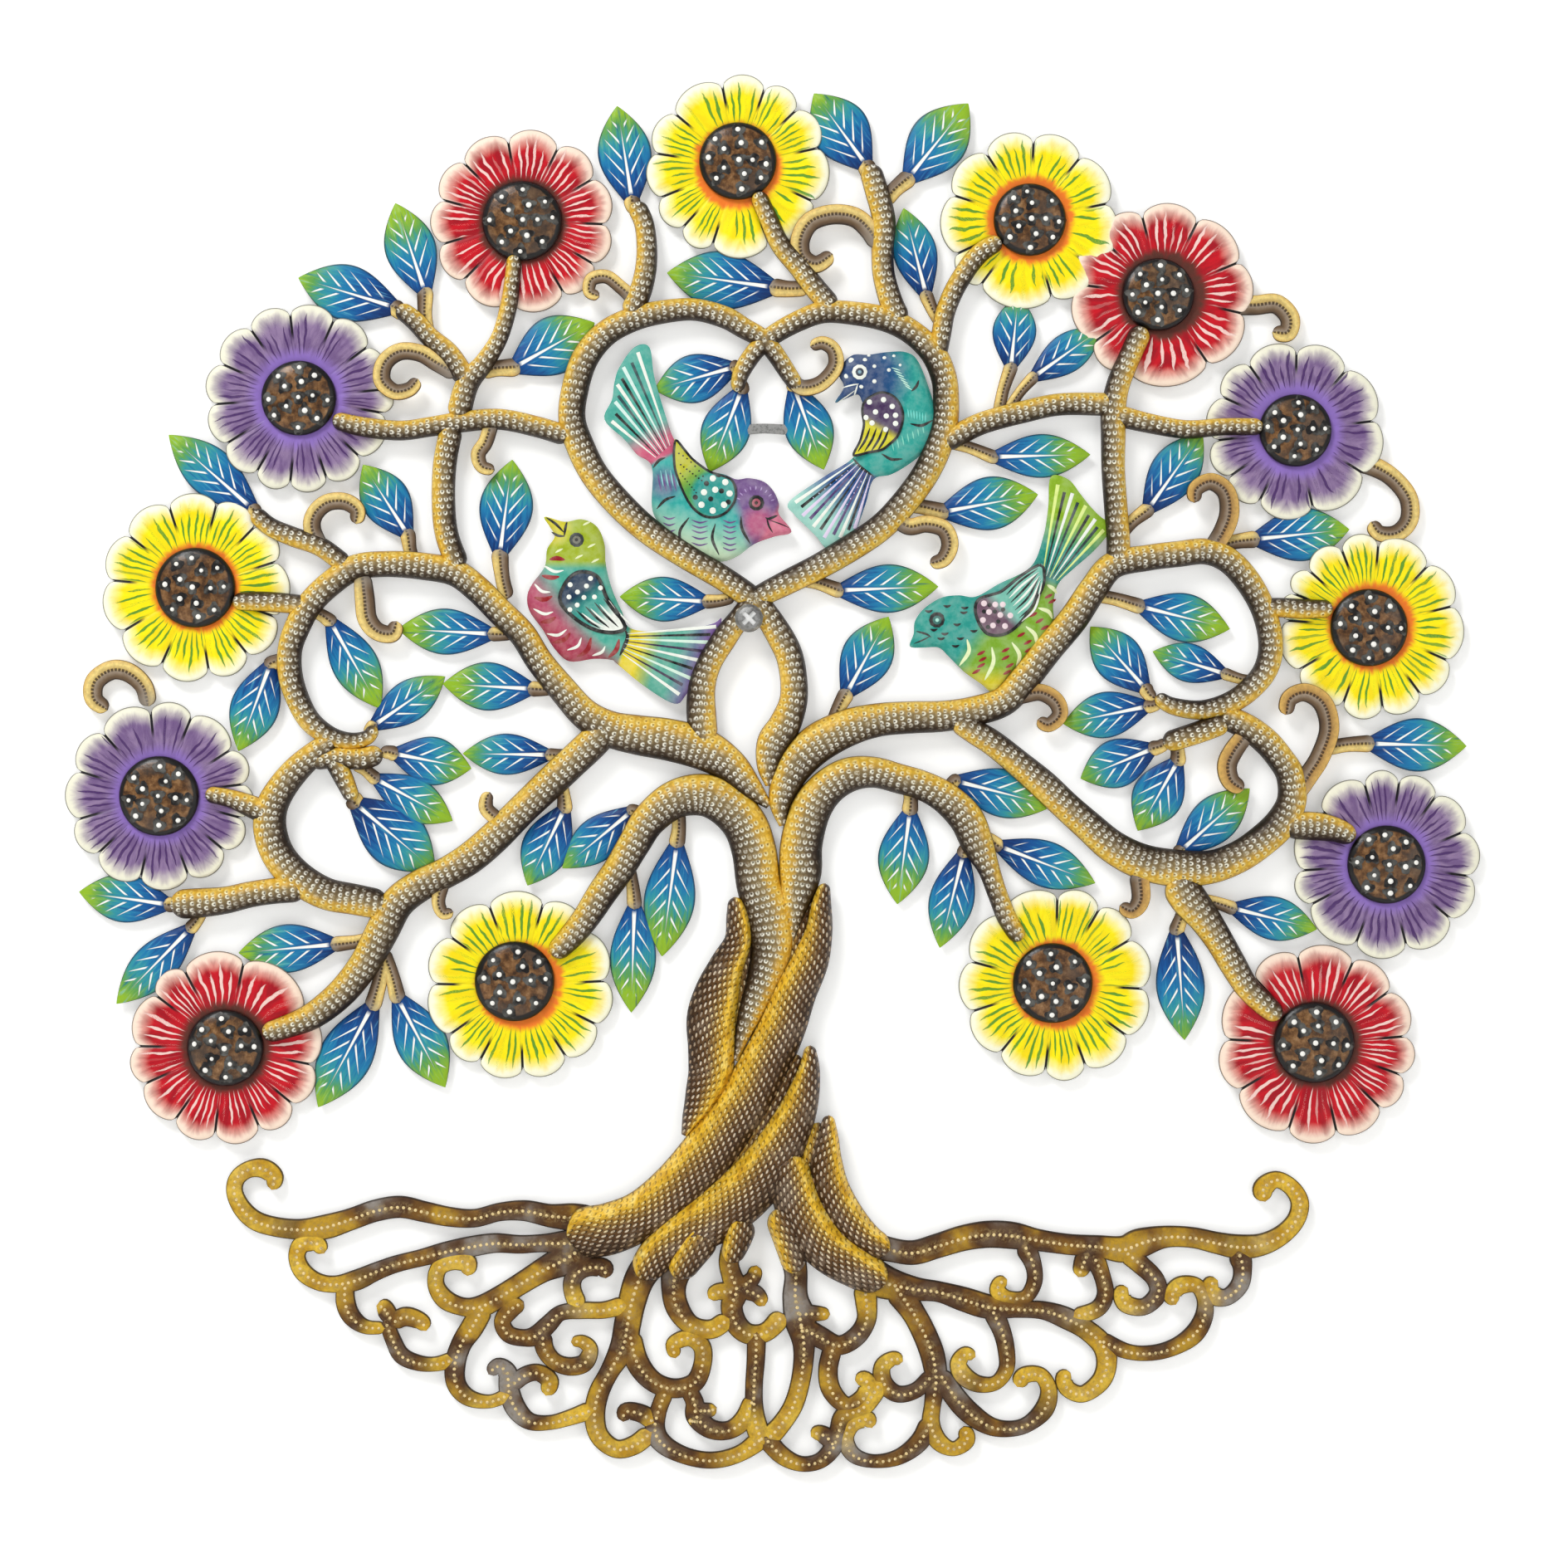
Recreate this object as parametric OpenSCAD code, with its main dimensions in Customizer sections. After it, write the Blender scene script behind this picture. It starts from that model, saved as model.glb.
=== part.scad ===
// Tree of life wall hanging: painted, hammered sheet steel, lap-joined, hung on one wall screw.
// Every outline is drawn flat, in millimetres, as [across, up, band width] about the hanging point.
// stand() turns the drawing upright: the wall is the plane y = 0 and the front faces -Y.

/* [Overall] */
// Width of the whole tree, tip to tip
tree_w = 566; // [480:1:700]
// Height of the whole tree, root to crown
tree_h = 560; // [480:1:700]

/* [Sheet metal] */
// Thickness of every sheet
gauge = 1.2; // [0.8:0.1:2]
// Crown height of an ordinary branch
branch_rise = 5.4; // [4:0.1:8]
// Crown height of a trunk strand
trunk_rise = 9; // [6:0.1:12]
// Crown height of a curled scroll
scroll_rise = 2.6; // [2:0.1:4]
// Factor on the width of every branch
branch_bulk = 1; // [0.85:0.01:1.2]

/* [Flowers] */
// Reach of the petals from the centre of an average flower
flower_r = 38; // [31:0.5:42]
// Radius of the domed flower centre
disc_r = 15.6; // [12:0.1:19]
// Height of the flower centre above the petals
disc_rise = 4; // [2:0.1:7]
// Depth of the notch between two petals
petal_notch = 5; // [2:0.5:9]

/* [Leaves and birds] */
// Factor on the width of every leaf
leaf_bulk = 1; // [0.8:0.01:1.2]
// Height of a bird's body above its sheet
bird_rise = 2; // [1:0.1:4]

/* [Wall screw] */
// Radius of the thread in the wall
shank_r = 2.1; // [1.5:0.1:2.4]
// Radius of the plain neck the tree hangs on
neck_r = 1.8; // [1.3:0.1:2]
// Radius of the truss head
head_r = 5.6; // [4.5:0.1:7]
// Thickness of the head
head_h = 2.8; // [2:0.1:4]
// Span of the cross recess in the head
recess_span = 6.6; // [4:0.1:7.5]
// Width of one arm of the recess
recess_arm = 2; // [1:0.1:2.5]
// Depth of the recess below the top of the head
recess_depth = 1.2; // [0.6:0.1:1.8]
// Length of thread that goes into the wall
wall_depth = 25; // [15:1:50]
// Gap all round the neck, and behind the head
screw_gap = 0.5; // [0.3:0.1:1]

/* [Hidden] */
$fn = 48;
drawn_w = 566;
drawn_h = 560;
// How far the whole flat drawing is stretched, across and up
kx = tree_w / drawn_w;
kz = tree_h / drawn_h;
petal_base = gauge;
branch_base = 2 * gauge;
head_base = branch_base + branch_rise + screw_gap;
kerf = 0.5;

// ---------- hand-chosen lines of the branches: [across, up, width] ----------
DROOP_LEFT = [
    [-79, -135, 8], [-72, -128, 10], [-65.5, -120, 11], [-59, -110, 12], [-52, -100, 12.5],
    [-46, -90, 13], [-40, -80.5, 14], [-30, -72.5, 15.5], [-19, -70.5, 17], [-10, -74, 17.5],
    [-2, -82, 18], [2, -93, 18], [4, -107, 18], [8, -120, 18], [9, -132, 17],
    [5, -146, 13], [0.5, -158, 10], [-3, -168, 6], [-5.5, -177, 2.5]];
DROOP_RIGHT = [
    [109, -129, 7], [103.5, -120, 8], [99.5, -110, 8], [96, -100, 9], [91.5, -90, 13],
    [87, -80, 14], [79, -72, 13], [70, -67, 12], [60, -64, 12], [50, -61.5, 12.5],
    [40, -62.5, 14], [31, -68, 15], [24.5, -77, 16.5], [21, -90, 17], [20.5, -102, 17],
    [19, -113, 12], [18, -122, 6], [17.5, -129, 2.5]];
HEART_A = [
    [-17, -50, 10], [-19, -40, 12], [-19, -28, 11], [-16, -18, 10], [-10, -8, 10], [-4, 0, 9],
    [3, 8, 9], [15, 14.5, 10], [28, 21, 10.5], [40, 28, 11], [52, 36, 11], [61, 45, 11],
    [70, 57, 11], [75.5, 68, 11], [78.5, 78, 10.5], [79, 87, 10.5], [78, 97, 10.5],
    [73.5, 107, 10.5], [65, 115, 10], [55, 120, 10], [42, 122.5, 9.5], [30, 123, 9],
    [20, 119.5, 8.5], [10, 114, 8], [3, 108, 7.5], [-3, 99, 7], [-5, 91, 5]];
HEART_B = [
    [8, -67, 3], [7.5, -59, 9], [9.5, -50, 13], [14, -43, 13], [17.5, -34, 11.5],
    [18, -26, 11], [16.5, -16, 11], [13, -8, 11], [6, 3, 10], [0, 9, 10], [-10, 16, 10],
    [-25, 25, 10.5], [-40, 35, 11], [-52, 46, 11.5], [-62, 58, 11.5], [-68, 70, 11.5],
    [-71, 80, 11], [-70, 91, 11], [-66, 104, 11], [-58, 114, 10.5], [-47, 120, 10],
    [-35, 123, 9.5], [-22, 124, 9], [-10, 121, 9], [-2, 116.5, 8.5], [5, 112.5, 8],
    [10, 107, 7.5], [16, 98, 7], [20, 92, 6]];
HEART_A_STEMS = [
    [[3, 171, 7], [8, 160, 7.5], [12.5, 150, 8], [20, 141, 8.5], [27, 132, 9], [34, 124, 9]],
    [[48, 182, 9], [51, 172, 9.5], [54, 160, 9.5], [53.5, 148, 9], [54, 138, 9], [57, 127, 9.5],
     [61, 118, 10]],
    [[101, 152, 7], [92, 146, 8], [84, 135, 8], [79, 124, 8], [77, 114, 8], [75, 104, 8]]];
HEART_B_STEMS = [
    [[-46, 167, 8], [-42, 158, 8], [-41, 145, 8.5], [-43, 133, 9], [-48, 121, 9.5]]];
HEART_A_SCROLLS = [
    [[52, 149, 7], [48, 156, 8], [42, 161, 8], [33, 162, 8], [24.5, 159, 8], [20.5, 152, 8],
     [21.5, 145, 7.5], [27, 142, 7], [33.5, 146, 6]],
    [[58, 41, 7], [64, 37, 7], [71, 38, 7], [78, 36, 7], [80.5, 30, 7], [78, 24, 6.5],
     [72.5, 22, 5]]];
HEART_B_SCROLLS = [
    [[-46, 128, 6], [-51, 132.5, 5.5], [-57, 137, 5.5], [-63, 136, 5.5], [-64, 131, 5],
     [-60, 129, 4]],
    [[17, 95, 6], [22, 92.5, 6.5], [29, 94.5, 6.5], [34.5, 101, 6.5], [34, 107.5, 6],
     [29.5, 110.5, 5.5], [24.5, 109, 4.5]]];
CROWN_LEFT = [
    [[-167, 80, 7], [-155, 77, 8], [-140, 75.5, 8], [-128, 77, 8], [-115, 79, 8.5],
     [-100, 80, 8.5], [-85, 77, 8.5], [-72, 73, 8.5]],
    [[-94, 146, 6], [-95, 135, 6.5], [-96.5, 125, 7], [-100, 113, 7], [-106, 103, 8],
     [-113, 94, 9.5], [-117, 80, 10]],
    [[-141, 125, 7], [-134, 119.5, 8], [-128, 113, 8], [-120, 106, 8.5], [-113, 95, 9]],
    [[-119, 78, 9.5], [-122, 62, 9.5], [-122.5, 46, 9.5], [-121, 33, 9.5], [-116, 20, 9.5]]];
CROWN_LEFT_SCROLLS = [
    [[-117, 98, 7], [-125, 102.5, 7], [-132, 106.5, 7], [-140, 107, 7], [-146, 102.5, 7],
     [-147, 95.5, 7], [-142, 91, 6.5], [-136, 92, 6], [-132.5, 96, 5]],
    [[-103, 79, 6], [-105.5, 71, 6], [-108.5, 66, 6], [-107, 61, 5.5], [-102, 59.5, 4.5]]];
CROWN_RIGHT = [
    [[158, 117, 9], [153, 106, 9], [148, 94, 9.5], [146, 83, 10], [146, 74, 10],
     [146, 60, 9.5], [147, 45, 9.5], [148, 32, 9.5], [148, 21, 10]],
    [[206, 77, 7], [190, 77, 7], [175, 76, 7.5], [160, 78.5, 8], [146, 82, 9]],
    [[77, 70, 9], [86, 75, 9], [95, 79, 9], [110, 83, 9], [125, 86, 9], [146, 86, 9.5]]];
LIMB_LEFT = [
    [[8, -75, 3], [0, -67, 10], [-8, -58.5, 14], [-19, -52, 17], [-32, -48.5, 17],
     [-45, -46.5, 16], [-56, -44, 14.5], [-66, -38, 12.5], [-75, -28, 11.5], [-84, -17, 11],
     [-91, -6, 11], [-100, 3, 11], [-109, 12, 11], [-118, 18.5, 11], [-130, 21, 11],
     [-145, 22, 10.5], [-158, 20.5, 10.5], [-168, 14, 10.5], [-176, 6, 10.5], [-181, -3, 10.5],
     [-184, -12, 10], [-184, -22, 10], [-181, -32, 9.5], [-176, -41, 9], [-168, -47, 8],
     [-160, -49, 7], [-153, -47.5, 6], [-150, -43, 5]],
    [[-207, 7, 7], [-195, 7, 8], [-183, 6, 8], [-176, 5, 8]],
    [[-199, 43, 7], [-192, 37, 7.5], [-183, 33, 8], [-172, 29, 8], [-161, 21, 8]]];
LIMB_LEFT_SCROLLS = [
    [[-171, 28, 6], [-175, 36, 7], [-174, 42, 7], [-169, 46.5, 7], [-162, 47, 7],
     [-157, 43.5, 6.5], [-157.5, 38, 5.5]],
    [[-155, 18, 7], [-154, 8, 8], [-153, 0, 8], [-149, -5, 7.5], [-143, -6, 7], [-141, -1, 6]]];
LIMB_LEFT_LOW = [
    [[-55, -42, 12], [-63, -50, 13], [-71, -57.5, 13], [-80, -66, 13], [-91, -76.5, 12.5],
     [-102, -87.5, 13], [-112, -96, 13], [-122, -102, 12.5], [-132, -107, 13],
     [-141, -114, 13.5], [-147, -125, 13.5], [-154, -138, 12.5], [-163, -149.5, 12],
     [-174, -158.5, 11], [-184, -163, 9.5], [-195, -166.5, 8]]];
LIMB_LEFT_LOW_SCROLLS = [
    [[-100, -81, 6], [-105, -76.5, 6], [-105.3, -72.5, 5.5], [-103.8, -69.5, 4]],
    [[-122.5, -105, 6], [-124.5, -113, 5.5], [-122.5, -118, 5], [-118.5, -117.5, 4]]];
LOOP_LEFT = [
    [[-145, -115, 12], [-158, -112.5, 12.5], [-170, -110, 13], [-181, -103.5, 13.5],
     [-188.5, -95, 13.5], [-192, -85, 13.5], [-191.5, -76, 13], [-187.5, -68, 12],
     [-181, -60, 11], [-173, -53, 9.5], [-166, -48.5, 8]],
    [[-178, -108, 11], [-190, -109, 10.5], [-200, -110.5, 10.5], [-210, -112.8, 11],
     [-222, -114, 12], [-232, -114.5, 11.5]],
    [[-218, -70, 6.5], [-208, -72, 7.5], [-200, -75, 9], [-191, -79, 10]],
    [[-176, -57, 8], [-165, -55.5, 8.5], [-155, -56, 9], [-147, -53.5, 8]],
    [[-168, -54, 8], [-163, -63, 8], [-158.5, -73, 6]]];
LIMB_RIGHT = [
    [[13.5, -83, 3], [12.5, -74, 9], [15, -65, 13], [20, -57, 15], [28, -49.5, 16],
     [40, -43.5, 15], [52, -40.5, 13.5], [65, -39.5, 13], [78, -39, 12.5], [90, -37, 12],
     [102, -33, 12], [111, -23.5, 12], [120, -12, 12], [130, 0, 12], [138, 12, 11.5],
     [146, 21.5, 11], [160, 24.5, 10.5], [172, 26, 10.5], [183, 27, 10.5], [192, 23.5, 10.5],
     [200, 15, 10.5], [206, 4, 10], [209, -8, 10], [208, -18, 10], [203, -26, 9.5],
     [194, -33, 9], [182, -36.5, 8], [170, -35, 7], [163, -31, 5.5]],
    [[234, 4, 7], [222, 4, 8], [212, 4.5, 8], [204, 4, 8]]];
LIMB_RIGHT_SCROLLS = [
    [[102, -33, 6], [110, -30.5, 7], [117, -29.5, 7], [123, -33, 7], [124.5, -38.5, 6.5],
     [120, -42.5, 6], [115.5, -40.5, 5]],
    [[184, 26, 7], [190, 35, 8], [192.5, 43, 8], [191, 51, 7.5], [185, 55, 7], [179, 52, 6.5],
     [178.5, 46.5, 5.5]]];
LOOP_RIGHT = [
    [[82, -40, 9], [90, -45, 10], [98, -50, 10.5], [108, -58, 11], [118, -66.5, 12],
     [127, -75, 12], [136, -83, 12.5], [146, -91.5, 13.5], [158, -97.5, 14.5], [172, -100, 15],
     [185, -99.5, 13.5], [196, -95.5, 13], [205, -89.5, 13], [213, -82, 13], [217.5, -73, 12],
     [217, -63, 11.5], [213, -56, 11], [207, -49, 11], [199, -43, 10.5], [189, -38.5, 10]],
    [[170, -103, 14], [176, -112, 15], [182.5, -120, 13], [188.5, -129, 11.5],
     [194, -138.5, 11], [199.5, -147.5, 10], [206, -154, 9.5], [213, -160, 7.5]],
    [[214, -83, 10], [225, -83, 11.5], [235, -84.5, 10], [243, -88, 7.5]],
    [[192, -41, 9], [180, -45.5, 9], [166, -50, 8.5]]];
LOOP_RIGHT_SCROLLS = [
    [[217, -73, 8], [224, -63, 8], [229, -55, 8], [232.5, -44, 8], [230, -34, 8],
     [223, -29.5, 7.5], [216.5, -32, 7], [215, -38.5, 6]],
    [[200, -45, 7], [194, -53, 8], [191.5, -59, 8], [193, -65, 7.5], [198, -68.5, 6]],
    [[156, -101, 8], [157, -112, 7.5], [153.5, -117, 6.5], [148.5, -115, 5]]];

// ---------- the strands of the trunk ----------
TRUNK_LEFT = [
    [-6, -111.5, 5], [-4.7, -119, 9], [-4.5, -129, 11], [-9, -139, 14], [-12.5, -149, 18],
    [-15, -160, 20], [-15, -172, 19], [-15.5, -182, 18], [-19, -192, 14], [-23, -200, 8],
    [-26, -207, 2.5]];
TRUNK_RIGHT = [
    [30.5, -106, 4], [29, -114, 8], [28, -125, 11], [24.5, -137, 15], [18.5, -150, 17],
    [13.5, -163, 19], [8, -175, 20], [0.5, -189, 21], [-8, -202, 22], [-18, -216, 22],
    [-30, -229, 21], [-43, -239, 20], [-56, -244.5, 21], [-66, -246, 20], [-73, -247.5, 13]];
TRUNK_BASE = [
    [[24.5, -171, 4], [24, -181, 9], [21, -193, 14], [16, -205, 18], [9, -217, 21],
     [0, -228, 23], [-12, -238, 23], [-25, -246, 20], [-36, -254, 16], [-44, -264, 12]],
    [[15, -214, 16], [17, -226, 18], [22, -240, 20], [31, -252, 19], [43, -260, 17],
     [55, -266, 13]],
    [[12, -236, 14], [16, -250, 12], [18.7, -262, 9]],
    [[-2, -240, 13], [-5, -250, 11], [-8, -258, 8]],
    [[-16, -244, 16], [-24, -255, 14], [-29.5, -264, 11]]];
TRUNK_FLARE = [
    [32, -199, 4], [31.5, -208, 9], [31, -218, 13], [33, -229, 15], [39, -240, 15],
    [47, -248.5, 13], [56, -253.5, 10]];

// ---------- the roots, cut as one flat network ----------
ROOTS_LEFT = [
    [[-60, -244, 16], [-70, -240.5, 12], [-80, -239.5, 9.5], [-90, -237.5, 8.5],
     [-100, -238, 7.5], [-110, -240.5, 7.5], [-120, -240, 8], [-130, -238, 8.5],
     [-140, -236, 9], [-150, -237.5, 9], [-160, -241, 9], [-170, -244, 10], [-180, -245, 8.5],
     [-190, -244, 8], [-198, -241.5, 8], [-203.5, -236.5, 7.5], [-206.5, -230, 6.8],
     [-205.5, -224.5, 6.8], [-201, -221, 7], [-195, -220.5, 8], [-190.5, -224, 7.5],
     [-191.5, -229, 5]],
    [[-62, -251, 14], [-72, -250.5, 11], [-82, -250.5, 7.5], [-92, -251, 7.5],
     [-102, -250.5, 8], [-112, -252, 8.5], [-122, -254, 8], [-132, -256.5, 7],
     [-142, -259, 7], [-150, -262, 7.5], [-158, -265.5, 8.5], [-166, -267, 7],
     [-173, -266, 7], [-179, -262, 7.5], [-181.5, -256, 7], [-179.5, -251, 7.5],
     [-173.5, -250.5, 7], [-170.5, -254.5, 5]],
    [[-162, -266, 7], [-162, -274, 8], [-159.5, -280, 7.5], [-154, -284, 6], [-146, -284.5, 5]],
    [[-143, -282, 7], [-146.5, -276.5, 7.5], [-149.5, -275.5, 5]],
    [[-144, -283, 7], [-138, -280, 8], [-131.5, -282, 7], [-129.5, -285.5, 5]],
    [[-146, -281, 6], [-143, -289, 6.5], [-139.5, -295.5, 7], [-133, -298.5, 6.5],
     [-126, -299, 6], [-118, -297, 7]],
    [[-64, -250, 15], [-74, -257, 13], [-83, -261.5, 10], [-92, -267, 9], [-100, -272, 9],
     [-108, -276, 9], [-115, -276, 7.5], [-122, -273, 8], [-125.7, -267, 7],
     [-124.5, -260.5, 7], [-119, -257.7, 7.5], [-113, -258.5, 8], [-113, -263.5, 5]],
    [[-106, -275, 9], [-111, -284, 9.5], [-115.5, -291, 8.5], [-118, -299, 8.5],
     [-117.5, -307, 8], [-112.5, -312.5, 7], [-104, -314, 5.5], [-96, -311, 6]],
    [[-90.5, -274, 6], [-95.5, -277, 7.5], [-99, -282, 7], [-96.5, -287, 7], [-90.5, -288.5, 7],
     [-85.5, -287.5, 8], [-80.5, -283, 7.5], [-75.5, -278.5, 6.5], [-67, -277.5, 7],
     [-58, -277.3, 7], [-49, -275, 8]],
    [[-57.5, -264.5, 6], [-58.5, -260.5, 8], [-65, -260.3, 7.5], [-70, -263.5, 7.5],
     [-71, -269, 7.5], [-68, -277, 8]],
    [[-83, -286, 8], [-82, -293, 7.5], [-78, -298, 7], [-72, -300, 7.5], [-66, -298.5, 7.5],
     [-63.8, -293, 6.5], [-67, -290, 5.5], [-71.5, -290, 4]],
    [[-104.5, -303, 5], [-101, -299.8, 6.5], [-97, -302.5, 8], [-96.2, -310, 8.5],
     [-93.5, -317, 8.5], [-88, -322, 7], [-80, -322.5, 6], [-72, -320.5, 6.5],
     [-62, -317, 8]],
    [[-96, -308, 7], [-90, -303.5, 7], [-84.5, -302.5, 7], [-80, -306, 7.5],
     [-81.5, -311.5, 6]]];
ROOTS_MIDDLE = [
    [[-36, -254, 14], [-43.5, -264, 12.5], [-47, -274, 11.5], [-49, -284, 11],
     [-50.5, -292, 11], [-56, -302, 8], [-60.5, -311, 8.5], [-62, -320, 8.5], [-60, -328, 8],
     [-53.5, -333, 7.5], [-46, -331.5, 8], [-39, -326, 8]],
    [[-48, -286, 9], [-45, -298, 9.5], [-38.5, -306, 8.5], [-30, -308.8, 8], [-22, -306.5, 8],
     [-18.7, -299, 7.5], [-19, -292, 7.5], [-24, -288.5, 7], [-30.3, -291, 6.5],
     [-29.5, -296.5, 5]],
    [[-50.5, -322, 5.5], [-49.5, -318, 7], [-43, -319, 7.5], [-37, -323, 8]],
    [[-33, -309, 7], [-36.5, -318, 7], [-37.7, -326, 8.5], [-34, -331.5, 8],
     [-26.5, -335.5, 7], [-18, -337.5, 6.8], [-10, -337, 6.8], [-2, -334, 7], [6, -328, 9]],
    [[-25, -308.5, 7], [-22, -314, 7.5], [-21, -320, 9], [-15.5, -325, 8], [-8, -325.5, 7.5],
     [-2, -321, 8], [2, -312, 7.5]],
    [[-21, -317.5, 6], [-16, -317.5, 6], [-13, -316.5, 4]],
    [[-20, -322, 5], [-24.5, -321.5, 4]],
    [[3, -286, 8], [2.7, -297, 7.5], [2, -307, 7.2], [2, -316, 7.5], [3, -324, 9],
     [6, -331, 9]],
    [[-22, -250, 16], [-28.5, -260, 13], [-30.3, -269, 10], [-28.5, -277, 9.5],
     [-23, -283.5, 8], [-15, -285, 8], [-8, -280.5, 8]],
    [[-4, -248, 12], [-8, -257, 8.5], [-7, -263.5, 8.5], [-5, -269, 10], [-7, -276, 9],
     [-5, -283, 9], [0, -287, 8.5], [7, -286, 8], [14, -279, 9]],
    [[-3, -268, 7], [1.5, -264.5, 6.5], [3, -259.5, 5.5]],
    [[-3, -269, 8], [3, -271, 7], [6.3, -275.5, 5]],
    [[-5, -270, 8], [-12.5, -270, 7], [-16.3, -272.5, 5]],
    [[16, -250, 13], [18.7, -262, 9.5], [18.5, -272, 10.5], [20.5, -281, 13], [22, -292, 9],
     [21, -304, 8], [18, -315, 8], [13, -323, 8], [7, -329.5, 9]],
    [[18, -279, 9], [27, -278.7, 6.5], [32.5, -279, 4.5]],
    [[19, -283, 10], [28, -288, 9], [36, -291.5, 8], [43, -288, 8], [47, -281.5, 8],
     [47, -274, 9], [46, -266, 10]],
    [[34, -291, 8], [31.7, -301, 8], [33, -309.5, 8], [39, -315.5, 7], [45.5, -313, 8],
     [48, -308, 8], [46, -305, 7], [42.5, -305.5, 5]],
    [[6, -328, 8], [13, -335.5, 7.5], [20.5, -339, 6.3], [28, -338, 6.5], [33.3, -333, 7.5],
     [36, -326, 8], [38, -320, 8], [45, -317, 7.5], [49, -312, 8.5], [53, -306, 8]],
    [[35, -333, 7], [31.5, -328.5, 7.5], [27.5, -326.7, 6.5], [24.8, -328, 4]]];
ROOTS_RIGHT = [
    [[73, -321, 8], [68.5, -330, 8], [60, -336.3, 6.5], [50, -338, 5.5], [42, -335.5, 6.5],
     [38.7, -329, 7], [41.5, -323, 7], [47.5, -321, 7], [49.3, -324.5, 4.5]],
    [[74, -303, 7], [67, -309.5, 6.5], [59.5, -311, 7], [54, -306.5, 7.5], [53.5, -300, 7],
     [58, -296.7, 6], [61.7, -297.8, 4.5]],
    [[58, -267, 13], [65, -277, 10], [69.5, -285, 9.8], [73.5, -295, 10], [75, -305, 9],
     [73.7, -315, 7], [73, -323, 7.5], [76, -330, 7.5], [82, -333, 6], [87.3, -329.5, 7],
     [86.2, -324, 6]],
    [[30, -250, 16], [42, -259.5, 17], [54, -266, 14], [66, -268.8, 10], [76, -270, 8.5],
     [86, -273, 10], [96, -276, 10], [108, -277, 7], [118, -277.5, 7.5], [127, -280.5, 9],
     [135, -285, 8.5], [142, -291.5, 9], [143.5, -299, 8.5], [141, -306, 8], [134, -311, 7],
     [128, -309, 7], [126.3, -304.5, 7], [129, -302.5, 5]],
    [[97, -276, 9], [101.5, -286, 7.5], [103.3, -294, 7], [103.2, -301, 6.5], [99, -306.5, 6],
     [92, -307, 7], [86, -303.5, 8], [84, -298.5, 7], [87, -294.8, 6], [90.8, -296, 4]],
    [[76, -302, 8], [82.5, -312, 9], [89, -319, 9], [97, -324, 7.5], [105, -325, 6.5],
     [112, -323, 6.5], [118.5, -317, 8], [120.3, -309.5, 7], [117, -303.5, 6.5],
     [110.5, -303.5, 7], [107.5, -308, 7]],
    [[140, -289, 8], [152, -294, 6.3], [162, -294.5, 6.3], [171, -292, 6.8], [178.5, -287, 8],
     [182.5, -280, 7.5], [182.8, -273, 6.5], [179.5, -267.5, 6.5], [173, -267.5, 7.5],
     [169.5, -271.5, 7], [171.2, -275, 5]],
    [[44, -250, 13], [56, -253, 10], [66, -254.3, 10], [76, -251.5, 10], [86, -248.5, 10.5],
     [96, -247, 11], [106, -247.5, 11], [116, -249.3, 9], [128, -251, 8.5], [140, -251.8, 9],
     [150, -253, 11], [157, -250.5, 12], [167, -248, 9], [178, -248.3, 8.5],
     [188, -250.5, 9], [197, -252, 10], [206, -251, 9], [214, -247, 8], [219.5, -241, 7.5],
     [221, -234, 7.5], [217.5, -228, 7], [211.5, -225, 7], [206.3, -228.5, 8.5],
     [207, -233.7, 6.5]],
    [[110, -250, 10], [114, -259, 7], [114.5, -266, 6.5], [111, -272, 6], [104.5, -272.3, 5.5],
     [100, -270, 7], [100.5, -266.5, 6], [103.5, -265, 4.5]],
    [[136, -254, 10], [134, -259, 8], [132, -264, 5.5]],
    [[138, -255, 9], [141.5, -263, 7], [143, -271, 7], [139.5, -277, 7], [130, -280, 6.5]],
    [[150, -253, 9], [157, -259, 8], [163, -265, 7.5], [164, -271, 7.5], [158.5, -276, 7],
     [151.5, -275, 7.5], [149.5, -270.5, 7], [152, -268.5, 4.5]],
    [[196, -253, 12], [198, -260, 8], [197, -267, 7.5], [192, -272, 7], [186.5, -271.5, 8],
     [185.5, -267, 7.5], [188, -265.3, 4.5]]];

// ---------- leaves: [base x, base z, tip x, tip z, width, sheath end x, sheath end z] ----------
LEAVES_CROWN_LEFT = [
    [-142, 125, -181, 137, 23, -137, 122], [-130, 131, -142, 167, 21, -129, 114],
    [-47, 168, -53, 206, 22, -45, 163], [-94, 101, -62, 119, 24, -108, 99],
    [10, 133, -33, 139, 24, 24, 133], [-6, 101, -38, 92, 20, -2, 101],
    [-3, 92, -16, 59, 20, -4, 96], [-199, 44, -233, 74, 20, -194, 39],
    [-137, 34, -155, 62, 20, -134, 22], [-100, 26, -95, 64, 22, -97, 8]];
LEAVES_CROWN_RIGHT = [
    [18, 93, 30, 60, 20, 17, 97], [47, 182, 26, 211, 24, 50, 176], [64, 177, 88, 207, 24, 54, 167],
    [71, 130, 62, 165, 18, 78, 117], [105, 101, 108, 130, 18, 100, 82],
    [114, 97, 142, 117, 16, 104, 84], [98, 65, 137, 66, 18, 80, 71],
    [78, 43, 116, 50, 22, 60, 46], [160, 44, 182, 75, 20, 149, 34],
    [203, 32, 241, 36, 22, 188, 29], [157, 5, 193, -4, 20, 136, 10],
    [36, 11.5, 76, 13, 20, 20, 16]];
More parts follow.
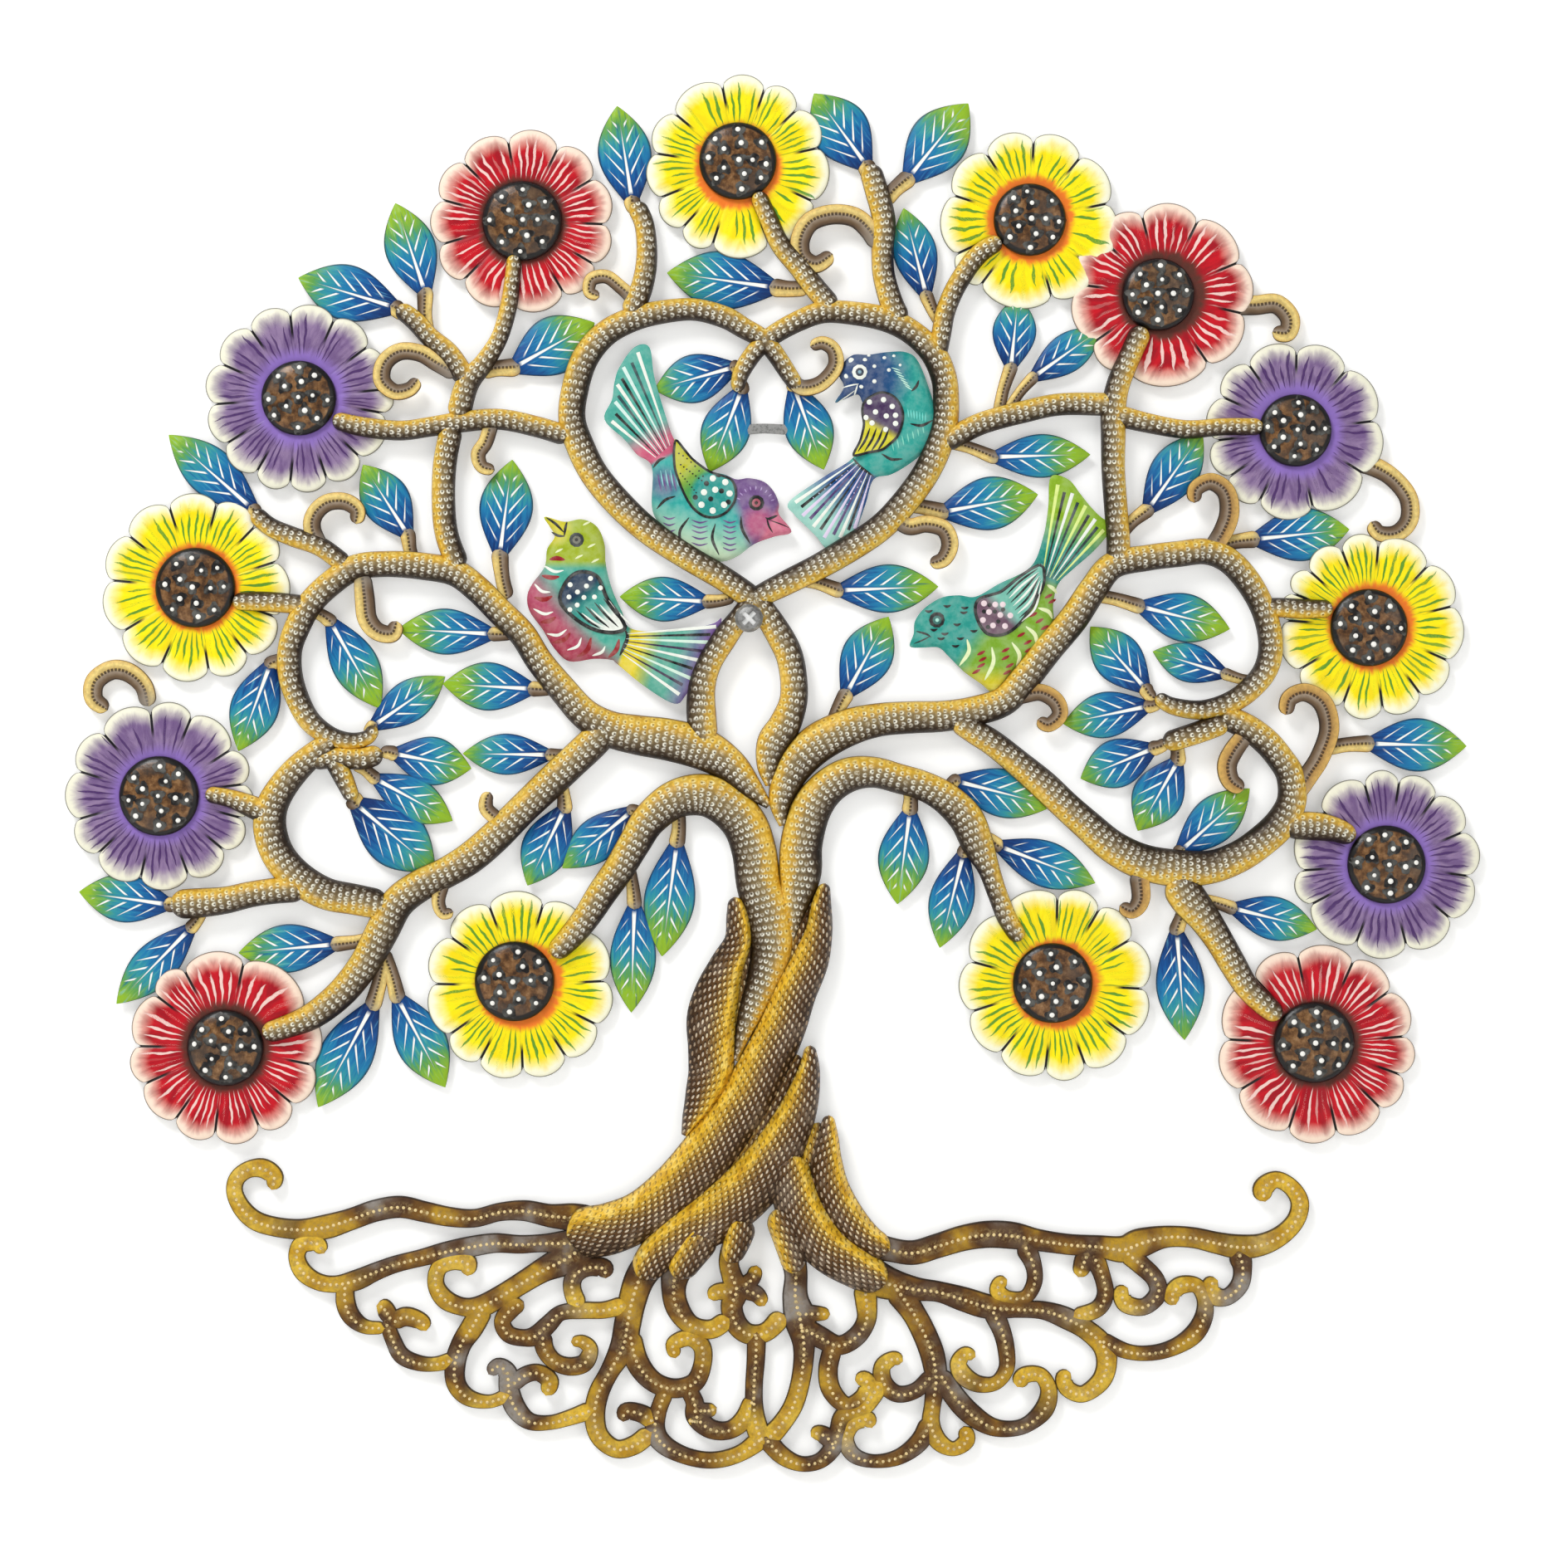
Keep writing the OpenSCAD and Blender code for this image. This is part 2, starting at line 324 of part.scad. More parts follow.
LEAVES_SIDE_LEFT = [
    [-103, -6, -141, -4, 19, -92, -5], [-168, -1, -148, -36, 19, -177, 4],
    [-192, -18, -205, -53, 20, -184, -14], [-17, 7, -52, 9, 18.5, -6, 9],
    [-151, -43, -122, -23, 17, -153, -47], [-87, -28, -123, -26, 20, -76, -27],
    [-80, -54.5, -115, -54, 17, -69, -53], [-142.5, -54, -111.5, -60, 20, -148, -54],
    [-150, -64, -119, -81, 18, -159, -58], [-158, -74, -126, -101, 25, -160, -70]];
LEAVES_SIDE_RIGHT = [
    [39, -30, 56, 1, 21, 33, -44], [83, -65, 122, -75, 20, 78, -70],
    [159, -28, 137, -3, 20, 163, -32], [160, -35, 126, -42, 19, 165, -33],
    [162, -52, 133, -64, 20, 168, -49], [191, -22, 162, -13, 16, 204, -25],
    [249, -50, 288, -51, 22, 231, -52], [172, -57, 156, -85, 21, 171, -49],
    [100, -91, 139, -106, 19, 93, -87], [173, -93, 201, -68, 19, 172, -98]];
LEAVES_LOW = [
    [-233, -114.5, -269, -109.5, 20, -227, -114], [-224, -124, -254, -154.5, 18, -219, -116],
    [-166, -130.5, -205, -134, 20, -148, -127], [-151, -155, -173, -196, 22, -146, -133],
    [-141, -152, -122, -188, 21, -147, -133], [-74, -76, -89, -107, 20, -76, -65],
    [-47, -77, -75, -100, 18, -38, -78], [-29, -90, -35, -135.5, 21, -28.5, -77],
    [-46, -114.5, -47.3, -158, 19, -49, -97], [64.5, -77, 59.5, -114.5, 21, 64, -66],
    [86, -94, 76.5, -132, 18.5, 89, -85], [194, -116, 228, -124.5, 18, 178, -112],
    [171.5, -125, 174.8, -169, 20, 175, -112]];

// ---------- flowers: name, [centre x, centre z, reach over flower_r], angles of the notches ----------
FLOWERS = [
    ["purple_1", [-180.5, 88.5, 0],
        [6, 37, 66, 96, 125, 156, 184, 212, 240, 264, 289, 316, 350]],
    ["red_1", [-91, 159.5, -1], [31, 64, 100, 135, 165, 196, 225, 262, 300, 329, 358]],
    ["yellow_1", [-4.5, 182, -1], [13, 44, 71, 101, 140, 171, 202, 228, 252, 292, 335]],
    ["yellow_2", [112.5, 160, -2], [12, 51, 87, 123, 162, 205, 233, 286, 323]],
    ["red_2", [165, 130, -1], [23, 64, 104, 137, 173, 215, 245, 304, 347]],
    ["purple_2", [219, 75.5, -2], [7, 50, 89, 125, 155, 187, 215, 243, 283, 328]],
    ["yellow_3", [-222, 12.5, 0], [18, 46, 76, 108, 142, 175, 211, 246, 279, 308, 340]],
    ["yellow_4", [249, -3.5, -0.5], [14, 47, 85, 111, 138, 157, 176, 211, 250, 278, 306, 336]],
    ["purple_3", [-236.5, -71, 0], [8, 33, 68, 96, 132, 163, 196, 223, 257, 290, 320, 345]],
    ["purple_4", [255, -98.5, 0], [23, 54, 81, 105, 140, 184, 208, 249, 284, 320, 352]],
    ["yellow_5", [-93, -146, 0], [3, 40, 74, 111, 145, 179, 215, 242, 272, 303, 333]],
    ["yellow_6", [122.5, -146.5, 1], [31, 60, 89, 127, 165, 198, 231, 263, 290, 324, 357]],
    ["red_3", [-210, -172, 1], [25, 78, 118, 143, 179, 204, 235, 263, 293, 320, 349]],
    ["red_4", [227, -170, 2], [5, 36, 66, 102, 133, 177, 211, 252, 283, 315, 340]]];

// ---------- birds: body outline and wing outline ----------
BIRD_1 = [
    [-46, 109], [-52, 101], [-54, 95], [-55, 88], [-58, 80], [-50, 72], [-45, 66], [-39, 61],
    [-39, 45], [-36, 38], [-30, 31], [-22, 26], [-12, 23], [-5, 25], [2, 30], [10, 33], [17, 35],
    [12, 42], [12, 46], [10, 51], [6, 55], [0, 56.5], [-5, 56], [-10, 58], [-18, 60], [-25, 66],
    [-30, 72], [-33, 80], [-38, 97], [-40, 109]];
WING_1 = [
    [-30, 71], [-28, 70.5], [-23, 64.5], [-15, 59], [-6.5, 55.5], [-5, 48], [-9, 42], [-15, 40],
    [-20.5, 42], [-25.5, 48], [-30, 60]];
BIRD_2 = [
    [34.5, 87], [38, 93], [36, 98], [38, 103], [42, 106], [48, 106], [55, 107], [63, 107],
    [68, 103], [73, 90], [75, 82], [74, 74], [70, 67], [64, 62], [57, 58], [50, 56], [47, 47],
    [44, 38], [42, 33], [37, 31], [31.5, 28], [27, 33], [22, 38], [18, 42], [16, 47], [30, 57],
    [41, 64], [44, 70], [47, 80], [45, 88], [43, 90], [38, 88]];
WING_2 = [
    [45.5, 86.5], [49, 89.5], [53.5, 91], [58.5, 89], [61.5, 84.5], [62, 79.5], [60, 73],
    [56, 69], [53, 67], [47.5, 66], [41.5, 65], [44, 70.5], [45.5, 77.5], [45, 82]];
BIRD_3 = [
    [-82, 41], [-80, 37], [-78, 33], [-81, 28], [-82, 21], [-87, 14], [-89, 9], [-88, 3],
    [-83, -4], [-78, -12], [-72, -17], [-62, -16], [-55, -16.5], [-53, -18], [-42, -27],
    [-30, -34], [-25, -30], [-18, -20], [-14, -11], [-11, 0], [-15, -2], [-30, -5], [-47, -4],
    [-51, 3], [-55, 12], [-57.5, 22], [-58, 30], [-61, 37], [-67, 40], [-74, 39]];
WING_3 = [
    [-66, 19.5], [-60, 17], [-56, 8], [-49, -4], [-58, -6], [-68, -2], [-76, 6], [-75, 13],
    [-71, 18]];
BIRD_4 = [
    [64.5, -11], [70, -11.5], [76, -11.5], [80, -15], [86, -21], [93, -26], [99, -30],
    [105, -22], [112, -15], [118, -9], [122, -2], [122, 6], [124, 14], [130, 20], [138, 27],
    [144, 34], [145, 38], [141, 41], [137, 45], [133, 50], [128, 56], [121, 57], [120, 45],
    [118, 33], [113, 21], [100, 14], [91, 9], [84, 9.5], [77, 8.5], [70, 4], [66.5, -1],
    [66, -6]];
WING_4 = [
    [116.5, 22], [107.5, 16.5], [100, 11], [92.5, 8.5], [90, 5], [91, -1], [95, -6.5],
    [101.5, -7], [107.5, -3.5], [113, 3.5], [118, 12.5], [118.5, 18.5]];

// ---------- plates that curl out from behind a flower ----------
BEHIND_LEFT = [
    [[-241, -35, 7], [-243, -27, 7.5], [-249, -21.5, 8], [-256, -20.5, 8], [-262.5, -25, 8],
     [-263, -32, 7.5], [-257.5, -36.5, 6]]];
BEHIND_RIGHT = [
    [[193, 126, 8], [203, 126, 8], [211.5, 126.5, 8], [217, 121, 8], [216, 115, 7.5],
     [210, 115, 6]],
    [[240, 64, 8], [250, 61.5, 8], [258, 57, 7.5], [264.5, 49, 7.5], [265, 40, 7.5],
     [260, 34.5, 7], [253, 34.5, 6.5], [249.5, 39, 6]]];

// ---------- geometry helpers ----------
// The flat place of a drawn point
function placed(p) = [p[0], p[1]];
function heading(path, i) =
    let (a = placed(path[max(i - 1, 0)]), b = placed(path[min(i + 1, len(path) - 1)]))
    atan2(b[1] - a[1], b[0] - a[0]);
// Catmull-Rom curve through hand-chosen points, with steps pieces between two of them
function curve_at(path, i, t) =
    let (last = len(path) - 1, p0 = path[max(i - 1, 0)], p1 = path[i], p2 = path[i + 1],
         p3 = path[min(i + 2, last)])
    (2 * p1 + (p2 - p0) * t + (2 * p0 - 5 * p1 + 4 * p2 - p3) * t * t
     + (3 * p1 - p0 - 3 * p2 + p3) * t * t * t) / 2;
function smooth(path, steps) = concat(
    [for (i = [0:len(path) - 2], j = [0:steps - 1]) curve_at(path, i, j / steps)],
    [path[len(path) - 1]]);

// Stands a flat shape up, with its front towards -Y
module upright() rotate([90, 0, 0]) children();

// Stands the drawing up at the size of the whole tree, so that what touches goes on touching
module stand() upright() scale([kx, kz, 1]) children();

// Half-round shell, as wide as w and as high as h: outer line left to right, then inner line back
function arch(half, h) = [
    [-half, 0], [-half * 0.9, h * 0.5], [-half * 0.56, h * 0.88], [0, h],
    [half * 0.56, h * 0.88], [half * 0.9, h * 0.5], [half, 0]];
function section(w, h) =
    let (wall = min(gauge, w * 0.2), inner = arch(w / 2 - wall, max(h - wall, h * 0.3)))
    concat(arch(w / 2, h), [for (i = [6:-1:0]) inner[i]]);

// The section's corners in place, square to the path
function ring(path, i, h) =
    let (p = placed(path[i]), w = path[i][2] * branch_bulk, turn = heading(path, i))
    [for (q = section(w, h * min(1, w / 9)))
        [p[0] - sin(turn) * q[0], p[1] + cos(turn) * q[0], branch_base + q[1]]];

corners = 14;
function side_faces(i) = [
    for (j = [0:corners - 1])
        let (a = i * corners + j, b = i * corners + (j + 1) % corners)
        each [[a, b, b + corners], [a, b + corners, a + corners]]];
function cap_faces(first) = [
    for (j = [0:5])
        let (a = first + j, b = first + j + 1, c = first + 12 - j, d = first + 13 - j)
        each [[a, d, c], [a, c, b]]];

// A hollow-backed band swept along a path
module band(path, h) {
    last = len(path) - 1;
    polyhedron(
        points = [for (i = [0:last]) each ring(path, i, h)],
        faces = concat(
            [for (i = [0:last - 1]) each side_faces(i)],
            cap_faces(0),
            [for (f = cap_faces(last * corners)) [f[0], f[2], f[1]]]));
}

// Formed bands with flat scrolls on them
module formed(paths, h, scrolls = []) {
    stand() {
        for (path = paths) band(path, h);
        if (len(scrolls) > 0)
            translate([0, 0, branch_base]) flat_layer(scrolls, scroll_rise);
    }
}

// Room for the screw's neck
module screw_hole() {
    upright() translate([0, 0, -1]) cylinder(r = neck_r + screw_gap, h = head_base + 10);
}

// Flat outline of a band: a quad for each stretch, and a disc at each point
module flat_band(path) {
    s = smooth(path, 2);
    for (i = [0:len(s) - 2]) {
        a = placed(s[i]);
        b = placed(s[i + 1]);
        d = (b - a) / norm(b - a);
        side = [-d[1], d[0]];
        polygon([a + side * s[i][2] / 2, b + side * s[i + 1][2] / 2, b - side * s[i + 1][2] / 2,
                 a - side * s[i][2] / 2]);
    }
    for (p = s) translate(placed(p)) circle(d = p[2], $fn = 16);
}

module flat_layer(paths, thick) {
    linear_extrude(thick) offset(delta = 0.05) for (path = paths) flat_band(path);
}

// Leaf outline about +X, from its cut base at 0 to its tip at leaf_len
leaf_base = 0.15;
leaf_fullness = 1.09; // the widest part of leaf_half, doubled
function leaf_half(t) =
    leaf_base * (1 - t) + 0.5 * pow(sin(180 * pow(t, 1.15)), 0.9) * (1 - leaf_base * t);
module leaf_outline(leaf_len, w) {
    steps = 10;
    scale = w / leaf_fullness;
    polygon(concat(
        [for (i = [0:steps]) [leaf_len * i / steps, -leaf_half(i / steps) * scale]],
        [for (i = [steps - 1:-1:0]) [leaf_len * i / steps, leaf_half(i / steps) * scale]]));
}

module leaf(l) {
    base = placed([l[0], l[1]]);
    tip = placed([l[2], l[3]]);
    end = placed([l[5], l[6]]);
    w = l[4] * leaf_bulk;
    run = end - base;
    stand() {
        translate([base[0], base[1], 0])
            rotate([0, 0, atan2(tip[1] - base[1], tip[0] - base[0])])
                linear_extrude(gauge) leaf_outline(norm(tip - base), w);
        // The sheath carries the leaf out from under the branch
        translate([base[0], base[1], 0])
            rotate([0, 0, atan2(run[1], run[0])])
                translate([-3, -w * 0.15, 0]) cube([norm(run) + 3, w * 0.3, branch_base]);
    }
}

// A petal's edge at a share t of the way between its two notches
function petal_edge(reach, t) = reach - petal_notch * (1 - pow(sin(180 * t), 0.55));

// Ring of petals with a notch at each angle
module petal_ring_outline(flower) {
    reach = flower_r + flower[1][2];
    notches = flower[2];
    steps = 8;
    translate(placed(flower[1]))
        polygon([for (i = [0:len(notches) - 1], j = [0:steps - 1])
            let (first = notches[i],
                 last = i + 1 < len(notches) ? notches[i + 1] : notches[0] + 360,
                 a = first + (last - first) * j / steps)
            petal_edge(reach, j / steps) * [cos(a), sin(a)]]);
}

// One sheet of petals; the neighbour in front is cut out of it with a saw kerf
module petal_ring(i) {
    neighbour = i == 4 ? 3 : i == 13 ? 9 : -1;
    stand() translate([0, 0, petal_base]) linear_extrude(gauge) difference() {
        petal_ring_outline(FLOWERS[i]);
        if (neighbour >= 0) offset(delta = kerf) petal_ring_outline(FLOWERS[neighbour]);
    }
}

module flower_centre(i) {
    f = FLOWERS[i][1];
    stand() translate([f[0], f[1], branch_base])
        rotate_extrude()
            polygon([[0, 0], [disc_r, 0], [disc_r, 1], [disc_r * 0.96, 1.9],
                     [disc_r * 0.8, disc_rise * 0.72], [disc_r * 0.55, disc_rise * 0.9],
                     [disc_r * 0.25, disc_rise * 0.98], [0, disc_rise]]);
}

module outline(points) polygon([for (p = points) placed(p)]);

module bird(points) {
    stand() {
        translate([0, 0, petal_base]) linear_extrude(gauge) outline(points);
        translate([0, 0, branch_base]) linear_extrude(bird_rise)
            offset(delta = -3.5) outline(points);
    }
}

module wing(points) {
    stand() translate([0, 0, branch_base + bird_rise]) linear_extrude(gauge) outline(points);
}

// ---------- the pieces ----------
module wall_screw() {
    color("lightgray") upright() difference() {
        union() {
            translate([0, 0, -wall_depth]) cylinder(r = shank_r, h = wall_depth);
            cylinder(r = neck_r, h = head_base + 0.5);
            translate([0, 0, head_base]) rotate_extrude()
                polygon([[0, 0], [head_r, 0], [head_r, 0.7], [head_r * 0.8, head_h * 0.7],
                         [head_r * 0.45, head_h * 0.94], [0, head_h]]);
        }
        for (turn = [45, 135])
            translate([0, 0, head_base + head_h]) rotate([0, 0, turn])
                cube([recess_span, recess_arm, 2 * recess_depth], center = true);
    }
}
module trunk_left() { color("saddlebrown") formed([TRUNK_LEFT], trunk_rise * 0.8); }
module trunk_right() { color("peru") formed([TRUNK_RIGHT], trunk_rise); }
module trunk_base() { color("sienna") formed(TRUNK_BASE, trunk_rise); }
module trunk_flare() { color("peru") formed([TRUNK_FLARE], trunk_rise * 0.8); }
module droop_left() { color("goldenrod") formed([DROOP_LEFT], branch_rise); }
module droop_right() { color("goldenrod") formed([DROOP_RIGHT], branch_rise); }
module limb_left() { color("darkgoldenrod") formed(LIMB_LEFT, branch_rise, LIMB_LEFT_SCROLLS); }
module limb_right() { color("darkgoldenrod") formed(LIMB_RIGHT, branch_rise, LIMB_RIGHT_SCROLLS); }
module limb_left_low() { color("gray") formed(LIMB_LEFT_LOW, branch_rise, LIMB_LEFT_LOW_SCROLLS); }
module loop_left() { color("gold") formed(LOOP_LEFT, branch_rise); }
module loop_right() { color("gray") formed(LOOP_RIGHT, branch_rise, LOOP_RIGHT_SCROLLS); }
module heart_a() {
    color("gray") difference() {
        formed(concat([HEART_A], HEART_A_STEMS), branch_rise, HEART_A_SCROLLS);
        screw_hole();
    }
}
module heart_b() {
    color("gold") difference() {
        formed(concat([HEART_B], HEART_B_STEMS), branch_rise, HEART_B_SCROLLS);
        screw_hole();
    }
}
module crown_left() { color("goldenrod") formed(CROWN_LEFT, branch_rise, CROWN_LEFT_SCROLLS); }
module crown_right() { color("gray") formed(CROWN_RIGHT, branch_rise); }
module roots_left() { color("sienna") stand() flat_layer(ROOTS_LEFT, branch_base); }
module roots_middle() { color("saddlebrown") stand() flat_layer(ROOTS_MIDDLE, branch_base); }
module roots_right() { color("sienna") stand() flat_layer(ROOTS_RIGHT, branch_base); }
module leaves_crown_left() { color("steelblue") for (l = LEAVES_CROWN_LEFT) leaf(l); }
module leaves_crown_right() {
    color("steelblue") {
        for (l = LEAVES_CROWN_RIGHT) leaf(l);
        stand() flat_layer(BEHIND_RIGHT, gauge);
    }
}
module leaves_side_left() {
    color("teal") {
        for (l = LEAVES_SIDE_LEFT) leaf(l);
        stand() flat_layer(BEHIND_LEFT, gauge);
    }
}
module leaves_side_right() { color("teal") for (l = LEAVES_SIDE_RIGHT) leaf(l); }
module leaves_low() { color("steelblue") for (l = LEAVES_LOW) leaf(l); }

wall_screw();
trunk_left();
trunk_right();
trunk_base();
trunk_flare();
droop_left();
droop_right();
limb_left();
limb_right();
limb_left_low();
loop_left();
loop_right();
heart_a();
heart_b();
crown_left();
crown_right();
roots_left();
roots_middle();
roots_right();
leaves_crown_left();
leaves_crown_right();
leaves_side_left();
leaves_side_right();
leaves_low();
BIRDS = [BIRD_1, BIRD_2, BIRD_3, BIRD_4];
WINGS = [WING_1, WING_2, WING_3, WING_4];
BIRD_COLOURS = ["mediumpurple", "royalblue", "yellowgreen", "turquoise"];
for (i = [0:3]) {
    color(BIRD_COLOURS[i]) bird(BIRDS[i]);
    color("yellow") wing(WINGS[i]);
}
function petal_colour(name) =
    name[0] == "p" ? "mediumpurple" : name[0] == "r" ? "crimson" : "yellow";
for (i = [0:len(FLOWERS) - 1]) {
    name = FLOWERS[i][0];
    color(petal_colour(name)) petal_ring(i);
    color("saddlebrown") flower_centre(i);
}
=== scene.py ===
"""A painted, hammered sheet-steel tree of life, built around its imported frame.

Lengths are in millimetres in a flat drawing: across, up and height off the wall. Mesh makers turn
them into metres, with the front towards -Y.
"""
import math
import random

import bpy
import numpy as np
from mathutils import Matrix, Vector, geometry


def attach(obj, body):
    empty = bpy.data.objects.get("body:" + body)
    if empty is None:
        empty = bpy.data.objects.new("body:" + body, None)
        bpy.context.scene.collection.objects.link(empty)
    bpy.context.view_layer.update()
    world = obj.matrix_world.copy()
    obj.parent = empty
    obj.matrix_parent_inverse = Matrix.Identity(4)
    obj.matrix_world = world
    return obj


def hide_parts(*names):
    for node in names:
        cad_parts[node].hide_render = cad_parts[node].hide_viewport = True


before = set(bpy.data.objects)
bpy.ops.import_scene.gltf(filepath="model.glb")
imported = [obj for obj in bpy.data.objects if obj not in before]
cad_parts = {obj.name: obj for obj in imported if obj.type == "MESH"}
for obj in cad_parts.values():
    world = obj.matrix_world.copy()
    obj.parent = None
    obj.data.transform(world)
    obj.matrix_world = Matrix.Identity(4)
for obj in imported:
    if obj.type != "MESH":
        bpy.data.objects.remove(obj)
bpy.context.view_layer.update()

# ---------- sizes shared by the pieces, in mm ----------
GAUGE = 1.2
PETAL_BASE = GAUGE
BRANCH_BASE = 2 * GAUGE
BRANCH_RISE = 5.4
TRUNK_RISE = 9.0
SCROLL_RISE = 2.6
DISC_R = 15.6
DISC_RISE = 4.0
BIRD_RISE = 2.0
MARK_ROW = 2.9       # hammer marks: spacing along a branch
MARK_SIDE = 2.3      # hammer marks: spacing across a branch
DASH_ROW = 3.2       # trunk dashes: spacing along a strand
DASH_SIDE = 1.7      # trunk dashes: spacing across a strand
MARK_DEPTH = 0.22    # hammer marks: height
DASH_DEPTH = 0.2     # trunk dashes: height
BAND_STEP = 0.5      # spacing of the rows of a formed band
VEIN_PITCH = 6.4     # leaf veins: spacing along the leaf
VEIN_SLOPE = 1.5     # leaf veins: how far along they run for each step to the side
VEIN_START = 0.15    # leaf veins: place of the first one, as a share of their spacing
SMALLEST_ROUND_END = 1.6    # ends of a smaller radius stay square

# ---------- lines of the branches: [across, up, width] ----------------------
DROOP_LEFT = [
    [-79, -135, 8], [-72, -128, 10], [-65.5, -120, 11], [-59, -110, 12], [-52, -100, 12.5],
    [-46, -90, 13], [-40, -80.5, 14], [-30, -72.5, 15.5], [-19, -70.5, 17], [-10, -74, 17.5],
    [-2, -82, 18], [2, -93, 18], [4, -107, 18], [8, -120, 18], [9, -132, 17],
    [5, -146, 13], [0.5, -158, 10], [-3, -168, 6], [-5.5, -177, 2.5]]
DROOP_RIGHT = [
    [109, -129, 7], [103.5, -120, 8], [99.5, -110, 8], [96, -100, 9], [91.5, -90, 13],
    [87, -80, 14], [79, -72, 13], [70, -67, 12], [60, -64, 12], [50, -61.5, 12.5],
    [40, -62.5, 14], [31, -68, 15], [24.5, -77, 16.5], [21, -90, 17], [20.5, -102, 17],
    [19, -113, 12], [18, -122, 6], [17.5, -129, 2.5]]
HEART_A = [
    [-17, -50, 10], [-19, -40, 12], [-19, -28, 11], [-16, -18, 10], [-10, -8, 10], [-4, 0, 9],
    [3, 8, 9], [15, 14.5, 10], [28, 21, 10.5], [40, 28, 11], [52, 36, 11], [61, 45, 11],
    [70, 57, 11], [75.5, 68, 11], [78.5, 78, 10.5], [79, 87, 10.5], [78, 97, 10.5],
    [73.5, 107, 10.5], [65, 115, 10], [55, 120, 10], [42, 122.5, 9.5], [30, 123, 9],
    [20, 119.5, 8.5], [10, 114, 8], [3, 108, 7.5], [-3, 99, 7], [-5, 91, 5]]
HEART_B = [
    [8, -67, 3], [7.5, -59, 9], [9.5, -50, 13], [14, -43, 13], [17.5, -34, 11.5],
    [18, -26, 11], [16.5, -16, 11], [13, -8, 11], [6, 3, 10], [0, 9, 10], [-10, 16, 10],
    [-25, 25, 10.5], [-40, 35, 11], [-52, 46, 11.5], [-62, 58, 11.5], [-68, 70, 11.5],
    [-71, 80, 11], [-70, 91, 11], [-66, 104, 11], [-58, 114, 10.5], [-47, 120, 10],
    [-35, 123, 9.5], [-22, 124, 9], [-10, 121, 9], [-2, 116.5, 8.5], [5, 112.5, 8],
    [10, 107, 7.5], [16, 98, 7], [20, 92, 6]]
HEART_A_STEMS = [
    [[3, 171, 7], [8, 160, 7.5], [12.5, 150, 8], [20, 141, 8.5], [27, 132, 9], [34, 124, 9]],
    [[48, 182, 9], [51, 172, 9.5], [54, 160, 9.5], [53.5, 148, 9], [54, 138, 9], [57, 127, 9.5],
     [61, 118, 10]],
    [[101, 152, 7], [92, 146, 8], [84, 135, 8], [79, 124, 8], [77, 114, 8], [75, 104, 8]]]
HEART_B_STEMS = [
    [[-46, 167, 8], [-42, 158, 8], [-41, 145, 8.5], [-43, 133, 9], [-48, 121, 9.5]]]
HEART_A_SCROLLS = [
    [[52, 149, 7], [48, 156, 8], [42, 161, 8], [33, 162, 8], [24.5, 159, 8], [20.5, 152, 8],
     [21.5, 145, 7.5], [27, 142, 7], [33.5, 146, 6]],
    [[58, 41, 7], [64, 37, 7], [71, 38, 7], [78, 36, 7], [80.5, 30, 7], [78, 24, 6.5],
     [72.5, 22, 5]]]
HEART_B_SCROLLS = [
    [[-46, 128, 6], [-51, 132.5, 5.5], [-57, 137, 5.5], [-63, 136, 5.5], [-64, 131, 5],
     [-60, 129, 4]],
    [[17, 95, 6], [22, 92.5, 6.5], [29, 94.5, 6.5], [34.5, 101, 6.5], [34, 107.5, 6],
     [29.5, 110.5, 5.5], [24.5, 109, 4.5]]]
CROWN_LEFT = [
    [[-167, 80, 7], [-155, 77, 8], [-140, 75.5, 8], [-128, 77, 8], [-115, 79, 8.5],
     [-100, 80, 8.5], [-85, 77, 8.5], [-72, 73, 8.5]],
    [[-94, 146, 6], [-95, 135, 6.5], [-96.5, 125, 7], [-100, 113, 7], [-106, 103, 8],
     [-113, 94, 9.5], [-117, 80, 10]],
    [[-141, 125, 7], [-134, 119.5, 8], [-128, 113, 8], [-120, 106, 8.5], [-113, 95, 9]],
    [[-119, 78, 9.5], [-122, 62, 9.5], [-122.5, 46, 9.5], [-121, 33, 9.5], [-116, 20, 9.5]]]
CROWN_LEFT_SCROLLS = [
    [[-117, 98, 7], [-125, 102.5, 7], [-132, 106.5, 7], [-140, 107, 7], [-146, 102.5, 7],
     [-147, 95.5, 7], [-142, 91, 6.5], [-136, 92, 6], [-132.5, 96, 5]],
    [[-103, 79, 6], [-105.5, 71, 6], [-108.5, 66, 6], [-107, 61, 5.5], [-102, 59.5, 4.5]]]
CROWN_RIGHT = [
    [[158, 117, 9], [153, 106, 9], [148, 94, 9.5], [146, 83, 10], [146, 74, 10],
     [146, 60, 9.5], [147, 45, 9.5], [148, 32, 9.5], [148, 21, 10]],
    [[206, 77, 7], [190, 77, 7], [175, 76, 7.5], [160, 78.5, 8], [146, 82, 9]],
    [[77, 70, 9], [86, 75, 9], [95, 79, 9], [110, 83, 9], [125, 86, 9], [146, 86, 9.5]]]
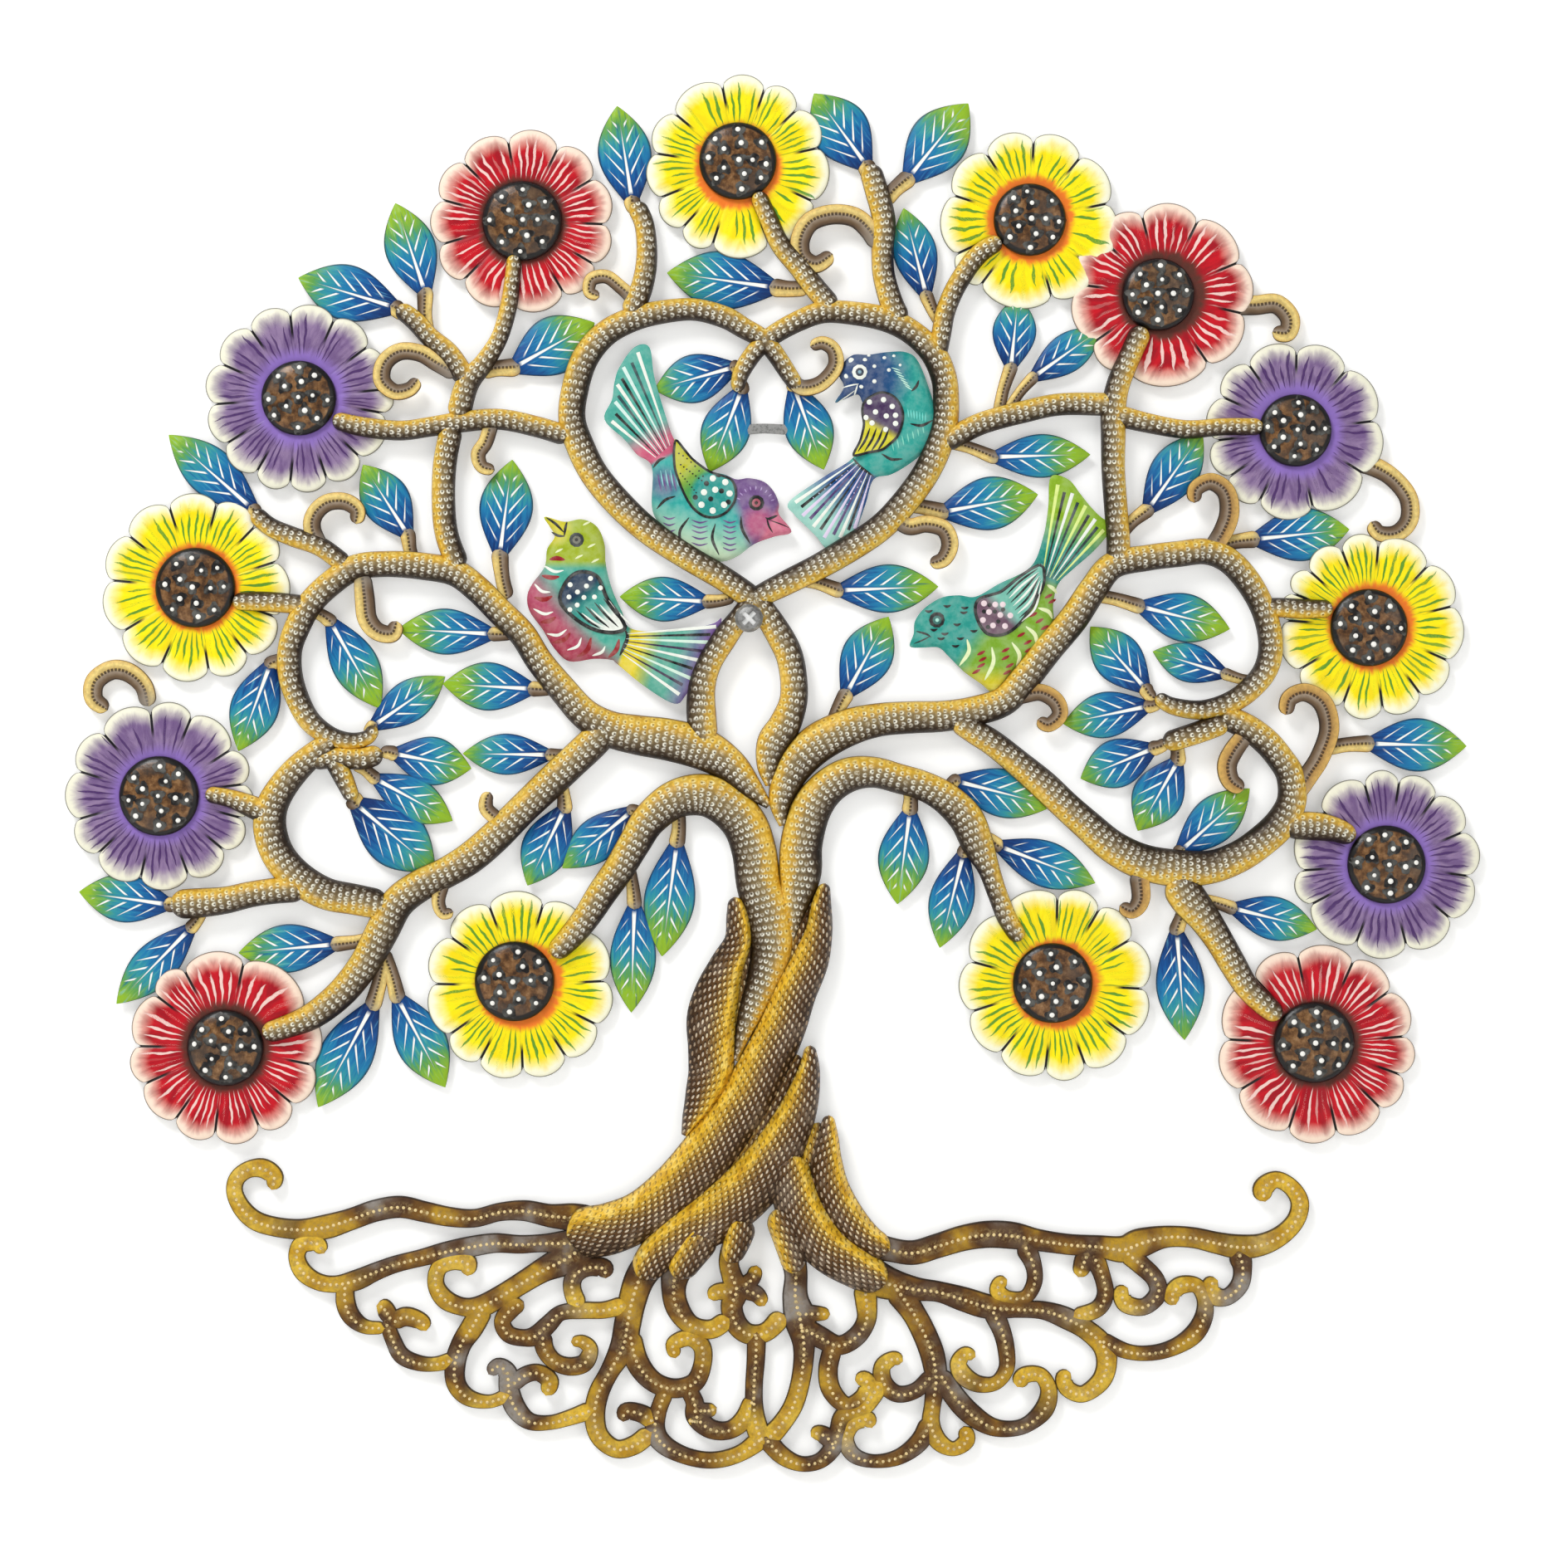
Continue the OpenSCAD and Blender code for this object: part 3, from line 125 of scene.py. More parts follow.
LIMB_LEFT = [
    [[8, -75, 3], [0, -67, 10], [-8, -58.5, 14], [-19, -52, 17], [-32, -48.5, 17],
     [-45, -46.5, 16], [-56, -44, 14.5], [-66, -38, 12.5], [-75, -28, 11.5], [-84, -17, 11],
     [-91, -6, 11], [-100, 3, 11], [-109, 12, 11], [-118, 18.5, 11], [-130, 21, 11],
     [-145, 22, 10.5], [-158, 20.5, 10.5], [-168, 14, 10.5], [-176, 6, 10.5], [-181, -3, 10.5],
     [-184, -12, 10], [-184, -22, 10], [-181, -32, 9.5], [-176, -41, 9], [-168, -47, 8],
     [-160, -49, 7], [-153, -47.5, 6], [-150, -43, 5]],
    [[-207, 7, 7], [-195, 7, 8], [-183, 6, 8], [-176, 5, 8]],
    [[-199, 43, 7], [-192, 37, 7.5], [-183, 33, 8], [-172, 29, 8], [-161, 21, 8]]]
LIMB_LEFT_SCROLLS = [
    [[-171, 28, 6], [-175, 36, 7], [-174, 42, 7], [-169, 46.5, 7], [-162, 47, 7],
     [-157, 43.5, 6.5], [-157.5, 38, 5.5]],
    [[-155, 18, 7], [-154, 8, 8], [-153, 0, 8], [-149, -5, 7.5], [-143, -6, 7], [-141, -1, 6]]]
LIMB_LEFT_LOW = [
    [[-55, -42, 12], [-63, -50, 13], [-71, -57.5, 13], [-80, -66, 13], [-91, -76.5, 12.5],
     [-102, -87.5, 13], [-112, -96, 13], [-122, -102, 12.5], [-132, -107, 13],
     [-141, -114, 13.5], [-147, -125, 13.5], [-154, -138, 12.5], [-163, -149.5, 12],
     [-174, -158.5, 11], [-184, -163, 9.5], [-195, -166.5, 8]]]
LIMB_LEFT_LOW_SCROLLS = [
    [[-100, -81, 6], [-105, -76.5, 6], [-105.3, -72.5, 5.5], [-103.8, -69.5, 4]],
    [[-122.5, -105, 6], [-124.5, -113, 5.5], [-122.5, -118, 5], [-118.5, -117.5, 4]]]
LOOP_LEFT = [
    [[-145, -115, 12], [-158, -112.5, 12.5], [-170, -110, 13], [-181, -103.5, 13.5],
     [-188.5, -95, 13.5], [-192, -85, 13.5], [-191.5, -76, 13], [-187.5, -68, 12],
     [-181, -60, 11], [-173, -53, 9.5], [-166, -48.5, 8]],
    [[-178, -108, 11], [-190, -109, 10.5], [-200, -110.5, 10.5], [-210, -112.8, 11],
     [-222, -114, 12], [-232, -114.5, 11.5]],
    [[-218, -70, 6.5], [-208, -72, 7.5], [-200, -75, 9], [-191, -79, 10]],
    [[-176, -57, 8], [-165, -55.5, 8.5], [-155, -56, 9], [-147, -53.5, 8]],
    [[-168, -54, 8], [-163, -63, 8], [-158.5, -73, 6]]]
LIMB_RIGHT = [
    [[13.5, -83, 3], [12.5, -74, 9], [15, -65, 13], [20, -57, 15], [28, -49.5, 16],
     [40, -43.5, 15], [52, -40.5, 13.5], [65, -39.5, 13], [78, -39, 12.5], [90, -37, 12],
     [102, -33, 12], [111, -23.5, 12], [120, -12, 12], [130, 0, 12], [138, 12, 11.5],
     [146, 21.5, 11], [160, 24.5, 10.5], [172, 26, 10.5], [183, 27, 10.5], [192, 23.5, 10.5],
     [200, 15, 10.5], [206, 4, 10], [209, -8, 10], [208, -18, 10], [203, -26, 9.5],
     [194, -33, 9], [182, -36.5, 8], [170, -35, 7], [163, -31, 5.5]],
    [[234, 4, 7], [222, 4, 8], [212, 4.5, 8], [204, 4, 8]]]
LIMB_RIGHT_SCROLLS = [
    [[102, -33, 6], [110, -30.5, 7], [117, -29.5, 7], [123, -33, 7], [124.5, -38.5, 6.5],
     [120, -42.5, 6], [115.5, -40.5, 5]],
    [[184, 26, 7], [190, 35, 8], [192.5, 43, 8], [191, 51, 7.5], [185, 55, 7], [179, 52, 6.5],
     [178.5, 46.5, 5.5]]]
LOOP_RIGHT = [
    [[82, -40, 9], [90, -45, 10], [98, -50, 10.5], [108, -58, 11], [118, -66.5, 12],
     [127, -75, 12], [136, -83, 12.5], [146, -91.5, 13.5], [158, -97.5, 14.5], [172, -100, 15],
     [185, -99.5, 13.5], [196, -95.5, 13], [205, -89.5, 13], [213, -82, 13], [217.5, -73, 12],
     [217, -63, 11.5], [213, -56, 11], [207, -49, 11], [199, -43, 10.5], [189, -38.5, 10]],
    [[170, -103, 14], [176, -112, 15], [182.5, -120, 13], [188.5, -129, 11.5],
     [194, -138.5, 11], [199.5, -147.5, 10], [206, -154, 9.5], [213, -160, 7.5]],
    [[214, -83, 10], [225, -83, 11.5], [235, -84.5, 10], [243, -88, 7.5]],
    [[192, -41, 9], [180, -45.5, 9], [166, -50, 8.5]]]
LOOP_RIGHT_SCROLLS = [
    [[217, -73, 8], [224, -63, 8], [229, -55, 8], [232.5, -44, 8], [230, -34, 8],
     [223, -29.5, 7.5], [216.5, -32, 7], [215, -38.5, 6]],
    [[200, -45, 7], [194, -53, 8], [191.5, -59, 8], [193, -65, 7.5], [198, -68.5, 6]],
    [[156, -101, 8], [157, -112, 7.5], [153.5, -117, 6.5], [148.5, -115, 5]]]

# ---------- the strands of the trunk ----------
TRUNK_LEFT = [
    [-6, -111.5, 5], [-4.7, -119, 9], [-4.5, -129, 11], [-9, -139, 14], [-12.5, -149, 18],
    [-15, -160, 20], [-15, -172, 19], [-15.5, -182, 18], [-19, -192, 14], [-23, -200, 8],
    [-26, -207, 2.5]]
TRUNK_RIGHT = [
    [30.5, -106, 4], [29, -114, 8], [28, -125, 11], [24.5, -137, 15], [18.5, -150, 17],
    [13.5, -163, 19], [8, -175, 20], [0.5, -189, 21], [-8, -202, 22], [-18, -216, 22],
    [-30, -229, 21], [-43, -239, 20], [-56, -244.5, 21], [-66, -246, 20], [-73, -247.5, 13]]
TRUNK_BASE = [
    [[24.5, -171, 4], [24, -181, 9], [21, -193, 14], [16, -205, 18], [9, -217, 21],
     [0, -228, 23], [-12, -238, 23], [-25, -246, 20], [-36, -254, 16], [-44, -264, 12]],
    [[15, -214, 16], [17, -226, 18], [22, -240, 20], [31, -252, 19], [43, -260, 17],
     [55, -266, 13]],
    [[12, -236, 14], [16, -250, 12], [18.7, -262, 9]],
    [[-2, -240, 13], [-5, -250, 11], [-8, -258, 8]],
    [[-16, -244, 16], [-24, -255, 14], [-29.5, -264, 11]]]
TRUNK_FLARE = [
    [32, -199, 4], [31.5, -208, 9], [31, -218, 13], [33, -229, 15], [39, -240, 15],
    [47, -248.5, 13], [56, -253.5, 10]]

# ---------- the roots, cut as one flat network ----------
ROOTS_LEFT = [
    [[-60, -244, 16], [-70, -240.5, 12], [-80, -239.5, 9.5], [-90, -237.5, 8.5],
     [-100, -238, 7.5], [-110, -240.5, 7.5], [-120, -240, 8], [-130, -238, 8.5],
     [-140, -236, 9], [-150, -237.5, 9], [-160, -241, 9], [-170, -244, 10], [-180, -245, 8.5],
     [-190, -244, 8], [-198, -241.5, 8], [-203.5, -236.5, 7.5], [-206.5, -230, 6.8],
     [-205.5, -224.5, 6.8], [-201, -221, 7], [-195, -220.5, 8], [-190.5, -224, 7.5],
     [-191.5, -229, 5]],
    [[-62, -251, 14], [-72, -250.5, 11], [-82, -250.5, 7.5], [-92, -251, 7.5],
     [-102, -250.5, 8], [-112, -252, 8.5], [-122, -254, 8], [-132, -256.5, 7],
     [-142, -259, 7], [-150, -262, 7.5], [-158, -265.5, 8.5], [-166, -267, 7],
     [-173, -266, 7], [-179, -262, 7.5], [-181.5, -256, 7], [-179.5, -251, 7.5],
     [-173.5, -250.5, 7], [-170.5, -254.5, 5]],
    [[-162, -266, 7], [-162, -274, 8], [-159.5, -280, 7.5], [-154, -284, 6], [-146, -284.5, 5]],
    [[-143, -282, 7], [-146.5, -276.5, 7.5], [-149.5, -275.5, 5]],
    [[-144, -283, 7], [-138, -280, 8], [-131.5, -282, 7], [-129.5, -285.5, 5]],
    [[-146, -281, 6], [-143, -289, 6.5], [-139.5, -295.5, 7], [-133, -298.5, 6.5],
     [-126, -299, 6], [-118, -297, 7]],
    [[-64, -250, 15], [-74, -257, 13], [-83, -261.5, 10], [-92, -267, 9], [-100, -272, 9],
     [-108, -276, 9], [-115, -276, 7.5], [-122, -273, 8], [-125.7, -267, 7],
     [-124.5, -260.5, 7], [-119, -257.7, 7.5], [-113, -258.5, 8], [-113, -263.5, 5]],
    [[-106, -275, 9], [-111, -284, 9.5], [-115.5, -291, 8.5], [-118, -299, 8.5],
     [-117.5, -307, 8], [-112.5, -312.5, 7], [-104, -314, 5.5], [-96, -311, 6]],
    [[-90.5, -274, 6], [-95.5, -277, 7.5], [-99, -282, 7], [-96.5, -287, 7], [-90.5, -288.5, 7],
     [-85.5, -287.5, 8], [-80.5, -283, 7.5], [-75.5, -278.5, 6.5], [-67, -277.5, 7],
     [-58, -277.3, 7], [-49, -275, 8]],
    [[-57.5, -264.5, 6], [-58.5, -260.5, 8], [-65, -260.3, 7.5], [-70, -263.5, 7.5],
     [-71, -269, 7.5], [-68, -277, 8]],
    [[-83, -286, 8], [-82, -293, 7.5], [-78, -298, 7], [-72, -300, 7.5], [-66, -298.5, 7.5],
     [-63.8, -293, 6.5], [-67, -290, 5.5], [-71.5, -290, 4]],
    [[-104.5, -303, 5], [-101, -299.8, 6.5], [-97, -302.5, 8], [-96.2, -310, 8.5],
     [-93.5, -317, 8.5], [-88, -322, 7], [-80, -322.5, 6], [-72, -320.5, 6.5],
     [-62, -317, 8]],
    [[-96, -308, 7], [-90, -303.5, 7], [-84.5, -302.5, 7], [-80, -306, 7.5],
     [-81.5, -311.5, 6]]]
ROOTS_MIDDLE = [
    [[-36, -254, 14], [-43.5, -264, 12.5], [-47, -274, 11.5], [-49, -284, 11],
     [-50.5, -292, 11], [-56, -302, 8], [-60.5, -311, 8.5], [-62, -320, 8.5], [-60, -328, 8],
     [-53.5, -333, 7.5], [-46, -331.5, 8], [-39, -326, 8]],
    [[-48, -286, 9], [-45, -298, 9.5], [-38.5, -306, 8.5], [-30, -308.8, 8], [-22, -306.5, 8],
     [-18.7, -299, 7.5], [-19, -292, 7.5], [-24, -288.5, 7], [-30.3, -291, 6.5],
     [-29.5, -296.5, 5]],
    [[-50.5, -322, 5.5], [-49.5, -318, 7], [-43, -319, 7.5], [-37, -323, 8]],
    [[-33, -309, 7], [-36.5, -318, 7], [-37.7, -326, 8.5], [-34, -331.5, 8],
     [-26.5, -335.5, 7], [-18, -337.5, 6.8], [-10, -337, 6.8], [-2, -334, 7], [6, -328, 9]],
    [[-25, -308.5, 7], [-22, -314, 7.5], [-21, -320, 9], [-15.5, -325, 8], [-8, -325.5, 7.5],
     [-2, -321, 8], [2, -312, 7.5]],
    [[-21, -317.5, 6], [-16, -317.5, 6], [-13, -316.5, 4]],
    [[-20, -322, 5], [-24.5, -321.5, 4]],
    [[3, -286, 8], [2.7, -297, 7.5], [2, -307, 7.2], [2, -316, 7.5], [3, -324, 9],
     [6, -331, 9]],
    [[-22, -250, 16], [-28.5, -260, 13], [-30.3, -269, 10], [-28.5, -277, 9.5],
     [-23, -283.5, 8], [-15, -285, 8], [-8, -280.5, 8]],
    [[-4, -248, 12], [-8, -257, 8.5], [-7, -263.5, 8.5], [-5, -269, 10], [-7, -276, 9],
     [-5, -283, 9], [0, -287, 8.5], [7, -286, 8], [14, -279, 9]],
    [[-3, -268, 7], [1.5, -264.5, 6.5], [3, -259.5, 5.5]],
    [[-3, -269, 8], [3, -271, 7], [6.3, -275.5, 5]],
    [[-5, -270, 8], [-12.5, -270, 7], [-16.3, -272.5, 5]],
    [[16, -250, 13], [18.7, -262, 9.5], [18.5, -272, 10.5], [20.5, -281, 13], [22, -292, 9],
     [21, -304, 8], [18, -315, 8], [13, -323, 8], [7, -329.5, 9]],
    [[18, -279, 9], [27, -278.7, 6.5], [32.5, -279, 4.5]],
    [[19, -283, 10], [28, -288, 9], [36, -291.5, 8], [43, -288, 8], [47, -281.5, 8],
     [47, -274, 9], [46, -266, 10]],
    [[34, -291, 8], [31.7, -301, 8], [33, -309.5, 8], [39, -315.5, 7], [45.5, -313, 8],
     [48, -308, 8], [46, -305, 7], [42.5, -305.5, 5]],
    [[6, -328, 8], [13, -335.5, 7.5], [20.5, -339, 6.3], [28, -338, 6.5], [33.3, -333, 7.5],
     [36, -326, 8], [38, -320, 8], [45, -317, 7.5], [49, -312, 8.5], [53, -306, 8]],
    [[35, -333, 7], [31.5, -328.5, 7.5], [27.5, -326.7, 6.5], [24.8, -328, 4]]]
ROOTS_RIGHT = [
    [[73, -321, 8], [68.5, -330, 8], [60, -336.3, 6.5], [50, -338, 5.5], [42, -335.5, 6.5],
     [38.7, -329, 7], [41.5, -323, 7], [47.5, -321, 7], [49.3, -324.5, 4.5]],
    [[74, -303, 7], [67, -309.5, 6.5], [59.5, -311, 7], [54, -306.5, 7.5], [53.5, -300, 7],
     [58, -296.7, 6], [61.7, -297.8, 4.5]],
    [[58, -267, 13], [65, -277, 10], [69.5, -285, 9.8], [73.5, -295, 10], [75, -305, 9],
     [73.7, -315, 7], [73, -323, 7.5], [76, -330, 7.5], [82, -333, 6], [87.3, -329.5, 7],
     [86.2, -324, 6]],
    [[30, -250, 16], [42, -259.5, 17], [54, -266, 14], [66, -268.8, 10], [76, -270, 8.5],
     [86, -273, 10], [96, -276, 10], [108, -277, 7], [118, -277.5, 7.5], [127, -280.5, 9],
     [135, -285, 8.5], [142, -291.5, 9], [143.5, -299, 8.5], [141, -306, 8], [134, -311, 7],
     [128, -309, 7], [126.3, -304.5, 7], [129, -302.5, 5]],
    [[97, -276, 9], [101.5, -286, 7.5], [103.3, -294, 7], [103.2, -301, 6.5], [99, -306.5, 6],
     [92, -307, 7], [86, -303.5, 8], [84, -298.5, 7], [87, -294.8, 6], [90.8, -296, 4]],
    [[76, -302, 8], [82.5, -312, 9], [89, -319, 9], [97, -324, 7.5], [105, -325, 6.5],
     [112, -323, 6.5], [118.5, -317, 8], [120.3, -309.5, 7], [117, -303.5, 6.5],
     [110.5, -303.5, 7], [107.5, -308, 7]],
    [[140, -289, 8], [152, -294, 6.3], [162, -294.5, 6.3], [171, -292, 6.8], [178.5, -287, 8],
     [182.5, -280, 7.5], [182.8, -273, 6.5], [179.5, -267.5, 6.5], [173, -267.5, 7.5],
     [169.5, -271.5, 7], [171.2, -275, 5]],
    [[44, -250, 13], [56, -253, 10], [66, -254.3, 10], [76, -251.5, 10], [86, -248.5, 10.5],
     [96, -247, 11], [106, -247.5, 11], [116, -249.3, 9], [128, -251, 8.5], [140, -251.8, 9],
     [150, -253, 11], [157, -250.5, 12], [167, -248, 9], [178, -248.3, 8.5],
     [188, -250.5, 9], [197, -252, 10], [206, -251, 9], [214, -247, 8], [219.5, -241, 7.5],
     [221, -234, 7.5], [217.5, -228, 7], [211.5, -225, 7], [206.3, -228.5, 8.5],
     [207, -233.7, 6.5]],
    [[110, -250, 10], [114, -259, 7], [114.5, -266, 6.5], [111, -272, 6], [104.5, -272.3, 5.5],
     [100, -270, 7], [100.5, -266.5, 6], [103.5, -265, 4.5]],
    [[136, -254, 10], [134, -259, 8], [132, -264, 5.5]],
    [[138, -255, 9], [141.5, -263, 7], [143, -271, 7], [139.5, -277, 7], [130, -280, 6.5]],
    [[150, -253, 9], [157, -259, 8], [163, -265, 7.5], [164, -271, 7.5], [158.5, -276, 7],
     [151.5, -275, 7.5], [149.5, -270.5, 7], [152, -268.5, 4.5]],
    [[196, -253, 12], [198, -260, 8], [197, -267, 7.5], [192, -272, 7], [186.5, -271.5, 8],
     [185.5, -267, 7.5], [188, -265.3, 4.5]]]

# ---------- leaves: [base x, base z, tip x, tip z, width, sheath end x, sheath end z] ----------
LEAVES_CROWN_LEFT = [
    [-142, 125, -181, 137, 23, -137, 122], [-130, 131, -142, 167, 21, -129, 114],
    [-47, 168, -53, 206, 22, -45, 163], [-94, 101, -62, 119, 24, -108, 99],
    [10, 133, -33, 139, 24, 24, 133], [-6, 101, -38, 92, 20, -2, 101],
    [-3, 92, -16, 59, 20, -4, 96], [-199, 44, -233, 74, 20, -194, 39],
    [-137, 34, -155, 62, 20, -134, 22], [-100, 26, -95, 64, 22, -97, 8]]
LEAVES_CROWN_RIGHT = [
    [18, 93, 30, 60, 20, 17, 97], [47, 182, 26, 211, 24, 50, 176], [64, 177, 88, 207, 24, 54, 167],
    [71, 130, 62, 165, 18, 78, 117], [105, 101, 108, 130, 18, 100, 82],
    [114, 97, 142, 117, 16, 104, 84], [98, 65, 137, 66, 18, 80, 71],
    [78, 43, 116, 50, 22, 60, 46], [160, 44, 182, 75, 20, 149, 34],
    [203, 32, 241, 36, 22, 188, 29], [157, 5, 193, -4, 20, 136, 10],
    [36, 11.5, 76, 13, 20, 20, 16]]
LEAVES_SIDE_LEFT = [
    [-103, -6, -141, -4, 19, -92, -5], [-168, -1, -148, -36, 19, -177, 4],
    [-192, -18, -205, -53, 20, -184, -14], [-17, 7, -52, 9, 18.5, -6, 9],
    [-151, -43, -122, -23, 17, -153, -47], [-87, -28, -123, -26, 20, -76, -27],
    [-80, -54.5, -115, -54, 17, -69, -53], [-142.5, -54, -111.5, -60, 20, -148, -54],
    [-150, -64, -119, -81, 18, -159, -58], [-158, -74, -126, -101, 25, -160, -70]]
LEAVES_SIDE_RIGHT = [
    [39, -30, 56, 1, 21, 33, -44], [83, -65, 122, -75, 20, 78, -70],
    [159, -28, 137, -3, 20, 163, -32], [160, -35, 126, -42, 19, 165, -33],
    [162, -52, 133, -64, 20, 168, -49], [191, -22, 162, -13, 16, 204, -25],
    [249, -50, 288, -51, 22, 231, -52], [172, -57, 156, -85, 21, 171, -49],
    [100, -91, 139, -106, 19, 93, -87], [173, -93, 201, -68, 19, 172, -98]]
LEAVES_LOW = [
    [-233, -114.5, -269, -109.5, 20, -227, -114], [-224, -124, -254, -154.5, 18, -219, -116],
    [-166, -130.5, -205, -134, 20, -148, -127], [-151, -155, -173, -196, 22, -146, -133],
    [-141, -152, -122, -188, 21, -147, -133], [-74, -76, -89, -107, 20, -76, -65],
    [-47, -77, -75, -100, 18, -38, -78], [-29, -90, -35, -135.5, 21, -28.5, -77],
    [-46, -114.5, -47.3, -158, 19, -49, -97], [64.5, -77, 59.5, -114.5, 21, 64, -66],
    [86, -94, 76.5, -132, 18.5, 89, -85], [194, -116, 228, -124.5, 18, 178, -112],
    [171.5, -125, 174.8, -169, 20, 175, -112]]

# ---------- flowers: name, [centre x, z, radius], [ring x, z, reach], angles of the notches ----------
FLOWERS = [
    ["purple_1", [-180.5, 88.5, 15], [-180.5, 88.5, 38],
     [6, 37, 66, 96, 125, 156, 184, 212, 240, 264, 289, 316, 350]],
    ["red_1", [-91, 159.5, 16], [-91, 159.5, 37],
     [31, 64, 100, 135, 165, 196, 225, 262, 300, 329, 358]],
    ["yellow_1", [-4.5, 183.5, 15.5], [-4.5, 181.5, 37],
     [13, 44, 71, 101, 140, 171, 202, 228, 252, 292, 335]],
    ["yellow_2", [112.5, 160, 14.5], [112.5, 160, 36], [12, 51, 87, 123, 162, 205, 233, 286, 323]],
    ["red_2", [164, 130, 14.5], [165.5, 130, 37], [23, 64, 104, 137, 173, 215, 245, 304, 347]],
    ["purple_2", [219, 75.5, 14.5], [219, 75.5, 36],
     [7, 50, 89, 125, 155, 187, 215, 243, 283, 328]],
    ["yellow_3", [-222, 12.5, 16], [-222, 12.5, 38],
     [18, 46, 76, 108, 142, 175, 211, 246, 279, 308, 340]],
    ["yellow_4", [248.5, -3.5, 15.5], [249.5, -3, 37.5],
     [14, 47, 85, 111, 138, 157, 176, 211, 250, 278, 306, 336]],
    ["purple_3", [-236.5, -71, 16], [-236.5, -71, 38],
     [8, 33, 68, 96, 132, 163, 196, 223, 257, 290, 320, 345]],
    ["purple_4", [255.5, -98.5, 15.7], [255.5, -98.5, 38],
     [23, 54, 81, 105, 140, 184, 208, 249, 284, 320, 352]],
    ["yellow_5", [-94, -145.3, 16], [-92, -147, 38],
     [3, 40, 74, 111, 145, 179, 215, 242, 272, 303, 333]],
    ["yellow_6", [121.7, -146, 16], [123, -146.5, 39],
     [31, 60, 89, 127, 165, 198, 231, 263, 290, 324, 357]],
    ["red_3", [-210, -172, 15.3], [-210, -172, 39],
     [25, 78, 118, 143, 179, 204, 235, 263, 293, 320, 349]],
    ["red_4", [226.5, -169.8, 16.2], [227.5, -170.5, 40],
     [5, 36, 66, 102, 133, 177, 211, 252, 283, 315, 340]]]

# ---------- birds: body outline and wing outline ----------
BIRD_1 = [
    [-46, 109], [-52, 101], [-54, 95], [-55, 88], [-58, 80], [-50, 72], [-45, 66], [-39, 61],
    [-39, 45], [-36, 38], [-30, 31], [-22, 26], [-12, 23], [-5, 25], [2, 30], [10, 33], [17, 35],
    [12, 42], [12, 46], [10, 51], [6, 55], [0, 56.5], [-5, 56], [-10, 58], [-18, 60], [-25, 66],
    [-30, 72], [-33, 80], [-38, 97], [-40, 109]]
WING_1 = [
    [-30, 71], [-28, 70.5], [-23, 64.5], [-15, 59], [-6.5, 55.5], [-5, 48], [-9, 42], [-15, 40],
    [-20.5, 42], [-25.5, 48], [-30, 60]]
BIRD_2 = [
    [34.5, 87], [38, 93], [36, 98], [38, 103], [42, 106], [48, 106], [55, 107], [63, 107],
    [68, 103], [73, 90], [75, 82], [74, 74], [70, 67], [64, 62], [57, 58], [50, 56], [47, 47],
    [44, 38], [42, 33], [37, 31], [31.5, 28], [27, 33], [22, 38], [18, 42], [16, 47], [30, 57],
    [41, 64], [44, 70], [47, 80], [45, 88], [43, 90], [38, 88]]
WING_2 = [
    [45.5, 86.5], [49, 89.5], [53.5, 91], [58.5, 89], [61.5, 84.5], [62, 79.5], [60, 73],
    [56, 69], [53, 67], [47.5, 66], [41.5, 65], [44, 70.5], [45.5, 77.5], [45, 82]]
BIRD_3 = [
    [-82, 41], [-80, 37], [-78, 33], [-81, 28], [-82, 21], [-87, 14], [-89, 9], [-88, 3],
    [-83, -4], [-78, -12], [-72, -17], [-62, -16], [-55, -16.5], [-53, -18], [-42, -27],
    [-30, -34], [-25, -30], [-18, -20], [-14, -11], [-11, 0], [-15, -2], [-30, -5], [-47, -4],
    [-51, 3], [-55, 12], [-57.5, 22], [-58, 30], [-61, 37], [-67, 40], [-74, 39]]
WING_3 = [
    [-66, 19.5], [-60, 17], [-56, 8], [-49, -4], [-58, -6], [-68, -2], [-76, 6], [-75, 13],
    [-71, 18]]
BIRD_4 = [
    [64.5, -11], [70, -11.5], [76, -11.5], [80, -15], [86, -21], [93, -26], [99, -30],
    [105, -22], [112, -15], [118, -9], [122, -2], [122, 6], [124, 14], [130, 20], [138, 27],
    [144, 34], [145, 38], [141, 41], [137, 45], [133, 50], [128, 56], [121, 57], [120, 45],
    [118, 33], [113, 21], [100, 14], [91, 9], [84, 9.5], [77, 8.5], [70, 4], [66.5, -1],
    [66, -6]]
WING_4 = [
    [116.5, 22], [107.5, 16.5], [100, 11], [92.5, 8.5], [90, 5], [91, -1], [95, -6.5],
    [101.5, -7], [107.5, -3.5], [113, 3.5], [118, 12.5], [118.5, 18.5]]

# ---------- plates that curl out from behind a flower ----------
BEHIND_LEFT = [
    [[-241, -35, 7], [-243, -27, 7.5], [-249, -21.5, 8], [-256, -20.5, 8], [-262.5, -25, 8],
     [-263, -32, 7.5], [-257.5, -36.5, 6]]]
BEHIND_RIGHT = [
    [[193, 126, 8], [203, 126, 8], [211.5, 126.5, 8], [217, 121, 8], [216, 115, 7.5],
     [210, 115, 6]],
    [[240, 64, 8], [250, 61.5, 8], [258, 57, 7.5], [264.5, 49, 7.5], [265, 40, 7.5],
     [260, 34.5, 7], [253, 34.5, 6.5], [249.5, 39, 6]]]

# ---------- mesh making ----------
VALUES = ("u", "s", "v", "tone", "c", "t")


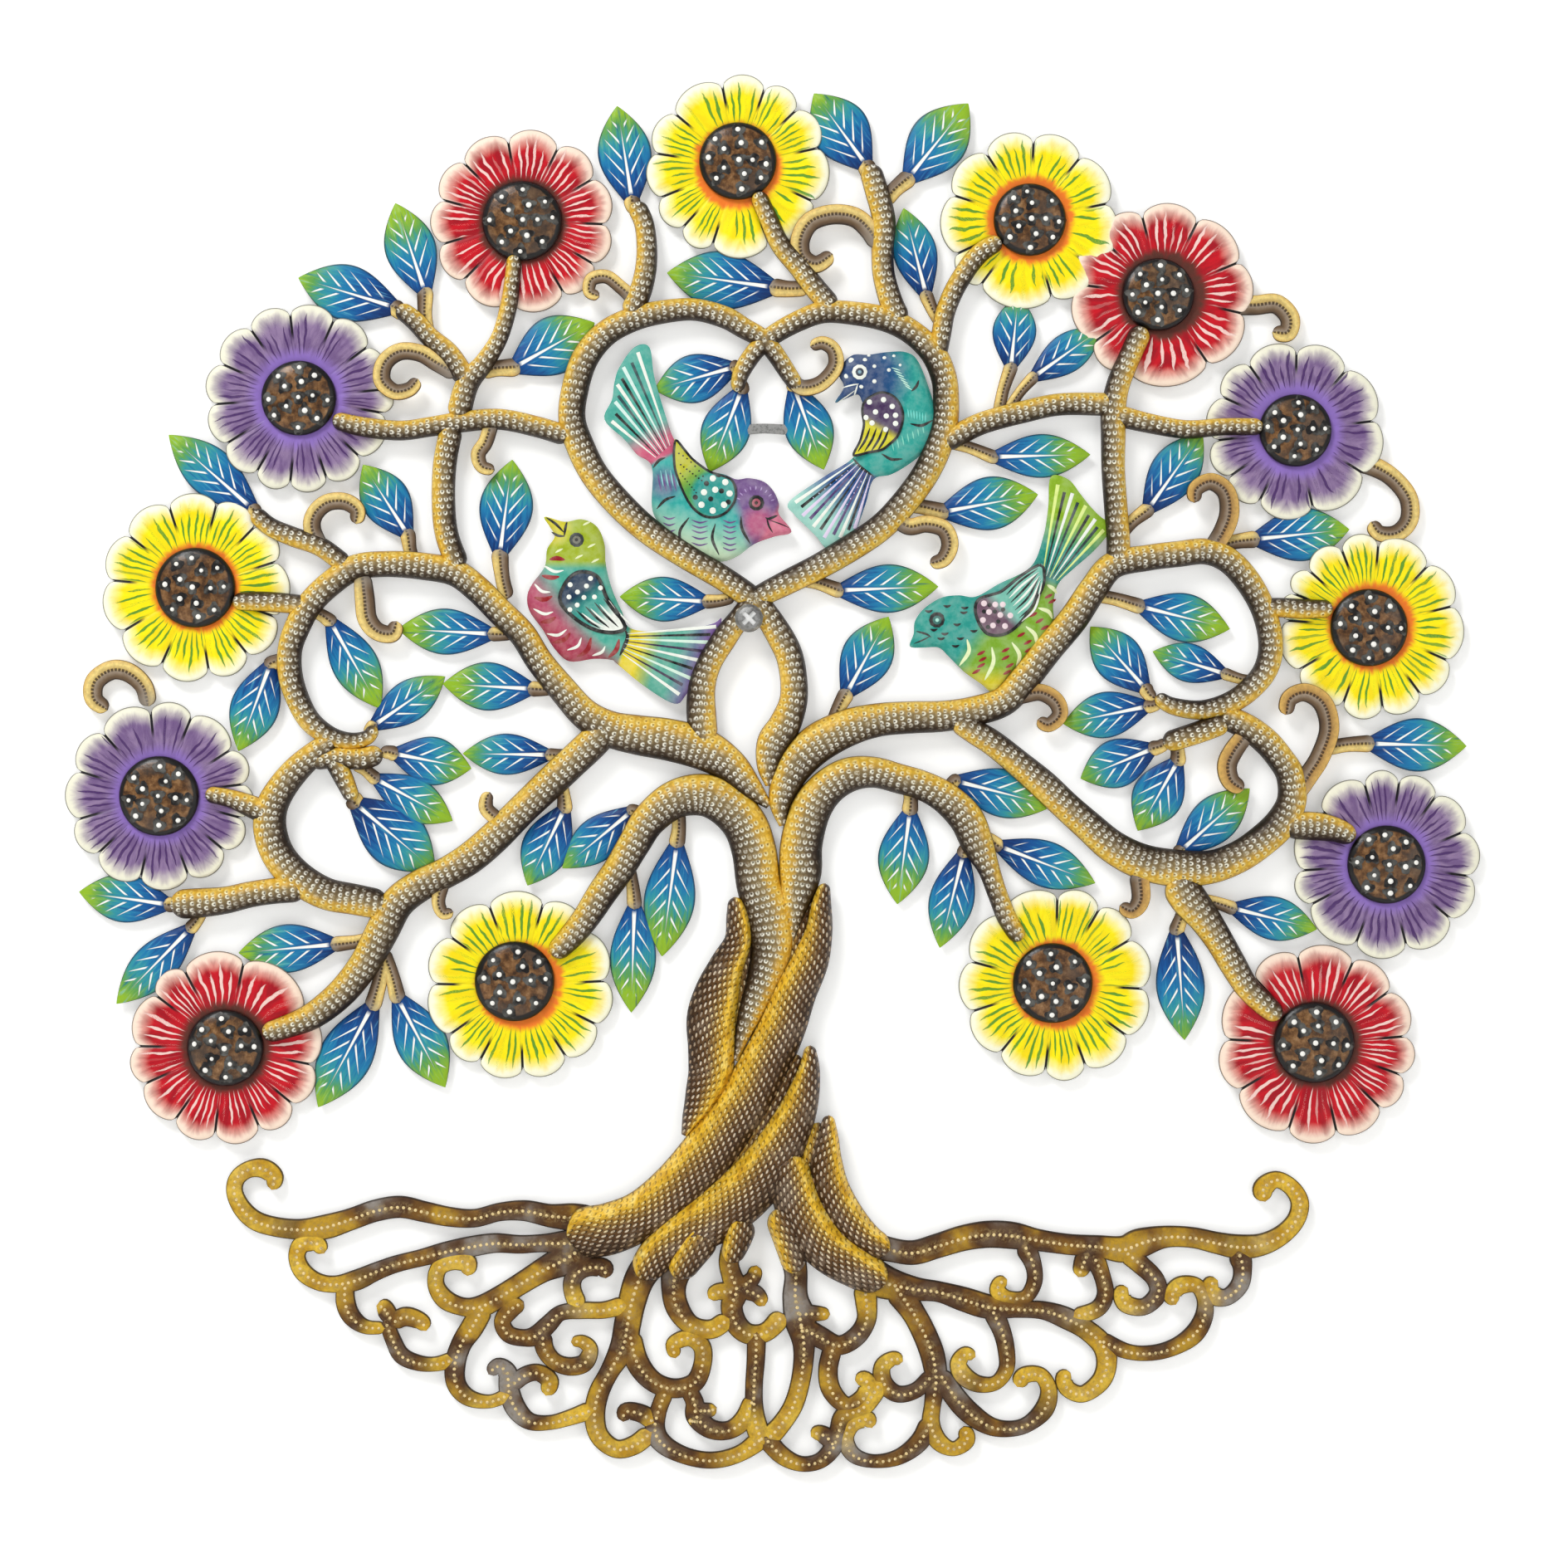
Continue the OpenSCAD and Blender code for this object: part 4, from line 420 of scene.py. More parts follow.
class Shape:
    """Collects grids and loose faces in drawing millimetres, then makes one Blender piece."""

    def __init__(self):
        self.points = []
        self.values = {name: [] for name in VALUES}
        self.paint = []
        self.quads = []
        self.quad_slots = []
        self.tris = []
        self.tri_slots = []
        self.count = 0

    def add_points(self, points, paint, values):
        flat = np.asarray(points, float).reshape(-1, 3)
        self.points.append(flat)
        for name in VALUES:
            value = np.asarray(values.get(name, 0.0), float)
            self.values[name].append(np.broadcast_to(value, np.shape(points)[:-1]).reshape(-1))
        colour = np.broadcast_to(np.asarray(paint, float), np.shape(points)[:-1] + (3,))
        self.paint.append(colour.reshape(-1, 3))
        first = self.count
        self.count += len(flat)
        return first

    def grid(self, points, slot=0, closed=False, paint=(0.5, 0.5, 0.5), **values):
        """A grid of rows and columns; closed joins the last column to the first."""
        rows, cols = points.shape[:2]
        first = self.add_points(points, paint, values)
        ids = first + np.arange(rows * cols).reshape(rows, cols)
        if closed:
            ids = np.hstack([ids, ids[:, :1]])
        quads = np.stack([ids[:-1, :-1], ids[:-1, 1:], ids[1:, 1:], ids[1:, :-1]], -1)
        self.quads.append(quads.reshape(-1, 4))
        self.quad_slots.append(np.full(quads.shape[0] * quads.shape[1], slot))
        return ids

    def mesh(self, points, tris, slot=0, paint=(0.5, 0.5, 0.5), **values):
        first = self.add_points(points, paint, values)
        self.tris.append(np.asarray(tris, int) + first)
        self.tri_slots.append(np.full(len(tris), slot))

    def build(self, name, materials, body="tree", slot=None, replaces=()):
        points = np.vstack(self.points)
        world = np.stack([points[:, 0], -points[:, 2], points[:, 1]], 1) / 1000
        quads = np.vstack(self.quads) if self.quads else np.zeros((0, 4), int)
        tris = np.vstack(self.tris) if self.tris else np.zeros((0, 3), int)
        data = bpy.data.meshes.new(name)
        data.vertices.add(len(world))
        data.vertices.foreach_set("co", world.ravel())
        loops = np.concatenate([quads.ravel(), tris.ravel()])
        data.loops.add(len(loops))
        data.loops.foreach_set("vertex_index", loops)
        sizes = np.concatenate([np.full(len(quads), 4), np.full(len(tris), 3)])
        starts = np.concatenate([[0], np.cumsum(sizes)[:-1]])
        data.polygons.add(len(sizes))
        data.polygons.foreach_set("loop_start", starts)
        data.polygons.foreach_set("loop_total", sizes)
        slots = np.concatenate(self.quad_slots + self.tri_slots).astype(int)
        data.polygons.foreach_set("material_index", slots)
        data.polygons.foreach_set("use_smooth", np.ones(len(sizes), bool))
        for value in VALUES:
            layer = data.attributes.new(value, "FLOAT", "POINT")
            layer.data.foreach_set("value", np.concatenate(self.values[value]).astype(np.float32))
        layer = data.attributes.new("paint", "FLOAT_COLOR", "POINT")
        colours = np.hstack([np.vstack(self.paint), np.ones((len(points), 1))])
        layer.data.foreach_set("color", colours.astype(np.float32).ravel())
        for material in materials:
            data.materials.append(material)
        data.validate()
        piece = bpy.data.objects.new(name, data)
        bpy.context.scene.collection.objects.link(piece)
        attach(piece, body)
        if replaces:
            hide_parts(*replaces)
        return piece


def spline(p0, p1, p2, p3, t):
    """Points at shares t of the smooth stretch from p1 to p2."""
    bend = 2 * p0 - 5 * p1 + 4 * p2 - p3
    return (2 * p1 + (p2 - p0) * t + bend * t ** 2 + (3 * p1 - p0 - 3 * p2 + p3) * t ** 3) / 2


def rounded(first, last, count):
    """Steps from first to last that lie closer together at both ends."""
    return np.sin(np.linspace(first, last, count) * math.pi / 2)


def beside(places, normal, side):
    """Flat points beside each place of a route, at the distances in side."""
    return places[:, None, :] + normal[:, None, :] * side[:, :, None]


def raised(flat, height):
    """Flat points with their heights off the wall."""
    return np.concatenate([flat, height[:, :, None]], 2)


def route(path, step):
    """A smooth curve through given points: places, widths, left-hand normals, lengths."""
    points = np.array(path, float)
    more = np.vstack([2 * points[0] - points[1], points, 2 * points[-1] - points[-2]])
    t = np.linspace(0, 1, 14, endpoint=False)[:, None]
    fine = [spline(*four, t) for four in zip(more, more[1:], more[2:], more[3:])]
    fine = np.vstack(fine + [points[-1:]])
    lengths = np.concatenate([[0], np.cumsum(np.hypot(*np.diff(fine[:, :2], axis=0).T))])
    count = max(int(lengths[-1] / step), 5) + 1
    at = np.linspace(0, lengths[-1], count)
    x, z, width = (np.interp(at, lengths, fine[:, k]) for k in range(3))
    heading = np.gradient(np.stack([x, z], 1), axis=0)
    kernel = np.ones(5) / 5
    padded = np.vstack([heading[:1]] * 2 + [heading] + [heading[-1:]] * 2)
    heading = np.stack([np.convolve(padded[:, k], kernel, "valid") for k in (0, 1)], 1)
    heading /= np.linalg.norm(heading, axis=1)[:, None]
    normal = np.stack([-heading[:, 1], heading[:, 0]], 1)
    return np.stack([x, z], 1), width, normal, at


def rounded_ends(width, at):
    """Share of the width near each end, so that the end is a half circle."""
    share = np.ones(len(at))
    for distance, radius in ((at, width[0] / 2), (at[-1] - at, width[-1] / 2)):
        if radius > SMALLEST_ROUND_END:
            near = np.clip(1 - distance / radius, 0, 1)
            share *= np.maximum(np.sqrt(1 - near ** 2), 0.04)
    return share


def cells(along, side, row, pitch):
    """Place in a staggered pattern: shares of a cell along and across, -0.5 to 0.5."""
    rows = along / row
    whole = np.floor(rows)
    across = side / pitch + 0.5 * np.mod(whole, 2)
    return rows - whole - 0.5, across - np.floor(across) - 0.5


def hammered(along, side):
    """Height of the scale-like hammer marks on a branch, up to 1, with grooves below 0."""
    fr, fc = cells(along, side, MARK_ROW, MARK_SIDE)
    reach = np.hypot(fr * 1.1, fc)
    groove = np.exp(-((reach - 0.36) / 0.1) ** 2) * (fr > -0.12)
    return (1 - 3.2 * fr ** 2) * (1 - 3.2 * fc ** 2) - 0.9 * groove


def dashed(along, side):
    """Height of the chisel dashes on a trunk strand, 0 to 1."""
    fr, fc = cells(along + 0.7 * side, side, DASH_ROW, DASH_SIDE)
    return np.exp(-(fr / 0.34) ** 2 - (fc / 0.22) ** 2)


def branch_profile(u):
    return (1 - np.abs(u) ** 2.3) ** 0.6


def trunk_profile(u):
    """Half round, higher towards the gold side, with a raised ridge there."""
    arch = (1 - np.abs(u) ** 2.6) ** 0.6
    return arch * (0.8 + 0.13 * u) + 0.16 * np.exp(-((u - 0.66) / 0.13) ** 2)


def band(shape, path, gold, rise=BRANCH_RISE, base=BRANCH_BASE, profile=branch_profile,
         marks=hammered, depth=MARK_DEPTH, tone=0.5, lift=0.0):
    """A hollow-backed band formed along a path; gold is +1 where its left side is rubbed gold, and the
    materials paint shade down its other side.
    """
    places, width, normal, at = route(path, BAND_STEP)
    half = width / 2 * rounded_ends(width, at)
    cols = int(np.clip(width.max() / 0.5, 11, 43)) | 1
    u = rounded(-1, 1, cols)
    high = (rise + lift) * np.minimum(1, width / 9) * np.minimum(1, half / (width / 2) + 0.1)
    side = half[:, None] * u[None, :]
    height = base + high[:, None] * profile(gold * u)[None, :]
    fade = (1 - np.abs(u) ** 4)[None, :]
    height = height + depth * marks(at[:, None], side) * fade * np.minimum(1, high / 3)[:, None]
    front = raised(beside(places, normal, side), height)
    inner = rounded(1, -1, 9)
    wall = np.minimum(GAUGE, half * 0.4)
    back_side = (half - wall)[:, None] * inner[None, :]
    back_height = base + np.maximum(
        high[:, None] * profile(gold * inner)[None, :] - GAUGE - depth, 0.0)
    back = raised(beside(places, normal, back_side), back_height)
    ring_u = np.concatenate([gold * u, gold * inner])
    behind = np.concatenate([np.zeros(cols), np.ones(len(inner))])
    sides = np.concatenate([side, back_side], 1)
    shape.grid(np.concatenate([front, back], 1), closed=True, u=ring_u[None, :], s=at[:, None],
               v=sides * gold, c=behind[None, :], tone=tone, t=(at / at[-1])[:, None])


def ribbon(shape, path, outer, thick=SCROLL_RISE, base=BRANCH_BASE, slot=0, tone=0.5, lift=0.0,
           crown=0.5, step=0.6, cols=13):
    """A flat scroll with softened edges; outer is +1 where its convex side is on the left."""
    places, width, normal, at = route(path, step)
    half = width / 2 * rounded_ends(width, at)
    u = rounded(-1, 1, cols)
    top = base + lift + (thick - crown) + crown * (1 - u ** 2)
    top = np.where(np.abs(u) > 0.999, base + lift + 0.2, top)
    side = half[:, None] * u[None, :]
    front = raised(beside(places, normal, side), np.broadcast_to(top, side.shape))
    back_u = np.array([1.0, 0.0, -1.0])
    back_side = half[:, None] * back_u[None, :]
    back = raised(beside(places, normal, back_side), np.full(back_side.shape, base))
    ring_u = np.concatenate([outer * u, outer * back_u])
    behind = np.concatenate([np.zeros(cols), np.ones(3)])
    shape.grid(np.concatenate([front, back], 1), slot=slot, closed=True, u=ring_u[None, :],
               s=at[:, None], v=np.concatenate([side, back_side], 1), c=behind[None, :],
               tone=tone, t=(at / at[-1])[:, None])


def bead(shape, x, z, height, radius, rise, slot=0, paint=(0.9, 0.9, 0.85), tone=0.5, sides=8):
    """A small dome: three rings and its top."""
    around = np.linspace(0, 2 * math.pi, sides, endpoint=False)
    rows = []
    for turn in (0, 0.35, 0.7, 1):
        ring = radius * math.cos(turn * math.pi / 2)
        rows.append(np.stack([x + ring * np.cos(around), z + ring * np.sin(around),
                              np.full(sides, height + rise * math.sin(turn * math.pi / 2))], 1))
    shape.grid(np.array(rows)[::-1], slot=slot, closed=True, paint=paint, tone=tone)


def turning(path):
    """+1 for a path that turns left over all, -1 for one that turns right."""
    steps = np.diff(np.array(path, float)[:, :2], axis=0)
    angles = np.unwrap(np.arctan2(steps[:, 1], steps[:, 0]))
    return 1 if angles[-1] > angles[0] else -1


# ---------- materials ----------
class Value:
    """A number that varies over a surface. Arithmetic on it adds maths nodes to its material."""

    def __init__(self, ink, socket):
        self.ink = ink
        self.socket = socket

    def __add__(self, other):
        return self.ink.math("ADD", self, other)

    def __radd__(self, other):
        return self.ink.math("ADD", other, self)

    def __sub__(self, other):
        return self.ink.math("SUBTRACT", self, other)

    def __rsub__(self, other):
        return self.ink.math("SUBTRACT", other, self)

    def __mul__(self, other):
        return self.ink.math("MULTIPLY", self, other)

    def __rmul__(self, other):
        return self.ink.math("MULTIPLY", other, self)

    def __truediv__(self, other):
        return self.ink.math("DIVIDE", self, other)

    def __abs__(self):
        return self.ink.math("ABSOLUTE", self)

    def floor(self):
        return self.ink.math("FLOOR", self)

    def fract(self):
        return self.ink.math("FRACT", self)

    def clamp(self):
        return self.ink.math("ADD", self, 0.0, clamp=True)

    def over(self, low, high):
        """0 below low, 1 above high, and smooth between them; low may be the greater."""
        node = self.ink.tree.nodes.new("ShaderNodeMapRange")
        node.interpolation_type = "SMOOTHSTEP"
        self.ink.feed(node.inputs["Value"], self)
        self.ink.feed(node.inputs["From Min"], low)
        self.ink.feed(node.inputs["From Max"], high)
        return Value(self.ink, node.outputs["Result"])


class Ink:
    """One node material, with short calls for what the materials share."""

    def __init__(self, name):
        self.material = bpy.data.materials.new(name)
        self.material.use_nodes = True
        self.tree = self.material.node_tree
        self.shader = self.tree.nodes["Principled BSDF"]
        place = self.tree.nodes.new("ShaderNodeTexCoord")
        self.place = place.outputs["Object"]

    def feed(self, socket, value):
        if isinstance(value, Value):
            self.tree.links.new(value.socket, socket)
        elif isinstance(value, bpy.types.NodeSocket):
            self.tree.links.new(value, socket)
        elif isinstance(value, tuple):
            socket.default_value = value + (1.0,) if len(socket.default_value) == 4 else value
        else:
            socket.default_value = value

    def math(self, operation, first, second=None, clamp=False):
        node = self.tree.nodes.new("ShaderNodeMath")
        node.operation = operation
        node.use_clamp = clamp
        self.feed(node.inputs[0], first)
        if second is not None:
            self.feed(node.inputs[1], second)
        return Value(self, node.outputs[0])

    def attribute(self, name):
        node = self.tree.nodes.new("ShaderNodeAttribute")
        node.attribute_name = name
        return Value(self, node.outputs["Fac"])

    def attributes(self, *names):
        return [self.attribute(name) for name in names]

    def painted(self):
        node = self.tree.nodes.new("ShaderNodeAttribute")
        node.attribute_name = "paint"
        return node.outputs["Color"]

    def vector(self, x, y, z=0.0):
        node = self.tree.nodes.new("ShaderNodeCombineXYZ")
        for socket, value in zip(node.inputs, (x, y, z)):
            self.feed(socket, value)
        return node.outputs[0]

    def noise(self, scale, place=None, detail=3.0, rough=0.55):
        """Soft noise, about 0.5; scale is in features per metre unless a place is given."""
        node = self.tree.nodes.new("ShaderNodeTexNoise")
        self.tree.links.new(place or self.place, node.inputs["Vector"])
        node.inputs["Scale"].default_value = scale
        node.inputs["Detail"].default_value = detail
        node.inputs["Roughness"].default_value = rough
        return Value(self, node.outputs["Fac"])

    def chance(self, place):
        node = self.tree.nodes.new("ShaderNodeTexWhiteNoise")
        self.tree.links.new(place, node.inputs["Vector"])
        return Value(self, node.outputs["Value"])

    def ramp(self, value, stops):
        node = self.tree.nodes.new("ShaderNodeValToRGB")
        bar = node.color_ramp
        while len(bar.elements) < len(stops):
            bar.elements.new(0.5)
        for element, (position, colour) in zip(bar.elements, stops):
            element.position = position
            element.color = colour + (1.0,)
        self.feed(node.inputs["Fac"], value)
        return node.outputs["Color"]

    def mix(self, share, first, second, mode="MIX"):
        node = self.tree.nodes.new("ShaderNodeMix")
        node.data_type = "RGBA"
        node.blend_type = mode
        self.feed(node.inputs[0], share)
        self.feed(node.inputs[6], first)
        self.feed(node.inputs[7], second)
        return node.outputs[2]

    def finish(self, colour, rough, metallic=0.0, bump=None, depth=0.0003, coat=0.0,
               gloss=0.2):
        self.feed(self.shader.inputs["Base Color"], colour)
        self.shader.inputs["Specular IOR Level"].default_value = gloss
        self.feed(self.shader.inputs["Roughness"], rough)
        self.feed(self.shader.inputs["Metallic"], metallic)
        self.shader.inputs["Coat Weight"].default_value = coat
        self.shader.inputs["Coat Roughness"].default_value = 0.25
        if bump is not None:
            node = self.tree.nodes.new("ShaderNodeBump")
            node.inputs["Strength"].default_value = 1.0
            node.inputs["Distance"].default_value = depth
            self.feed(node.inputs["Height"], bump)
            self.tree.links.new(node.outputs["Normal"], self.shader.inputs["Normal"])
        return self.material


BACK_STEEL = (0.05, 0.04, 0.035)


def staggered(ink, along, side, row, pitch):
    """The same cells as the function cells, in nodes, with a chance value for each cell."""
    rows = along / row
    whole = rows.floor()
    across = side / pitch + 0.5 * ink.math("MODULO", whole, 2.0)
    number = across.floor()
    dice = ink.chance(ink.vector(whole, number, ink.attribute("tone")))
    return rows - whole - 0.5, across - number - 0.5, dice


def branch_material(name):
    """Hammered steel: near-black painted shade down one side, silver marks on its crown, gold down the
    other, and painted shade in the pits and seams of the marks.
    """
    ink = Ink(name)
    u, s, v = ink.attributes("u", "s", "v")
    patches = ink.noise(70, detail=2)
    fine = ink.noise(700, detail=4, rough=0.7)
    wander = u + (patches - 0.5) * 0.7
    side = wander * 0.5 + 0.5
    # Across the band: near-black painted shade down one side, brown and silver in the middle, gold
    # towards the other side.
    base = ink.ramp(side, [
        (0.0, (0.012, 0.007, 0.004)), (0.13, (0.045, 0.026, 0.014)), (0.32, (0.17, 0.12, 0.06)),
        (0.56, (0.36, 0.26, 0.11)), (0.72, (0.72, 0.43, 0.06)), (0.88, (0.9, 0.56, 0.05)),
        (1.0, (0.62, 0.32, 0.015))])
    gilt = ink.noise(160, detail=3).over(0.42, 0.62) * wander.over(0.35, 0.8)
    base = ink.mix(gilt * 0.6, base, (0.95, 0.68, 0.14))
    base = ink.mix((fine - 0.5) * 1.1, base, (0.05, 0.028, 0.012))
    fr, fc, dice = staggered(ink, s, v, MARK_ROW, MARK_SIDE)
    fr = fr + (dice - 0.5) * 0.3
    fc = fc + ((dice * 7.3).fract() - 0.5) * 0.3
    reach = ink.math("SQRT", fr * fr * 1.5 + fc * fc * 1.5)
    # shaded_pit and shaded_seam: painted shade in the pits of the hammer marks and in the grooves between
    # them.
    shaded_pit = reach.over(0.26, 0.1) * dice.over(0.1, 0.4)
    shaded_seam = reach.over(0.46, 0.62)
    # Colour of that painted shade: near-black on the shaded side, brown towards the gold.
    dark = ink.ramp(side, [(0.2, (0.012, 0.007, 0.004)), (0.6, (0.05, 0.026, 0.009)),
                           (0.9, (0.36, 0.17, 0.01))])
    crown = abs(u).over(0.98, 0.84)
    base = ink.mix((shaded_pit * 0.85 + shaded_seam * 0.35).clamp() * crown, base, dark)
    arc = abs(reach - 0.31).over(0.22, 0.1) * fr.over(-0.24, -0.06)
    # The marks fade out into the painted shade on the dark side.
    marks = arc * crown * wander.over(-0.9, -0.35) * dice.over(-0.1, 0.3) * fine.over(0.3, 0.46)
    marks = marks * (1.0 - wander.over(0.5, 0.85) * 0.6)
    bright = ink.ramp(side, [
        (0.1, (0.68, 0.6, 0.46)), (0.3, (0.95, 0.92, 0.8)), (0.62, (0.97, 0.93, 0.72)),
        (0.85, (0.99, 0.86, 0.36)), (1.0, (0.95, 0.7, 0.14))])
    colour = ink.mix(marks, base, bright)
    rim = abs(u).over(0.9, 0.985)
    colour = ink.mix(rim * 0.8, colour, (0.03, 0.018, 0.008))
    colour = ink.mix(ink.attribute("c"), colour, BACK_STEEL)
    return ink.finish(colour, 0.46 - 0.15 * fine, metallic=0.05, bump=fine * 0.6 + marks - shaded_pit,
                      depth=0.0003, coat=0.05)


def trunk_material(name):
    """Chiselled trunk strands: pale dashes in rows on brown, turning to gold at the ridge, with
    near-black painted shade down the side away from the gold and a painted shadow under each dash.
    """
    ink = Ink(name)
    u, s, v = ink.attributes("u", "s", "v")
    patches = ink.noise(45, detail=2)
    fine = ink.noise(650, detail=4, rough=0.7)
    wander = u + (patches - 0.5) * 0.8
    side = wander * 0.5 + 0.5
    # Across the strand: near-black painted shade down one side, brown in the middle, gold towards the
    # other side.
    base = ink.ramp(side, [
        (0.0, (0.026, 0.012, 0.005)), (0.2, (0.075, 0.034, 0.011)), (0.45, (0.15, 0.07, 0.017)),
        (0.6, (0.3, 0.155, 0.022)), (0.74, (0.56, 0.31, 0.024)), (0.9, (0.74, 0.43, 0.03))])
    worn = ink.noise(90, detail=3).over(0.48, 0.7) * wander.over(0.5, -0.1)
    base = ink.mix(worn * 0.55, base, (0.23, 0.17, 0.12))
    base = ink.mix((fine - 0.4) * 1.3, base, (0.035, 0.016, 0.005))
    fr, fc, dice = staggered(ink, s + 0.7 * v, v, DASH_ROW, DASH_SIDE)
    dash = (fr * fr * 9.0 + fc * fc * 11.0).over(1.0, 0.45)
    # under: a painted shadow just below each dash; the bump also sinks it.
    under = ((fr + 0.28) * (fr + 0.28) * 9.0 + fc * fc * 9.0).over(1.0, 0.4) * (1.0 - dash)
    marks = dash * dice.over(-0.1, 0.35) * fine.over(0.3, 0.48)
    bright = ink.ramp(side, [
        (0.05, (0.36, 0.24, 0.14)), (0.35, (0.74, 0.63, 0.48)), (0.58, (0.9, 0.72, 0.34)),
        (0.85, (0.97, 0.74, 0.17))])
    # Painted shadow under the dashes.
    colour = ink.mix(under * 0.7, base, (0.02, 0.01, 0.004))
    colour = ink.mix(marks, colour, bright)
    ridge = abs(u - 0.7).over(0.3, 0.1) * (ink.noise(120, detail=2).over(0.3, 0.5))
    rubbed = ink.ramp(ink.noise(200, detail=3), [
        (0.3, (0.55, 0.28, 0.01)), (0.5, (0.86, 0.52, 0.03)), (0.7, (0.97, 0.74, 0.2))])
    colour = ink.mix(ridge * (1.0 - under * 0.6), colour, rubbed)
    colour = ink.mix(abs(u).over(0.93, 0.99) * 0.7, colour, (0.025, 0.013, 0.006))
    colour = ink.mix(ink.attribute("c"), colour, BACK_STEEL)
    return ink.finish(colour, 0.46 - 0.15 * fine, metallic=0.05, bump=fine * 0.6 + marks - under,
                      depth=0.0003, coat=0.05)


def scroll_material(name, outer=(0.88, 0.68, 0.24), middle=(0.55, 0.38, 0.12)):
    """Flat scrolls: cream and gold outside a dotted line, grey and brown inside it."""
    ink = Ink(name)
    u, s = ink.attributes("u", "s")
    fine = ink.noise(600, detail=4, rough=0.7)
    patches = ink.noise(90, detail=2)
    wander = u + (patches - 0.5) * 0.5
    colour = ink.ramp(wander * 0.5 + 0.5, [
        (0.0, (0.05, 0.03, 0.02)), (0.2, (0.16, 0.1, 0.055)), (0.42, (0.34, 0.27, 0.2)),
        (0.55, middle), (0.78, outer), (1.0, (0.72, 0.45, 0.12))])
    colour = ink.mix((fine - 0.5) * 1.2 + 0.1, colour, (0.12, 0.07, 0.03))
    beat = abs((s / 1.5).fract() - 0.5)
    line = abs(u + 0.02).over(0.2, 0.1) * beat.over(0.38, 0.25)
    colour = ink.mix(line * 0.85, colour, (0.035, 0.02, 0.012))
    root = ink.attribute("t").over(0.22, 0.02)
    colour = ink.mix(root * 0.6, colour, (0.3, 0.27, 0.23))
    colour = ink.mix(abs(u).over(0.88, 0.98) * 0.85, colour, (0.03, 0.02, 0.012))
    return ink.finish(colour, 0.5 - 0.12 * fine, metallic=0.05, bump=fine - line, depth=0.00018,
                      coat=0.05)


def root_material():
    """Flat roots: brown, gold and grey patches with a thin dark outline and gold curl tips."""
    ink = Ink("root_patina_paint")
    u = ink.attribute("u")
    fine = ink.noise(620, detail=4, rough=0.7)
    patches = ink.noise(38, detail=3)
    colour = ink.ramp(patches, [
        (0.32, (0.28, 0.25, 0.22)), (0.41, (0.12, 0.07, 0.04)), (0.47, (0.075, 0.03, 0.009)),
        (0.54, (0.2, 0.09, 0.012)), (0.62, (0.5, 0.29, 0.02))])
    tip = ink.attribute("t").over(0.6, 0.85)
    gilt = ink.ramp(ink.noise(180), [(0.35, (0.6, 0.33, 0.01)), (0.65, (0.9, 0.6, 0.06))])
    colour = ink.mix(tip * 0.8, colour, gilt)
    crown = abs(u).over(0.7, 0.1)
    colour = ink.mix(crown * fine.over(0.46, 0.62) * 0.5, colour, (0.62, 0.43, 0.17))
    colour = ink.mix((fine - 0.42) * 1.4, colour, (0.03, 0.015, 0.006))
    colour = ink.mix(abs(u).over(0.8, 0.94) * 0.9, colour, (0.02, 0.011, 0.006))
    colour = ink.mix(ink.attribute("c"), colour, BACK_STEEL)
    return ink.finish(colour, 0.48 - 0.15 * fine, metallic=0.05, bump=fine, depth=0.00025,
                      coat=0.04)


def bead_material(name, colour):
    ink = Ink(name)
    fine = ink.noise(900, detail=3)
    worn = tuple(channel * 0.5 for channel in colour)
    shade = ink.mix(fine.over(0.45, 0.7), colour, worn)
    return ink.finish(shade, 0.35, metallic=0.1, bump=fine, depth=0.0001, coat=0.06)


def leaf_material():
    """Leaves: dark blue base to yellow-green tip, with brush streaks and white veins."""
    ink = Ink("leaf_brush_paint")
    t, c, s, v, tone = ink.attributes("t", "c", "s", "v", "tone")
    streak = ink.noise(1.0, place=ink.vector(s * 0.09, v * 0.9, tone * 9.0), detail=3, rough=0.6)
    fine = ink.noise(500, detail=3)
    mix_at = t + (streak - 0.5) * 0.5 + (tone - 0.5) * 0.22
    colour = ink.ramp(mix_at, [
        (0.0, (0.002, 0.028, 0.14)), (0.22, (0.004, 0.08, 0.29)), (0.45, (0.01, 0.19, 0.40)),
        (0.62, (0.03, 0.29, 0.33)), (0.76, (0.1, 0.33, 0.08)), (0.92, (0.27, 0.47, 0.02))])
    colour = ink.mix(streak.over(0.58, 0.76) * 0.5, colour, (0.16, 0.5, 0.62))
    colour = ink.mix(streak.over(0.42, 0.28) * 0.5, colour, (0.004, 0.04, 0.16))
    rib_width = (0.80 - t) * 1.15
    rib = abs(v).over(rib_width + 0.12, rib_width - 0.12) * t.over(0.05, 0.1) * t.over(0.82, 0.76)
    spread = s - abs(v) * VEIN_SLOPE
    vein_row = (spread / VEIN_PITCH + VEIN_START).fract() - 0.5
    vein_width = abs(c).over(0.85, 0.2) * 0.09 + 0.005
    veins = abs(vein_row).over(vein_width + 0.03, vein_width) * abs(v).over(1.2, 1.7)
    veins = veins * abs(c).over(0.8, 0.66) * t.over(0.12, 0.2) * t.over(0.86, 0.8)
    colour = ink.mix((rib + veins).clamp(), colour, (0.93, 0.94, 0.9))
    colour = ink.mix(abs(c).over(0.9, 0.985) * 0.85, colour, (0.012, 0.03, 0.06))
    colour = ink.mix(ink.attribute("u"), colour, (0.04, 0.045, 0.05))
    lift = streak * 0.5 + rib + veins
    return ink.finish(colour, 0.38 + 0.12 * fine, bump=lift + fine * 0.4, depth=0.0003, coat=0.06)


